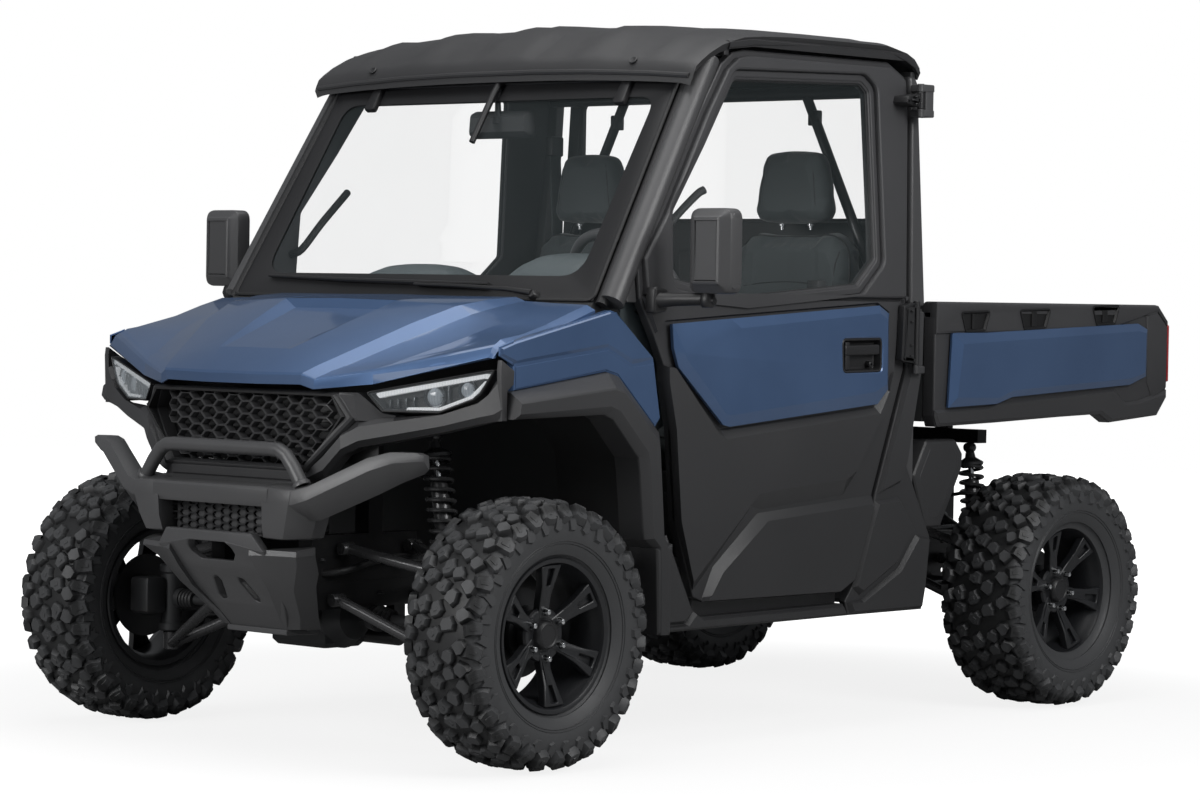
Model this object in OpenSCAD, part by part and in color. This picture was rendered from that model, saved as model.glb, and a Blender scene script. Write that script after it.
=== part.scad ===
// Side by side utility vehicle with an enclosed two-seat cab and a tipping bed.
// X is to the vehicle's left, -Y is forward, +Z is up. Module coordinates count Y from the front axle.

/* [Wheels] */
// Tyre radius
tyre_r = 340; // [300:5:380]
// Front tyre section width
tyre_w_front = 235; // [200:5:260]
// Rear tyre section width
tyre_w_rear = 265; // [220:5:290]
// Radius of the rim's outer lip
rim_r = 195; // [165:5:210]
// Outer lip of the front rims from the centre plane
rim_x_front = 830; // [780:5:900]
// Outer lip of the rear rims from the centre plane
rim_x_rear = 770; // [740:5:880]
// Width of the rim barrel, lip to lip
rim_w = 192; // [160:2:210]

/* [Lengths] */
// Front axle to the foremost point of the bumper
front_overhang = 420; // [400:5:500]
// Front axle to the rear edge of the hood
axle_to_cowl = 265; // [240:5:320]
// Hood's rear edge to the back of the cab
cab_len = 1335; // [1200:5:1700]
// Back of the cab to the rear axle
cab_to_axle = 675; // [640:5:800]
// Gap between the cab and the bed
bed_gap = 32; // [20:1:60]
// Outside length of the bed
bed_len = 1178; // [1100:5:1500]

/* [Widths and heights] */
// Half width of the cab over the door skins
cab_half = 748; // [700:2:800]
// Thickness of the doors
door_t = 46; // [36:1:60]
// Height of the waist line, above which the cab leans in
belt_z = 1172; // [1150:2:1250]
// Lean of the cab sides above the waist, in degrees
tumble = 3.5; // [0:0.5:5]
// Height of the roof's lower side edge
eaves_z = 1872; // [1820:2:2000]
// Height of the roof's crown above its side edge
crown = 66; // [40:1:90]
// Half width of the bed
bed_half = 762; // [700:2:800]
// Height of the bed's rail
rail_z = 1182; // [1100:2:1250]
// Height of the bed's underside
bed_z = 828; // [800:2:860]
// Thickness of the bed's side walls
bed_wall = 52; // [40:1:70]
// Thickness of the bed's floor
bed_floor_t = 40; // [25:1:50]

/* [Moving parts] */
// Gap round a door
door_gap = 7; // [5:0.5:12]
// Steering pivot from the centre plane
kingpin_x = 600; // [560:2:620]
// Length of the steering arms
steer_arm = 120; // [100:2:140]
// Steering wheel rim radius
wheel_ring_r = 178; // [160:1:190]

/* [Mounts] */
// Hitch receiver, inside width of the square tube
receiver_in = 51; // [50:0.5:52]
// Hitch pin hole radius
receiver_pin_r = 8; // [7.5:0.1:8.5]

/* [Hidden] */

$fn = 48;
seat = 0.3; // running gap where one piece sits on another
wheelbase = axle_to_cowl + cab_len + cab_to_axle;
cab0 = axle_to_cowl;
cab1 = cab0 + cab_len;
bed0 = cab1 + bed_gap;
bed1 = bed0 + bed_len;
length = front_overhang + bed1;
axle_y = front_overhang - length / 2;
paint = [0.13, 0.24, 0.42];
plastic = [0.16, 0.165, 0.17];
black = [0.05, 0.05, 0.055];
steel = [0.09, 0.09, 0.095];
glass = [0.55, 0.62, 0.66, 0.35];

// --- placing and shaping helpers ---

module placed() { translate([0, axle_y, 0]) children(); }

module both_sides() {
    children();
    mirror([1, 0, 0]) children();
}

module on_side(s) { mirror([s < 0 ? 1 : 0, 0, 0]) children(); }

// a side profile of [y, z] points made solid between two x planes
module side_prism(pts, x0, x1) {
    translate([x0, 0, 0]) rotate([90, 0, 90]) linear_extrude(x1 - x0) polygon(pts);
}

// a front profile of [x, z] points made solid between two y planes
module front_prism(pts, y0, y1) {
    translate([0, y1, 0]) rotate([90, 0, 0]) linear_extrude(y1 - y0) polygon(pts);
}

// a plan profile of [x, y] points made solid between two heights
module top_prism(pts, z0, z1) {
    translate([0, 0, z0]) linear_extrude(z1 - z0) polygon(pts);
}

module block(x0, x1, y0, y1, z0, z1) {
    translate([x0, y0, z0]) cube([x1 - x0, y1 - y0, z1 - z0]);
}

// a round bar between two points
module bar(a, b, r) {
    d = b - a;
    h = norm(d);
    translate(a) rotate([0, acos(d[2] / h), atan2(d[1], d[0])]) cylinder(h = h, r = r);
}

// a round bar along x
module x_bar(x0, x1, y, z, r) { translate([x0, y, z]) rotate([0, 90, 0]) cylinder(h = x1 - x0, r = r); }

// leans the upper cab inwards about the waist line
module leaned() {
    translate([cab_half, 0, belt_z]) rotate([0, -tumble, 0]) translate([-cab_half, 0, -belt_z]) children();
}

function lean_in(z) = max(0, z - belt_z) * tan(tumble);
function mirror_row(row) = concat([for (p = row) p], [for (i = [len(row) - 2:-1:0]) [-row[i][0],
    row[i][1], row[i][2]]]);

// a sheet through rows of points, thickened straight down
module sheet(rows, t) {
    n = len(rows);
    m = len(rows[0]);
    top = [for (r = rows) for (p = r) p];
    low = [for (p = top) [p[0], p[1], p[2] - t]];
    off = n * m;
    skin = [for (i = [0:n - 2]) for (j = [0:m - 2]) for (k = [0, 1]) k == 0
        ? [i * m + j, (i + 1) * m + j, (i + 1) * m + j + 1] : [i * m + j, (i + 1) * m + j + 1, i * m + j + 1]];
    under = [for (f = skin) [f[0] + off, f[2] + off, f[1] + off]];
    ends = [for (j = [0:m - 2]) for (e = [0, n - 1]) for (k = [0, 1])
        let (a = e * m + j, b = a + 1, f = k == 0 ? [a, b, b + off] : [a, b + off, a + off])
        e == 0 ? f : [f[0], f[2], f[1]]];
    sides = [for (i = [0:n - 2]) for (e = [0, m - 1]) for (k = [0, 1])
        let (a = i * m + e, b = a + m, f = k == 0 ? [a, b + off, b] : [a, a + off, b + off])
        e == 0 ? f : [f[0], f[2], f[1]]];
    polyhedron(points = concat(top, low), faces = concat(skin, under, ends, sides), convexity = 6);
}

// --- chassis ---

rail_x0 = 140;
rail_x1 = 190;
rail_z0 = 370;
rail_z1 = 440;
frame_front = -225;
frame_rear = wheelbase + 320;
plate_top = 560;
tower_z = 872;
rear_tower_z = bed_z - 28;
rack_y = steer_arm - 8;
rack_z = 288;
rack_r = 10;
fascia_z0 = 700;
bed_hinge_y = wheelbase + 190;
bed_hinge_z = bed_z - 30;
bed_pin_r = 14;
post_half = 25; // half length of the upright posts on the rails
bracket_half = 22; // half length of the brackets the shocks hang from
bracket_t = 40;
outrigger_t = 60;

module frame() {
    color(steel) difference() {
        union() {
            both_sides() {
                block(rail_x0, rail_x1, frame_front, frame_rear, rail_z0, rail_z1);
                block(rail_x0, rail_x1, bed_hinge_y - post_half, bed_hinge_y + post_half, rail_z1 - 1,
                    bed_hinge_z - bed_pin_r - seat);
                for (y = [700, cab1 - 120])
                    block(rail_x1 - 1, cab_half - door_t - 60, y, y + outrigger_t, rail_z0, rail_z1 - 45);
            }
            for (y = [frame_front, 240, 760, cab1 - 120, wheelbase - 330, frame_rear - 50])
                block(-rail_x0 - 1, rail_x0 + 1, y, y + 50, rail_z0, rail_z1 - 42);
            x_bar(-rail_x1 + 20, rail_x1 - 20, rack_y, rack_z, rack_r + 18);
            both_sides() block(rail_x0, rail_x1 - 20, rack_y - 20, rack_y + 20, rack_z, rail_z0 + 1);
        }
        x_bar(-rail_x1, rail_x1, rack_y, rack_z, rack_r + 1);
    }
}

// the upper arms hang on the low plates, the shocks on the brackets at the top
module shock_towers() {
    plate_z0 = rail_z1 + seat;
    color(steel) both_sides() {
        block(rail_x0, rail_x1, frame_front, 150, plate_z0, plate_top);
        block(rail_x0, rail_x1, frame_front, frame_front + 40, plate_top - 1, fascia_z0 - seat);
        block(rail_x0, rail_x1, -post_half, post_half, plate_top - 1, tower_z);
        block(rail_x1 - 1, 430, -bracket_half, bracket_half, tower_z - bracket_t, tower_z);
        block(rail_x0, rail_x1, wheelbase - 150, wheelbase + 150, plate_z0, plate_top);
        block(rail_x0, rail_x1, wheelbase - post_half, wheelbase + post_half, plate_top - 1, rear_tower_z);
        block(rail_x1 - 1, 450, wheelbase - bracket_half, wheelbase + bracket_half, rear_tower_z - bracket_t,
            rear_tower_z);
    }
}

floor_half = cab_half - door_t - 12;
floor_front = 470;
deck_z = rail_z1 + 24;
seat_box_y = cab1 - 560;
seat_box_z = 700;

module cab_floor() {
    color(black) {
        block(-floor_half, floor_half, floor_front, cab1, rail_z1 + seat, deck_z);
        side_prism([[floor_front, rail_z1 + 20], [floor_front + 16, rail_z1 + 20],
            [cab0 + 150, 800], [cab0 + 76, 1100], [cab0 + 60, 1100], [cab0 + 134, 796]],
            -floor_half, floor_half);
        block(-floor_half, floor_half, seat_box_y, seat_box_y + 16, rail_z1 + 20, seat_box_z);
        block(-floor_half, floor_half, seat_box_y + 10, cab1 - 60, seat_box_z - 16, seat_box_z);
    }
}

// --- cab ---

glass_lean = 31.8;
glass_z0 = belt_z - 6;
glass_z1 = 1762;
function glass_y(z) = cab0 + 18 + (z - glass_z0) * tan(glass_lean);
glass_t = 7;
pillar_in = cab_half - 68;
door_back = cab1 - 77;

pin_r = 10;
hinge_x = cab_half + 12;
hinge_y = cab1 - 66;
hinge_z = [[1003, 1182], [1716, 1762]];
ear_h = 24;

a_top_z = 1822;
b_top_z = 1790;
pillar_foot = belt_z - 6;

function a_pillar() = [[glass_y(pillar_foot) + 4, pillar_foot], [glass_y(1758) + 4, 1758],
    [cab0 + 470, 1812],
    [cab0 + 530, 1836], [cab0 + 482, 1807], [cab0 + 391, 1682], [cab0 + 216, 1411], [cab0 + 125, 1290],
    [cab0 + 131, pillar_foot]];

function b_pillar() = [[door_back + door_gap, pillar_foot], [door_back + 32 + door_gap, 1700],
    [door_back + 28 + door_gap, 1814], [cab1 - 12, 1814], [cab1, 1790], [cab1, pillar_foot]];

module cage_pillars() {
    color(black) both_sides() {
        difference() {
            leaned() side_prism(a_pillar(), pillar_in, cab_half - 6);
            block(0, cab_half, cab0 + 440, cab0 + 640, a_top_z, eaves_z);
        }
        difference() {
            leaned() side_prism(b_pillar(), pillar_in, cab_half - 6);
            block(0, cab_half, cab1 - 60, cab1 + 10, b_top_z, eaves_z);
        }
        block(pillar_in, cab_half - 40, door_back + 20, cab1, deck_z + seat, pillar_foot + 1);
        for (e = [[hinge_z[1][0] - ear_h, hinge_z[1][0] - seat],
            [hinge_z[1][1] + seat, hinge_z[1][1] + ear_h]]) {
            translate([hinge_x, hinge_y, e[0]]) cylinder(h = e[1] - e[0], r = pin_r);
            block(cab_half - 26, hinge_x + pin_r - 1, hinge_y, cab1 - 12, e[0], e[1]);
            block(cab_half - 62, cab_half - 20, cab1 - 36, cab1 - 20, e[0], e[1]);
        }
    }
}

header_z = 1770;

bar_half = pillar_in - lean_in(header_z + 20) - seat;

module cage_bars() {
    color(black) {
        for (y = [glass_y(header_z) + 46, cab1 - 54]) x_bar(-bar_half, bar_half, y, header_z, 20);
        both_sides() bar([pillar_in - 45, cab1 - 62, 1180], [350, cab1 - 60, header_z - 14], 15);
    }
}

roof_half = cab_half - lean_in(eaves_z) + 8;

// rise of the roof's top face over its side edge along its length
roof_stations = [[cab0 + 352, -112], [cab0 + 362, -92], [cab0 + 405, -58], [cab0 + 470, -22],
    [cab0 + 560, 6],
    [cab0 + 700, 16], [cab0 + 900, 20], [cab1 - 150, 20], [cab1 - 70, 4], [cab1 - 24, -22],
    [cab1 - 8, -46]];
roof_across = [0, 0.25, 0.5, 0.75, 0.92, 1];

function roof_rise(u, dz) = dz + (crown - 22) * (1 - pow(u, 2.4)) * (dz < -50 ? 0.55 : 1);

module roof() {
    color(plastic) {
        sheet([for (s = roof_stations) mirror_row([for (i = [len(roof_across) - 1:-1:0])
            [-roof_half * roof_across[i], s[0], eaves_z + roof_rise(roof_across[i], s[1])]])], 26);
        both_sides() {
            block(roof_half - 56, roof_half - 10, cab0 + 490, cab0 + 510, a_top_z + seat, a_top_z + 30);
            block(roof_half - 52, roof_half - 12, cab1 - 34, cab1 - 14, b_top_z + seat, b_top_z + 30);
        }
    }
}

module windshield() {
    half0 = pillar_in - 2 * seat;
    half1 = pillar_in - lean_in(glass_z1) - 2 * seat;
    run = (glass_z1 - glass_z0) / cos(glass_lean);
    color(glass) translate([0, glass_y(glass_z0), glass_z0]) rotate([90 - glass_lean, 0, 0])
        linear_extrude(glass_t) polygon([[-half0, 0], [half0, 0], [half1, run], [-half1, run]]);
}

wall_half = pillar_in - 46;
window_z0 = 1405;
window_z1 = 1765;
window_half = 560;

module rear_wall() {
    color(black) difference() {
        front_prism([[-wall_half, deck_z + seat], [wall_half, deck_z + seat], [wall_half, belt_z],
            [wall_half - 36, 1794], [-wall_half + 36, 1794], [-wall_half, belt_z]], cab1 - 30, cab1 - 4);
        block(-window_half, window_half, cab1 - 40, cab1 + 10, window_z0, window_z1);
    }
    color(black) both_sides() front_prism([[wall_half + seat, deck_z + seat],
        [pillar_in - seat, deck_z + seat],
        [pillar_in - seat, belt_z - 20], [wall_half + seat, belt_z - 20]], cab1 - 30, cab1 - 4);
}

module rear_window() {
    color(glass) block(-window_half + seat, window_half - seat, cab1 - 22, cab1 - 14, window_z0 + seat, window_z1 - seat);
}

cowl_z = glass_z0 - seat;

module cowl() {
    color(black) side_prism([[cab0 + 10, belt_z - 60], [cab0 + 10, belt_z - 14], [cab0 + 16, cowl_z],
        [cab0 + 118, cowl_z], [cab0 + 118, belt_z - 60]], -(pillar_in - seat), pillar_in - seat);
    color(black) both_sides() x_bar(340 + seat, 372, hood_pin_y, hood_pin_z, hood_pin_r);
    color(black) both_sides() block(340 + seat, 372, hood_pin_y, cab0 + 12, hood_pin_z - 20, hood_pin_z);
}

dash_y0 = cab0 + 126;
column_a = [380, cab0 + 330, 1095];
column_b = [380, cab0 + 455, 1180];

module dashboard() {
    color(plastic) {
        side_prism([[dash_y0, 900], [dash_y0, belt_z + 10], [dash_y0 + 70, belt_z + 50],
            [cab0 + 330, belt_z + 52],
            [cab0 + 385, 1090], [cab0 + 345, 860], [cab0 + 250, 820]], -(pillar_in - 6), pillar_in - 6);
        bar(column_a, column_b, 28);
    }
}

seat_x = 390;
seat_w = 500;
seat_y0 = seat_box_y - 35;
seat_y1 = cab1 - 200;

module seat_cushions() {
    color([0.10, 0.11, 0.12]) for (s = [-1, 1]) side_prism([[seat_y0, seat_box_z + 30],
        [seat_y0, seat_box_z + 120],
        [seat_y0 + 40, seat_box_z + 150], [seat_y1, seat_box_z + 128], [seat_y1 + 20, seat_box_z + seat],
        [seat_y0 + 40, seat_box_z + seat]], s * seat_x - seat_w / 2, s * seat_x + seat_w / 2);
}

module seat_backs() {
    color([0.10, 0.11, 0.12]) for (s = [-1, 1]) side_prism([[seat_y1 + 24, seat_box_z + seat],
        [seat_y1 + 96, seat_box_z + seat], [cab1 - 84, 1350], [cab1 - 104, 1392], [cab1 - 164, 1392],
        [cab1 - 196, 1350], [seat_y1 + 6, seat_box_z + 134]],
        s * seat_x - seat_w / 2 + 10, s * seat_x + seat_w / 2 - 10);
}

module headrests() {
    color([0.10, 0.11, 0.12]) for (s = [-1, 1]) translate([s * seat_x, 0, 0])
        front_prism([[-140, 1392 + seat], [140, 1392 + seat], [148, 1440], [112, 1590], [90, 1606],
            [-90, 1606],
            [-112, 1590], [-148, 1440]], cab1 - 194, cab1 - 98);
}

// --- front body ---

bumper_y = -front_overhang;
grille_low = 742;
grille_y = -286;
fascia_z1 = 932;
wing_z0 = 786;
lamp_z0 = 880;
lamp_plan = [[400, -256], [728, -118], [728, -104], [600, -104], [400, -172]];
lamp_face = [[400, lamp_z0 + seat], [590, lamp_z0 + seat], [676, 916], [728, 950], [728, 1000], [420, 940], [400, 930]];

function grille_outline(m) = [[-250 + m, grille_low + m], [250 - m, grille_low + m], [362 - m, 871],
    [330 - m, 921 - m], [-330 + m, 921 - m], [-362 + m, 871]];

module front_fascia() {
    color(plastic) {
        difference() {
            union() {
                top_prism([[-310, -320], [-300, -330], [300, -330], [310, -320], [310, -160], [-310, -160]],
                    fascia_z0, fascia_z1);
                top_prism([[-470, -210], [-330, -300], [-300, -330], [300, -330], [330, -300], [470, -210],
                    [470, -160], [-470, -160]], wing_z0, lamp_z0);
                top_prism([[-392, -260], [-330, -300], [-300, -329], [300, -329], [330, -300], [392, -260],
                    [392, -200], [-392, -200]], lamp_z0 - 1, fascia_z1);
            }
            front_prism(grille_outline(0), -420, -140);
        }
        both_sides() top_prism([[469, -211], [748, -122], [752, flare_y0 - seat], [690, flare_y0 - seat],
            [469, -159]], wing_z0 + 4, 874);
        both_sides() side_prism([[-122, 873], [flare_y0 - seat, 873], [flare_y0 - seat, 940], [-76, 960],
            [-76, 996], [-122, 1022]], 732, 748);
    }
}

module grille() {
    color(black) front_prism(grille_outline(seat), grille_y, grille_y + 20);
}

module headlights() {
    color([0.8, 0.82, 0.84]) both_sides() intersection() {
        top_prism(lamp_plan, lamp_z0, 1005);
        front_prism(lamp_face, -280, -100);
    }
}

module front_bumper() {
    color(plastic) {
        front_prism([[-340, 640], [340, 640], [332, 700], [-332, 700]], bumper_y + 15, bumper_y + 70);
        both_sides() hull() {
            block(300, 340, bumper_y + 15, bumper_y + 80, 640, 700);
            block(590, 622, -290, -236, 745, 788);
        }
        both_sides() block(200, 330, bumper_y + 30, -280, 560, 641);
        both_sides() bar([264, -362, 699], [222, -362, 784], 16);
        x_bar(-228, 228, -362, 784, 16);
        both_sides() translate([222, -362, 784]) sphere(r = 16);
        both_sides() block(rail_x0 + 5, rail_x1 - 5, bumper_y + 60, frame_front - seat, 645, 695);
    }
}

module skid_plate() {
    color(plastic) difference() {
        side_prism([[bumper_y + 25, 573], [bumper_y + 6, 570], [bumper_y, 545], [bumper_y + 5, 520], [-235, 312],
            [-150, 300], [-150, 330], [-226, 345], [-330, 500], [-330, 573]], -150, 150);
        front_prism([[-62, 492], [62, 492], [84, 512], [84, 530], [70, 548], [-70, 548], [-84, 530], [-84, 512]],
            -430, -300);
    }
    color(plastic) block(-60, 60, frame_front + 3, frame_front + 35, 328, rail_z0 - seat);
    color(plastic) both_sides() side_prism([[bumper_y + 30, 555], [bumper_y + 30, 530], [-250, 330],
        [-226, 345],
        [-330, 500], [-330, 555]], 150 + seat, 275);
}

flare_y0 = -100;
flare_top = [[flare_y0, 938], [274, 988], [314, 978], [463, 842]];
fender_top = [[-66, 1007], [20, 1028], [cab0 - 2, 1118], [cab0 + 46, 1130]];

module front_fenders() {
    color(paint) both_sides() side_prism(concat(fender_top, [[cab0 + 193, 1024], [cab0 + 223, 866],
        [464, 843], [314.5, 978.7], [274, 988.5], [-66, 943.2]]), cab_half - 40, cab_half - 8);
    color(paint) both_sides() side_prism([[-66, 1000], [-118, 1030], [-118, 1056], [-80, 1067], [cab0 + 30, 1147],
        [cab0 + 44, 1132], [cab0 - 2, 1110], [20, 1022]], cab_half - 18, cab_half - 8);
}

flare_x0 = floor_half + seat;
flare_x1 = cab_half + 42;

module fender_flares() {
    color(plastic) both_sides() side_prism([[flare_y0, 874], [228, 882], [262, 869], [362, 770],
        [388, 562], [424, 538],
        [432, 314], [484, 311], [484, 560], [cab0 + 264, 575], [cab0 + 232, 840], flare_top[3],
        flare_top[2], flare_top[1], flare_top[0]], flare_x0, flare_x1);
}

module fender_liners() {
    color(black) both_sides() {
        side_prism([[-60, 888], [230, 893], [272, 878], [374, 772], [400, 566], [436, 540], [438, 460],
            [444, 460],
            [444, 546], [410, 574], [384, 778], [278, 890], [232, 905], [-60, 900]], 470, flare_x0 - seat);
    }
}

sill_top = 345;

module rocker_panels() {
    color(plastic) both_sides() side_prism([[484 + seat, 311], [484 + seat, 552], [cab0 + 258, 566],
        [cab0 + 364, 366], [cab0 + 398, sill_top], [cab1 - 340, sill_top + 6], [cab1 - 316, 316]],
        floor_half + seat, cab_half - 4);
}

module side_covers() {
    color(plastic) both_sides() {
        side_prism([[cab1 - 316 + seat, 316], [cab1 - 332, sill_top + 10], [cab1 - 296, 400],
            [cab1 - 214, 600],
            [cab1 - 204, 645], [cab1 - 72, 985], [cab1 - 68, belt_z - 12], [cab1 - 4, belt_z - 12],
            [cab1 - 6, 1003],
            [cab1 - 60, 720], [cab1 + 50, 520], [cab1 + 30, 376], [cab1 + 18, 316]],
            cab_half - 38, cab_half - 2);
        translate([hinge_x, hinge_y, hinge_z[0][0] - ear_h]) cylinder(h = ear_h - seat, r = pin_r);
        block(cab_half - 3, hinge_x + pin_r - 1, hinge_y, hinge_y + 34, hinge_z[0][0] - ear_h, hinge_z[0][0] - seat);
        side_prism([[cab1 + 0.5, 690], [cab1 + 60, bed_z - 36], [cab1 + 235, bed_z - 36],
            [cab1 + 260, 705], [cab1 + 135, 540],
            [cab1 + 60, 540]], cab_half - 100, cab_half - 38 - seat);
    }
}

// --- drive and suspension ---

module engine() {
    color(steel) block(-240, 240, cab1 + 30, wheelbase - 170, rail_z1 + seat, bed_z - 22);
}

diff_half = rail_x0 - seat;

module differentials() {
    color(steel) {
        block(-diff_half, diff_half, -105, 70, 250, 430);
        block(-diff_half, diff_half, wheelbase - 130, wheelbase + 130, 250, 430);
    }
}

boot_r = 36;

module axle_shaft(y, x_end) {
    x_bar(diff_half + seat, x_end, y, tyre_r, 14);
    x_bar(196, 262, y, tyre_r, boot_r);
    x_bar(x_end - 66, x_end, y, tyre_r, 28);
}

module half_shafts() {
    color(black) both_sides() {
        axle_shaft(0, kingpin_x - knuckle_r - seat);
        axle_shaft(wheelbase, carrier_x0 - seat);
    }
}

knuckle_r = 34;
knuckle_z0 = 250;
knuckle_z1 = 432;
ball_r = 22;
arm_r = 15;
hub_face_front = rim_x_front - 95;
hub_face_rear = rim_x_rear - 95;
carrier_x0 = 525;
carrier_x1 = 590;

bush_r = 17;
bush_x = rail_x1 + bush_r + seat;

module wishbone(y, x_out, z_out, z_in, spread, drop) {
    for (s = [-1, 1]) {
        bar([bush_x + 5, y + s * (spread - 2), z_in], [x_out - 9, y + s * 5, z_out - drop], arm_r);
        translate([bush_x, y + s * spread - 22, z_in]) rotate([-90, 0, 0]) cylinder(h = 44, r = bush_r);
    }
    translate([x_out, y, z_out - 18 - drop]) cylinder(h = 36 + drop, r = ball_r);
}

upper_in = 525;
lower_in = 395;
front_top = knuckle_z1 + 18 + seat;
rear_out = carrier_x0 - ball_r - seat;
front_seat_x = 450;
rear_seat_x = 430;
rear_low = 250;
rear_high = 430;
function on_arm(x, x_out, z_out) = z_out + (upper_in - z_out) * (x_out - x) / (x_out - bush_x);
front_seat_z = on_arm(front_seat_x, kingpin_x, front_top);
rear_seat_z = on_arm(rear_seat_x, rear_out, rear_high);

module front_arms() {
    color(black) both_sides() {
        wishbone(0, kingpin_x, knuckle_z0 - 18 - seat, lower_in, 150, 16);
        wishbone(0, kingpin_x, front_top, upper_in, 120, 0);
        bar([front_seat_x, -52, front_seat_z], [front_seat_x, 52, front_seat_z], 12);
    }
}

module rear_arms() {
    color(black) both_sides() {
        wishbone(wheelbase, rear_out, rear_low, lower_in, 150, 0);
        wishbone(wheelbase, rear_out, rear_high, upper_in, 120, 0);
        bar([rear_seat_x, wheelbase - 40, rear_seat_z], [rear_seat_x, wheelbase + 40, rear_seat_z], 12);
    }
}

eye_r = 14;

module shock(a, b, r) {
    d = (b - a) / norm(b - a);
    bar(a, b, 11);
    bar(a + d * 40, b - d * 36, r);
    for (p = [a, b]) translate([p[0], p[1] - 16, p[2]]) rotate([-90, 0, 0]) cylinder(h = 32, r = eye_r);
}

module shocks() {
    color(black) both_sides() {
        shock([front_seat_x, 0, front_seat_z + 12 + eye_r + seat],
            [398, 0, tower_z - bracket_t - eye_r - seat], 42);
        shock([rear_seat_x, wheelbase, rear_seat_z + 12 + eye_r + seat],
            [rear_seat_x - 25, wheelbase, rear_tower_z - bracket_t - eye_r - seat], 40);
    }
}

module hub_carriers() {
    color(steel) both_sides() {
        block(carrier_x0, carrier_x1, wheelbase - 45, wheelbase + 45, 232, 448);
        x_bar(carrier_x1 - 1, hub_face_rear - seat, wheelbase, tyre_r, 32);
        x_bar(hub_face_rear - 14, hub_face_rear - seat, wheelbase, tyre_r, 70);
    }
}

module hitch_receiver() {
    wall = 6;
    out = receiver_in + 2 * wall;
    color(steel) difference() {
        translate([-out / 2, frame_rear - 120, rail_z0 - out - seat]) cube([out, 230, out]);
        translate([-receiver_in / 2, frame_rear - 121, rail_z0 - out - seat + wall])
            cube([receiver_in, 240, receiver_in]);
        x_bar(-out, out, frame_rear + 55, rail_z0 - out / 2 - seat, receiver_pin_r);
    }
}

module knuckle() {
    translate([kingpin_x, 0, knuckle_z0]) cylinder(h = knuckle_z1 - knuckle_z0, r = knuckle_r);
    x_bar(kingpin_x, hub_face_front - seat, 0, tyre_r, 30);
    x_bar(hub_face_front - 14, hub_face_front - seat, 0, tyre_r, 70);
    block(kingpin_x - 14, kingpin_x + 14, 20, steer_arm + 16, rack_z + 13, rack_z + 38);
}

module knuckle_left() { color(steel) knuckle(); }
module knuckle_right() { color(steel) mirror([1, 0, 0]) knuckle(); }

module steering_rack() {
    color(steel) {
        x_bar(-kingpin_x, kingpin_x, rack_y, rack_z, rack_r);
        both_sides() translate([kingpin_x, rack_y, rack_z - 12.5]) cylinder(h = 25, r = 13);
        both_sides() x_bar(250, 330, rack_y, rack_z, 20);
    }
}

column_tilt = 90 - atan2(column_b[2] - column_a[2], column_b[1] - column_a[1]);

module steering_wheel() {
    color(black) translate(column_b) rotate([-column_tilt, 0, 0]) translate([0, 0, seat]) {
        cylinder(h = 45, r = 40);
        translate([0, 0, 40]) rotate_extrude() translate([wheel_ring_r, 0]) circle(r = 15);
        for (a = [-90, 30, 150]) rotate([0, 0, a]) translate([0, -15, 30]) cube([wheel_ring_r - 4, 30, 12]);
    }
}

// --- wheels: axis along x, outer lip towards +x ---

module tyre(w) {
    bead = rim_r - 14;
    in_lip = rim_w / 2 - 12 - seat;
    rotate([0, 90, 0]) rotate_extrude($fn = 96) polygon([[bead, -in_lip], [rim_r + 1, -in_lip],
        [rim_r + 12, -w * 0.44],
        [tyre_r * 0.76, -w * 0.5], [tyre_r * 0.88, -w * 0.49], [tyre_r * 0.955, -w * 0.44],
        [tyre_r * 0.99, -w * 0.3],
        [tyre_r, -w * 0.15], [tyre_r, w * 0.15], [tyre_r * 0.99, w * 0.3], [tyre_r * 0.955, w * 0.44],
        [tyre_r * 0.88, w * 0.49], [tyre_r * 0.76, w * 0.5], [rim_r + 12, w * 0.44], [rim_r + 1, in_lip],
        [bead, in_lip]]);
}

module rim(w) {
    half = w / 2;
    bead = rim_r - 14 - seat;
    face0 = half - 95;
    difference() {
        union() {
            rotate([0, 90, 0]) rotate_extrude($fn = 96) polygon([[bead - 16, -half], [rim_r - 3, -half],
                [bead + 6, -half + 9],
                [bead, -half + 12], [bead, half - 12], [bead + 6, half - 9], [rim_r, half],
                [bead - 14, half]]);
            rotate([0, 90, 0]) translate([0, 0, face0]) cylinder(h = 40, r = 72);
            for (a = [0:60:300]) rotate([a, 0, 0]) side_bar(face0 + 20, half - 18);
        }
        rotate([0, 90, 0]) translate([0, 0, face0 - 60]) cylinder(h = 59.9, r = 73);
    }
}

// one spoke from the hub out to the barrel
module side_bar(x0, x1) {
    rotate([90, 0, 0]) translate([0, 0, -24]) linear_extrude(48)
        polygon([[x0 - 18, 40], [x0 + 22, 40], [x1, rim_r - 24], [x1 - 26, rim_r - 24]]);
}

centre_front = rim_x_front - rim_w / 2;
centre_rear = rim_x_rear - rim_w / 2;

module wheel_at(s, rear) {
    translate([s * (rear ? centre_rear : centre_front), rear ? wheelbase : 0, tyre_r])
        on_side(s) children();
}

module tyre_front_left() { color(black) wheel_at(1, false) tyre(tyre_w_front); }
module tyre_front_right() { color(black) wheel_at(-1, false) tyre(tyre_w_front); }
module tyre_rear_left() { color(black) wheel_at(1, true) tyre(tyre_w_rear); }
module tyre_rear_right() { color(black) wheel_at(-1, true) tyre(tyre_w_rear); }
module rim_front_left() { color(steel) wheel_at(1, false) rim(rim_w); }
module rim_front_right() { color(steel) wheel_at(-1, false) rim(rim_w); }
module rim_rear_left() { color(steel) wheel_at(1, true) rim(rim_w); }
module rim_rear_right() { color(steel) wheel_at(-1, true) rim(rim_w); }

// --- doors, drawn for the left side ---

door_outer = cab_half;
door_inner = cab_half - door_t;

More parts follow.
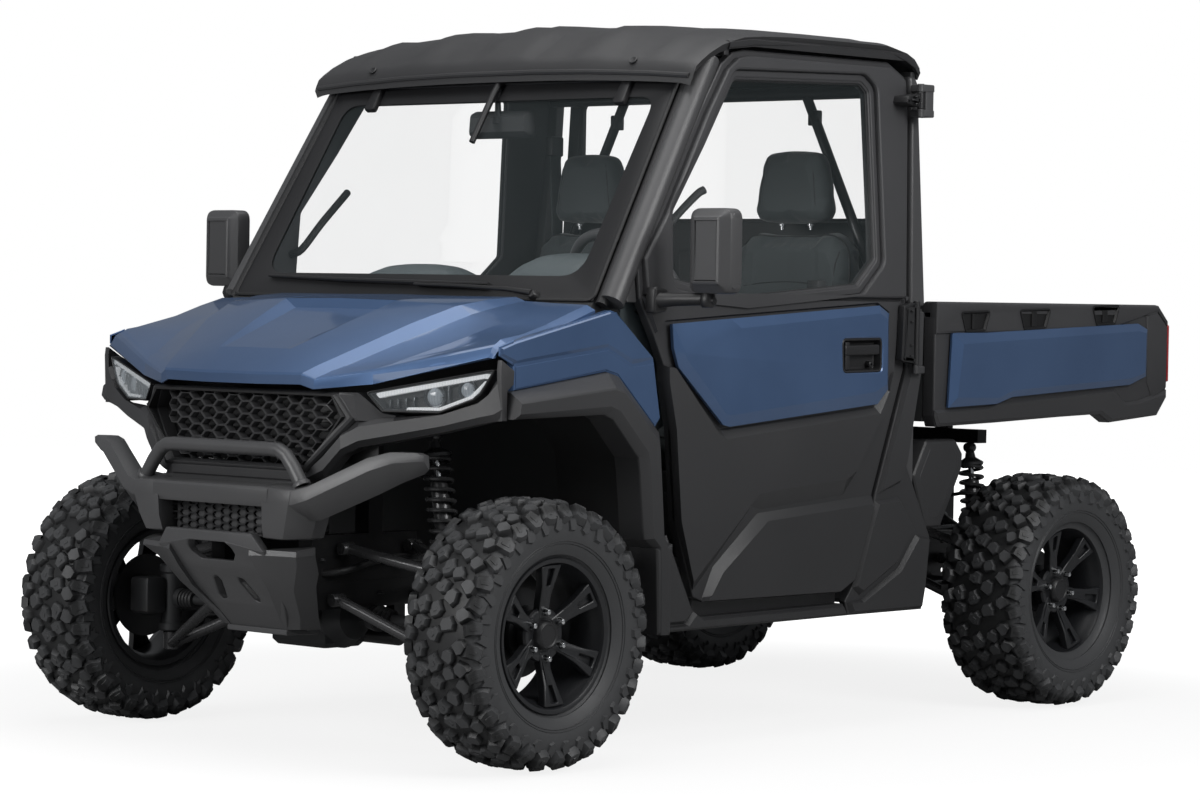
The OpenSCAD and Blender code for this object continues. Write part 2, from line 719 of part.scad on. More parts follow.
function door_lower() = [[cab0 + 139, belt_z + 1], [cab0 + 198, 1082], [cab0 + 238, 1007],
    [cab0 + 239, 963], [cab0 + 271, 838],
    [cab0 + 296, 599], [cab0 + 369, 399], [cab0 + 407, 385], [cab1 - 366, 382], [cab1 - 304, 413],
    [cab1 - 222, 609],
    [cab1 - 213, 650], [door_back - 6, 990], [door_back, belt_z + 1]];

function door_upper() = [[cab0 + 139, belt_z], [cab0 + 133, 1286], [cab0 + 225, 1406], [cab0 + 400, 1678],
    [cab0 + 489, 1801], [cab0 + 541, 1836], [cab0 + 590, 1845], [cab1 - 126, 1848], [door_back + 28, 1808],
    [door_back + 32, 1700], [door_back, belt_z]];

function window_outline() = [[cab0 + 540, 1768], [cab1 - 250, 1785], [cab1 - 217, 1761], [cab1 - 208, 1293],
    [cab1 - 294, 1220], [cab0 + 555, 1182], [cab0 + 271, 1247], [cab0 + 276, 1408], [cab0 + 410, 1584]];

module door() {
    color(plastic) difference() {
        union() {
            side_prism(door_lower(), door_inner, door_outer);
            leaned() side_prism(door_upper(), door_inner, door_outer);
            for (z = hinge_z) {
                translate([hinge_x, hinge_y, z[0]]) cylinder(h = z[1] - z[0], r = pin_r);
                block(cab_half - 1 - lean_in(z[1]), hinge_x, hinge_y - 60, hinge_y, z[0] + 5, z[1] - 5);
            }
        }
        leaned() side_prism(window_outline(), door_inner - 30, door_outer + 30);
    }
}

module door_glass() {
    color(glass) leaned() side_prism(window_outline(), door_inner + 18, door_inner + 24);
}

module door_panel() {
    color(paint) side_prism([[cab0 + 248, 1113], [cab0 + 275, 1001], [cab0 + 459, 848], [cab0 + 484, 843],
        [cab1 - 220, 896], [cab1 - 172, 937], [cab1 - 174, 1145], [cab1 - 220, belt_z - 4]],
        door_outer + seat, door_outer + 12);
}

mirror_x = cab_half + 104;
mirror_y = cab0 + 187;
mirror_z = belt_z + 20;

module mirror_head() {
    color(plastic) {
        hull() {
            block(mirror_x, mirror_x + 138, mirror_y, mirror_y + 48, mirror_z, mirror_z + 218);
            block(mirror_x + 18, mirror_x + 120, mirror_y - 18, mirror_y, mirror_z + 22, mirror_z + 196);
        }
        bar([cab_half + 14, cab0 + 156, belt_z + 4], [mirror_x + 48, mirror_y + 18, belt_z + 4], 14);
        translate([mirror_x + 50, mirror_y + 20, belt_z - 12]) cylinder(h = 60, r = 18);
        block(cab_half + seat, cab_half + 26, cab0 + 150, cab0 + 200, belt_z - 30, belt_z + 36);
    }
}

module door_left() { door(); }
module door_right() { mirror([1, 0, 0]) door(); }
module door_glass_left() { door_glass(); }
module door_glass_right() { mirror([1, 0, 0]) door_glass(); }
module door_panel_left() { door_panel(); }
module door_panel_right() { mirror([1, 0, 0]) door_panel(); }
module mirror_left() { mirror_head(); }
module mirror_right() { mirror([1, 0, 0]) mirror_head(); }

// --- hood ---

hood_edge = cab_half - 26;
hood_t = 22;
hood_back_y = cab0 - 10;
hood_pin_y = cab0 + 2;
hood_pin_z = belt_z - 8;
hood_pin_r = 6;
hood_front = [[-hood_edge - 2, -116, 1032], [-hood_edge, -114, 1060], [-420, -262, 985], [-288, -322, 965],
    [-260, -336, 974], [0, -348, 974]];
hood_mid = [[-hood_edge - 2, 50, 1070], [-hood_edge + 2, 50, 1100], [-455, 50, 1130], [-427, 50, 1152],
    [-213, 50, 1162], [0, 50, 1165]];
hood_back = [[-hood_edge + 6, hood_back_y, 1146], [-hood_edge + 14, hood_back_y, 1158], [-466, hood_back_y, 1168],
    [-440, hood_back_y, 1176], [-220, hood_back_y, 1176], [0, hood_back_y, 1178]];

module hood() {
    color(paint) sheet([mirror_row(hood_front), mirror_row(hood_mid), mirror_row(hood_back)], hood_t);
    color(paint) both_sides() {
        x_bar(300, 340, hood_pin_y, hood_pin_z, hood_pin_r);
        block(300, 340, hood_back_y - 2, hood_pin_y, hood_pin_z - 5, hood_pin_z + 5);
    }
}

// --- bed ---

bed_in = bed_half - bed_wall;
gate_t = 42;
gate_y1 = bed1;
gate_y0 = gate_y1 - gate_t;
gate_z0 = bed_z + 40;
gate_pin_y = gate_y1 - 16;
gate_pin_z = gate_z0 + 30;

module bed() {
    color(plastic) {
        both_sides() side_prism([[bed0, rail_z], [bed1 - 62, rail_z - 2], [bed1 - 12, rail_z - 50],
            [bed1 - 12, bed_z + 72],
            [bed1 - 62, bed_z + 18], [wheelbase + 225, bed_z], [wheelbase + 170, bed_z + 26],
            [wheelbase - 40, bed_z + 20],
            [wheelbase - 360, bed_z + 8], [bed0 + 12, bed_z], [bed0, bed_z + 30]], bed_in, bed_half);
        block(-bed_in - 1, bed_in + 1, bed0, bed0 + 34, bed_z + 14, rail_z - 6);
        block(-bed_in - 1, bed_in + 1, bed0 + 1, gate_y0 - 20, bed_z + 28, bed_z + 28 + bed_floor_t);
        both_sides() {
            x_bar(rail_x0, rail_x1, bed_hinge_y, bed_hinge_z, bed_pin_r);
            block(rail_x0, rail_x1, bed_hinge_y - bed_pin_r, bed_hinge_y + bed_pin_r, bed_hinge_z, bed_z + 29);
        }
    }
}

module bed_panels() {
    color(paint) both_sides() side_prism([[bed0 + 64, 1095], [bed1 - 186, 1128], [bed1 - 132, 1110],
        [bed1 - 132, 964],
        [bed1 - 170, 943], [bed1 - 258, 938], [bed0 + 322, 890], [bed0 + 50, 881]],
        bed_half + seat, bed_half + 12);
}

module tailgate() {
    color(plastic) {
        block(-bed_in + 6, bed_in - 6, gate_y0, gate_y1, gate_z0, rail_z - 10);
        both_sides() x_bar(bed_in - 7, bed_in - seat, gate_pin_y, gate_pin_z, 10);
    }
}

module tail_lamps() {
    color([0.6, 0.03, 0.03]) both_sides()
        block(bed_in + 8, bed_half - 8, bed1 - 12 + seat, bed1 - 2, bed_z + 120, rail_z - 60);
}

// --- output ---

placed() frame();
placed() shock_towers();
placed() cab_floor();
placed() cage_pillars();
placed() cage_bars();
placed() roof();
placed() windshield();
placed() rear_wall();
placed() rear_window();
placed() cowl();
placed() dashboard();
placed() seat_cushions();
placed() seat_backs();
placed() headrests();
placed() front_fascia();
placed() grille();
placed() headlights();
placed() front_bumper();
placed() skid_plate();
placed() front_fenders();
placed() fender_flares();
placed() fender_liners();
placed() rocker_panels();
placed() side_covers();
placed() engine();
placed() differentials();
placed() half_shafts();
placed() front_arms();
placed() rear_arms();
placed() shocks();
placed() hub_carriers();
placed() hitch_receiver();
placed() knuckle_left();
placed() knuckle_right();
placed() steering_rack();
placed() steering_wheel();
placed() tyre_front_left();
placed() tyre_front_right();
placed() tyre_rear_left();
placed() tyre_rear_right();
placed() rim_front_left();
placed() rim_front_right();
placed() rim_rear_left();
placed() rim_rear_right();
placed() door_left();
placed() door_right();
placed() door_glass_left();
placed() door_glass_right();
placed() door_panel_left();
placed() door_panel_right();
placed() mirror_left();
placed() mirror_right();
placed() hood();
placed() bed();
placed() bed_panels();
placed() tailgate();
placed() tail_lamps();
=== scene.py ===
import math
import bpy
import bmesh
from mathutils import Matrix, Vector
from mathutils.geometry import tessellate_polygon


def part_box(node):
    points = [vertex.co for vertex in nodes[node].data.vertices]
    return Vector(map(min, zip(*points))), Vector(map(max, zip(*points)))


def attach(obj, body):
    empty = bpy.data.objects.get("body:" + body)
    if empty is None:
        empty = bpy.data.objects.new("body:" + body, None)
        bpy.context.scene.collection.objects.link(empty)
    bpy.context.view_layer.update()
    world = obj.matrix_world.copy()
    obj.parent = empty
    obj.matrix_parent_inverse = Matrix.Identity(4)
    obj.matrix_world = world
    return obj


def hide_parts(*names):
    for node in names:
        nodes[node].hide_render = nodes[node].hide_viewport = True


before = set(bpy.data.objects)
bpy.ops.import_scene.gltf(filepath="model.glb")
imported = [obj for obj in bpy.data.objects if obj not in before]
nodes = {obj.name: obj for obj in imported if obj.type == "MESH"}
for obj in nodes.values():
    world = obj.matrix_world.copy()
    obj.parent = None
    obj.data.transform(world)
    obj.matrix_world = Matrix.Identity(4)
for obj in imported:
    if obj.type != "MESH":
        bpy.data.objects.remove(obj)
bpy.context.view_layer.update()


def middle(node, axis):
    low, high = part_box(node)
    return (low[axis] + high[axis]) / 2


axleY = middle("tyre_front_left", 1)  # every length below counts y from the front axle
wheelBase = middle("tyre_rear_left", 1) - axleY
tyreRadius = (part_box("tyre_front_left")[1][2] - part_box("tyre_front_left")[0][2]) / 2
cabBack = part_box("cage_pillars")[1][1] - axleY
cabFront = cabBack - 1.335
doorBack = cabBack - 0.077
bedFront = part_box("bed")[0][1] - axleY
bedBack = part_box("tailgate")[1][1] - axleY
beltZ = 1.172
sideLean = math.radians(3.5)
windshieldTilt = math.radians(31.8)
glassFoot, glassTop = 1.166, 1.762

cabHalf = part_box("door_panel_left")[0][0] - 0.0003


# node helpers

class Wire:  # one output socket, with sums written as plain expressions
    def __init__(self, tree, socket):
        self.tree, self.socket = tree, socket

    def __getitem__(self, name):
        return Wire(self.tree, self.socket.node.outputs[name])

    def maths(self, operation, *others, clamp=False):
        return makeNode(self.tree, "ShaderNodeMath", {"operation": operation, "use_clamp": clamp},
            {0: self, **{i + 1: o for i, o in enumerate(others)}})

    def __add__(self, other):
        return self.maths("ADD", other)

    def __radd__(self, other):
        return self.maths("ADD", other)

    def __sub__(self, other):
        return self.maths("SUBTRACT", other)

    def __rsub__(self, other):
        return self.maths("MULTIPLY_ADD", -1.0, other)

    def __mul__(self, other):
        return self.maths("MULTIPLY", other)

    def __rmul__(self, other):
        return self.maths("MULTIPLY", other)

    def __truediv__(self, other):
        return self.maths("DIVIDE", other)

    def __pow__(self, other):
        return self.maths("POWER", other)

    def __lt__(self, other):
        return self.maths("LESS_THAN", other)

    def __gt__(self, other):
        return self.maths("GREATER_THAN", other)

    def __and__(self, other):
        return self.maths("MULTIPLY", other)


def makeNode(tree, kind, settings=None, inputs=None):
    made = tree.nodes.new(kind)
    for key, value in (settings or {}).items():
        if key == "stops":
            ramp = made.color_ramp
            while len(ramp.elements) < len(value):
                ramp.elements.new(0.5)
            for element, (place, colour) in zip(ramp.elements, value):
                element.position, element.color = place, colour
        else:
            setattr(made, key, value)
    for key, value in (inputs or {}).items():
        socket = made.inputs[key]
        if isinstance(value, Wire):
            tree.links.new(value.socket, socket)
        else:
            socket.default_value = value
    outputs = [o for o in made.outputs if o.enabled]
    return Wire(tree, outputs[0]) if outputs else made


class Finish:  # one material: a Principled shader with sums feeding it
    def __init__(self, name, colour, roughness=0.5, **fixed):
        self.material = bpy.data.materials.new(name)
        self.material.use_nodes = True
        self.tree = self.material.node_tree
        self.shader = self.tree.nodes["Principled BSDF"]
        self.shader.inputs["Base Color"].default_value = (*colour, 1)
        self.shader.inputs["Roughness"].default_value = roughness
        for key, value in fixed.items():
            self.shader.inputs[key.replace("_", " ")].default_value = value
        self.colour, self.coords = colour, makeNode(self.tree, "ShaderNodeTexCoord")["Object"]

    def node(self, kind, settings=None, inputs=None):
        return makeNode(self.tree, kind, settings, inputs)

    def noise(self, scale, detail=2.0, roughness=0.5, stretch=None):
        where = self.coords
        if stretch:
            where = self.node("ShaderNodeMapping", None, {"Vector": where, "Scale": stretch})
        return self.node("ShaderNodeTexNoise", None, {"Vector": where, "Scale": scale, "Detail": detail,
            "Roughness": roughness})["Fac"]

    def cells(self, scale, feature="F1", output="Distance"):
        return self.node("ShaderNodeTexVoronoi", {"feature": feature}, {"Vector": self.coords,
            "Scale": scale})[output]

    def smooth(self, value, low, high):
        return self.node("ShaderNodeMapRange", {"interpolation_type": "SMOOTHSTEP"},
            {"Value": value, "From Min": low, "From Max": high})

    def mix(self, factor, a, b):
        asColour = lambda c: c if isinstance(c, Wire) else (*c, 1)
        made = makeNode(self.tree, "ShaderNodeMix", {"data_type": "RGBA"},
            {"Factor": factor, 6: asColour(a), 7: asColour(b)})
        return Wire(self.tree, made.socket.node.outputs[2])

    def feed(self, name, value):
        self.tree.links.new(value.socket, self.shader.inputs[name])
        return self

    def bump(self, height, strength, distance, under=None):
        inputs = {"Height": height, "Strength": strength, "Distance": distance}
        if under is not None:
            inputs["Normal"] = under
        return self.node("ShaderNodeBump", None, inputs)


# finishes

def bluePaint():
    f = Finish("blue paint", (0.064, 0.126, 0.262), 0.40, Metallic=0.55, Coat_Weight=0.8,
        Coat_Roughness=0.06, Coat_IOR=1.5)
    flakes = f.cells(2600, output="Color")
    sparkle = f.node("ShaderNodeSeparateColor", None, {"Color": flakes})
    cloud = f.noise(3.0, 3)
    f.feed("Base Color", f.mix(f.smooth(cloud, 0.25, 0.75), (0.052, 0.106, 0.226), (0.066, 0.128, 0.262)))
    f.feed("Roughness", 0.36 + sparkle * 0.10 + f.noise(18) * 0.03)
    f.feed("Normal", f.bump(f.noise(260, 1), 0.05, 0.0004))
    return f.material


# low and high: painted shade near the ground and painted light towards the roof, as scales on the colour from
# the bottom to the top
def mouldedPlastic(name, colour, roughness, grain, depth, worn, low=1.0, high=1.0):
    f = Finish(name, colour, roughness, Specular_IOR_Level=0.5)
    pebble = f.cells(grain)
    cloud = f.noise(2.2, 4)
    scuff = f.smooth(f.noise(70, 5, 0.7, (1, 0.25, 1)), 0.60, 0.78)
    light = tuple(c * worn for c in colour)
    shade = f.mix(f.smooth(cloud, 0.3, 0.75) * 0.55 + scuff * 0.25, colour, light)
    # painted shade and painted light by height: the colour is darker near the ground and lighter higher up
    if low != high:
        height = f.smooth(f.node("ShaderNodeSeparateXYZ", None, {"Vector": f.coords})["Z"], 0.30, 1.55)
        shade = f.node("ShaderNodeVectorMath", {"operation": "SCALE"},
            {0: shade, "Scale": low + height * (high - low)})
    f.feed("Base Color", shade)
    f.feed("Roughness", (roughness - 0.05) + cloud * 0.10 - scuff * 0.05)
    f.feed("Normal", f.bump(pebble * 0.7 + f.noise(grain * 0.6, 2) * 0.5, 0.55, depth))
    return f.material


def paintedSteel(name, colour, roughness, dust=0.25):
    f = Finish(name, colour, roughness, Metallic=0.35)
    cloud = f.noise(5, 5, 0.6)
    dirt = f.smooth(f.noise(28, 6, 0.7), 0.52, 0.80)
    f.feed("Base Color", f.mix(dirt * dust, colour, (0.045, 0.041, 0.036)))
    f.feed("Roughness", (roughness - 0.08) + cloud * 0.12 + dirt * 0.18)
    f.feed("Normal", f.bump(f.noise(420, 2) + f.noise(60, 2) * 0.5, 0.25, 0.0006))
    return f.material


def rubber(name, colour, roughness, scale=520, tread=False):
    f = Finish(name, colour, roughness, Specular_IOR_Level=0.42)
    cloud = f.noise(7, 5, 0.6)
    dust = f.smooth(f.noise(46, 6, 0.72), 0.50, 0.78)
    shade = f.mix(dust * 0.35 + cloud * 0.25, colour, tuple(c * 1.2 for c in colour))
    if tread:  # the floor between the tread blocks is darker
        apart = f.node("ShaderNodeSeparateXYZ", None, {"Vector": f.coords})
        along = (apart["Y"] - axleY).maths("ABSOLUTE").maths("MINIMUM",
            (apart["Y"] - (axleY + wheelBase)).maths("ABSOLUTE"))
        rise = apart["Z"] - tyreRadius
        reach = (along * along + rise * rise).maths("SQRT")
        # painted shade in the grooves: the colour darkens on the ring of radii at the groove floor
        shade = f.mix(f.smooth(reach, 0.308, 0.3165) * (1.0 - f.smooth(reach, 0.3260, 0.3345)) * 0.85,
            shade, tuple(c * 0.22 for c in colour))
    f.feed("Base Color", shade)
    f.feed("Roughness", (roughness - 0.06) + dust * 0.14)
    f.feed("Normal", f.bump(f.noise(scale, 3) + f.cells(160) * 0.35, 0.35, 0.0008))
    return f.material


def clearPane(name, tint, alpha):
    f = Finish(name, tint, 0.03, IOR=1.5, Specular_IOR_Level=0.8)
    rim = f.node("ShaderNodeLayerWeight", None, {"Blend": 0.35})["Fresnel"]
    smear = f.smooth(f.noise(4, 5, 0.65), 0.45, 0.8)
    f.feed("Alpha", alpha + rim * 0.07 + smear * 0.006)
    f.feed("Roughness", 0.015 + smear * 0.01)
    f.material.surface_render_method = "BLENDED"
    return f.material


def seatCloth():
    f = Finish("seat cloth", (0.020, 0.024, 0.027), 0.7, Sheen_Weight=0.25, Sheen_Roughness=0.45)
    separate = f.node("ShaderNodeSeparateXYZ", None, {"Vector": f.coords})
    x, y, z = separate["X"], separate["Y"], separate["Z"]
    across = (x * 2100.0).maths("SINE")
    along = ((y + z) * 2100.0).maths("SINE")
    weave = across * along
    cloud = f.noise(9, 4)
    f.feed("Base Color", f.mix(f.smooth(weave, -0.6, 0.9) * 0.5 + cloud * 0.35, (0.030, 0.038, 0.040),
        (0.074, 0.088, 0.092)))
    f.feed("Roughness", 0.62 + cloud * 0.16)
    f.feed("Normal", f.bump(weave * 0.5 + f.noise(300, 3) * 0.6, 0.5, 0.0008))
    return f.material


def polished(name, colour, roughness, metallic=1.0):
    f = Finish(name, colour, roughness, Metallic=metallic)
    brushed = f.noise(380, 2, 0.5, (1, 6, 1))
    f.feed("Roughness", (roughness - 0.03) + brushed * 0.08)
    f.feed("Base Color", f.mix(f.noise(14, 3), colour, tuple(c * 0.82 for c in colour)))
    f.feed("Normal", f.bump(brushed, 0.08, 0.0003))
    return f.material


def lens(name, colour, alpha, roughness=0.05, glow=0.0):
    f = Finish(name, colour, roughness, Coat_Weight=1.0, Specular_IOR_Level=0.7)
    flutes = (f.node("ShaderNodeSeparateXYZ", None, {"Vector": f.coords})["X"] * 900.0).maths("SINE")
    f.feed("Base Color", f.mix(f.smooth(flutes, -1.0, 1.0), colour,
        tuple(min(1.0, c * 1.18 + 0.01) for c in colour)))
    f.feed("Normal", f.bump(flutes, 0.12, 0.0004))
    if alpha < 1:
        rim = f.node("ShaderNodeLayerWeight", None, {"Blend": 0.4})["Fresnel"]
        f.feed("Alpha", alpha + rim * 0.5)
        f.material.surface_render_method = "BLENDED"
    if glow:
        f.shader.inputs["Emission Strength"].default_value = glow
        f.shader.inputs["Emission Color"].default_value = (*colour, 1)
    return f.material


# near-black far darker than real black plastic: painted shade, used on the wheel liners, the stake pockets
# and the sheet behind the grille
shadeBlack = mouldedPlastic("unlit black", (0.0035, 0.0035, 0.004), 0.55, 900, 0.0003, 1.6)
satinGrey = mouldedPlastic("satin charcoal", (0.058, 0.058, 0.060), 0.36, 1300, 0.00025, 1.2)
paint = bluePaint()
# grey plastic with painted shade low down and painted light higher up
greyPlastic = mouldedPlastic("grained grey plastic", (0.027, 0.027, 0.0285), 0.44, 1100, 0.00035, 1.28,
    0.70, 1.75)
roofGrey = mouldedPlastic("grained roof plastic", (0.027, 0.027, 0.0285), 0.46, 1100, 0.00035, 1.28)
blackPlastic = mouldedPlastic("black plastic", (0.012, 0.012, 0.013), 0.42, 1500, 0.0002, 1.5)
softBlack = mouldedPlastic("soft black trim", (0.016, 0.017, 0.018), 0.62, 900, 0.0004, 1.4)
steel = paintedSteel("black coated steel", (0.016, 0.016, 0.017), 0.34)
# black coated steel with a satin finish, made several times lighter than the plain black steel: painted light
# on the arms and shock bodies, which sit in shade
armSteelPaintedLight = paintedSteel("satin black arms", (0.060, 0.060, 0.062), 0.28, 0.1)
castSteel = paintedSteel("cast grey steel", (0.035, 0.036, 0.038), 0.5, 0.5)
# tyre rubber with painted shade in the tread grooves
tyreRubber = rubber("tyre rubber", (0.046, 0.047, 0.049), 0.55, tread=True)
gripRubber = rubber("grip rubber", (0.014, 0.014, 0.015), 0.6, 800)
rimBlack = mouldedPlastic("satin black rim", (0.011, 0.0115, 0.013), 0.34, 2400, 0.0001, 1.5)
glassClear = clearPane("window glass", (0.20, 0.24, 0.25), 0.005)
cloth = seatCloth()
chrome = polished("bright plated steel", (0.72, 0.73, 0.74), 0.16)
darkMetal = polished("dark reflector", (0.16, 0.17, 0.18), 0.22)
whiteStrip = lens("white lamp strip", (0.86, 0.88, 0.90), 1.0, 0.25, 0.35)
lampGlass = lens("lamp lens", (0.30, 0.33, 0.35), 0.07)
bulbGlass = lens("projector glass", (0.42, 0.46, 0.50), 1.0, 0.04)
redLens = lens("red lens", (0.36, 0.008, 0.010), 1.0, 0.10)
mirrorGlass = polished("mirror glass", (0.80, 0.82, 0.83), 0.03)
print("finishes made")


# shape helpers: y counts from the front axle until a piece is made

def cornerArea(outline):
    return sum(a[0] * b[1] - b[0] * a[1] for a, b in zip(outline, outline[1:] + outline[:1])) / 2


def anticlockwise(outline):
    return list(outline) if cornerArea(outline) > 0 else list(reversed(outline))


def inset(outline, d):
    if abs(d) < 1e-9:
        return [(p[0], p[1]) for p in outline]
    count, made = len(outline), []
    for i in range(count):
        a, b, c = (Vector(outline[j % count][:2]) for j in (i - 1, i, i + 1))
        e1, e2 = (b - a).normalized(), (c - b).normalized()
        n1, n2 = Vector((-e1.y, e1.x)), Vector((-e2.y, e2.x))
        k = max(0.25, 1 + n1.dot(n2))
        made.append(tuple(b + (n1 + n2) * (d / k)))
    return made


def rounded(outline, radius, steps=4):
    outline, made, count = anticlockwise(outline), [], len(outline)
    for i in range(count):
        a, b, c = (Vector(outline[j % count][:2]) for j in (i - 1, i, i + 1))
        r = outline[i][2] if len(outline[i]) > 2 else radius
        back, ahead = (a - b), (c - b)
        turn = math.pi - back.angle(ahead)
        if r <= 0 or turn < 0.05:
            made.append(tuple(b))
            continue
        cut = min(r * math.tan(turn / 2), back.length * 0.45, ahead.length * 0.45)
        p, q = b + back.normalized() * cut, b + ahead.normalized() * cut
        for k in range(steps + 1):
            t = k / steps
            made.append(tuple(p * (1 - t) ** 2 + b * 2 * t * (1 - t) + q * t ** 2))
    return made


def edgeLayers(low, high, edge, back, steps):  # (plane, inset) pairs from the back face to the front
    sign = 1 if high > low else -1
    made = [(low, back), (low + sign * back, 0.0)] if back else [(low, 0.0)]
    for k in range(steps + 1):
        a = k / steps * math.pi / 2
        made.append((high - sign * edge * (1 - math.sin(a)), edge * (1 - math.cos(a))))
    return made


placers = {"x": lambda u, v, w: (w, u, v), "y": lambda u, v, w: (u, w, v), "z": lambda u, v, w: (u, v, w)}


class Shape:
    def __init__(self):
        self.verts, self.faces = [], []

    def add(self, verts, faces):
        base = len(self.verts)
        self.verts += [tuple(v) for v in verts]
        self.faces += [tuple(base + i for i in f) for f in faces]
        return self

    def loft(self, rings, around=True, caps=True, closed=False):
        n, m = len(rings[0]), len(rings)
        verts = [p for ring in rings for p in ring]
        faces = []
        for i in range(m if closed else m - 1):
            for j in range(n if around else n - 1):
                a, b = i * n + j, i * n + (j + 1) % n
                c, d = ((i + 1) % m) * n + (j + 1) % n, ((i + 1) % m) * n + j
                faces.append((a, b, c, d))
        if caps and not closed:
            faces += [tuple(range(n - 1, -1, -1)), tuple((m - 1) * n + j for j in range(n))]
        return self.add(verts, faces)

    # loops of (plane, outline) rings, the outside first, then any holes
    def plate(self, loops, axis="x", bend=None):
        place, warp, spans = placers[axis], bend or (lambda p: p), []
        for rings in loops:
            spans.append((len(self.verts), len(rings[0][1])))
            self.loft([[warp(place(u, v, w)) for u, v in outline] for w, outline in rings], caps=False)
        for end in (0, -1):
            flat = [[Vector((p[0], p[1], 0)) for p in rings[end][1]] for rings in loops]
            index = [start + (len(rings) - 1 if end else 0) * n + j for (start, n), rings in zip(spans,
                loops) for j in range(n)]
            for tri in tessellate_polygon(flat):
                self.faces.append(tuple(index[t] for t in (tri if end else reversed(tri))))
        return self

    def slab(self, outline, low, high, holes=(), edge=0.003, back=0.001, steps=2, axis="x", bend=None,
            holeEdge=None):
        loops = []
        for k, loop in enumerate([outline] + list(holes)):
            layers = edgeLayers(low, high, edge if k == 0 else (holeEdge or edge), back, steps)
            loops.append([(w, inset(anticlockwise(loop), -d if k else d)) for w, d in layers])
        return self.plate(loops, axis, bend)

    def brick(self, x0, x1, y0, y1, z0, z1, edge=0.004):
        r = min(edge, (x1 - x0) * 0.45, (y1 - y0) * 0.45, (z1 - z0) * 0.45)
        return self.slab(rounded([(x0, y0), (x1, y0), (x1, y1), (x0, y1)], r, 2), z0, z1, edge=r,
            back=r * 0.6, axis="z")

    def tube(self, path, radius, sides=12, flat=None, smooth=0, caps=True, closed=False):
        path = [Vector(p) for p in path]
        if smooth:
            path = flowing(path, smooth, closed)
        radii = radius if isinstance(radius, list) else [radius] * len(path)
        if isinstance(radius, list) and len(radius) != len(path):
            radii = [radius[min(len(radius) - 1, int(i * (len(radius) - 1) / max(1, len(path) - 1)
                + 0.5))] for i in range(len(path))]
        rings, up = [], None
        for i, p in enumerate(path):
            if closed:
                ahead = (path[(i + 1) % len(path)] - path[i - 1]).normalized()
            else:
                ahead = (path[min(i + 1, len(path) - 1)] - path[max(i - 1, 0)]).normalized()
            if up is None:
                up = Vector((0, 0, 1)) if abs(ahead.z) < 0.9 else Vector((1, 0, 0))
            side = ahead.cross(up).normalized()
            up = side.cross(ahead).normalized()
            squash = flat or 1.0
            rings.append([p + (side * math.cos(a) + up * math.sin(a) * squash) * radii[i]
                          for a in (2 * math.pi * k / sides for k in range(sides))])
        return self.loft(rings, caps=caps, closed=closed)

    # profile of (distance along, radius)
    def lathe(self, profile, centre, axis=(1, 0, 0), sides=32, closed=False):
        turn = Vector((0, 0, 1)).rotation_difference(Vector(axis).normalized()).to_matrix()
        c = Vector(centre)
        rings = [[c + turn @ Vector((r * math.cos(a), r * math.sin(a), h))
            for a in (2 * math.pi * k / sides for k in range(sides))] for h, r in profile]
        return self.loft(rings, caps=not closed, closed=closed)

    def merge(self, other, matrix=None):
        return self.add([(matrix @ Vector(v)) if matrix else v for v in other.verts], other.faces)

    def both(self):
        return self.add([(-x, y, z) for x, y, z in self.verts], [tuple(reversed(f)) for f in self.faces])

    def flipped(self):
        made = Shape()
        return made.add([(-x, y, z) for x, y, z in self.verts], [tuple(reversed(f)) for f in self.faces])

    def bent(self, how):
        self.verts = [tuple(how(v)) for v in self.verts]
        return self


def flowing(path, steps, closed=False):  # a smooth curve through the points
    made, n = [], len(path)
    last = n if closed else n - 1
    for i in range(last):
        p0 = path[(i - 1) % n] if closed or i > 0 else path[0] * 2 - path[1]
        p1, p2 = path[i], path[(i + 1) % n]
        p3 = path[(i + 2) % n] if closed or i < n - 2 else path[-1] * 2 - path[-2]
        for k in range(steps):
            t = k / steps
            made.append(0.5 * (2 * p1 + (p2 - p0) * t + (2 * p0 - 5 * p1 + 4 * p2 - p3) * t * t
                + (3 * p1 - p0 - 3 * p2 + p3) * t ** 3))
    return made if closed else made + [path[-1]]


def lean(p, tilt=sideLean):  # the cab sides lean in above the waist line
    x, y, z = p
    if z <= beltZ:
        return p
    side = 1 if x > 0 else -1
    dx, dz = abs(x) - cabHalf, z - beltZ
    return (side * (cabHalf + dx * math.cos(tilt) - dz * math.sin(tilt)), y, beltZ + dx * math.sin(tilt)
        + dz * math.cos(tilt))


def piece(name, shape, body, finish, replaces=(), angle=34, soften=0.0, subdivide=0, merge=0.00001):
    mesh = bpy.data.meshes.new(name)
    mesh.from_pydata([(v[0], v[1] + axleY, v[2]) for v in shape.verts], [], shape.faces)
    work = bmesh.new()
    work.from_mesh(mesh)
    bmesh.ops.remove_doubles(work, verts=work.verts, dist=merge)
    bmesh.ops.recalc_face_normals(work, faces=work.faces)
    work.to_mesh(mesh)
    work.free()
    obj = bpy.data.objects.new(name, mesh)
    bpy.context.scene.collection.objects.link(obj)
    if soften:
        bevel = obj.modifiers.new("soften", "BEVEL")
        bevel.width, bevel.segments, bevel.angle_limit = soften, 2, math.radians(angle)
        bevel.limit_method, bevel.use_clamp_overlap = "ANGLE", True
    if subdivide:
        sub = obj.modifiers.new("smooth", "SUBSURF")
        sub.levels = sub.render_levels = subdivide
    return settle(obj, body, finish, replaces, angle)


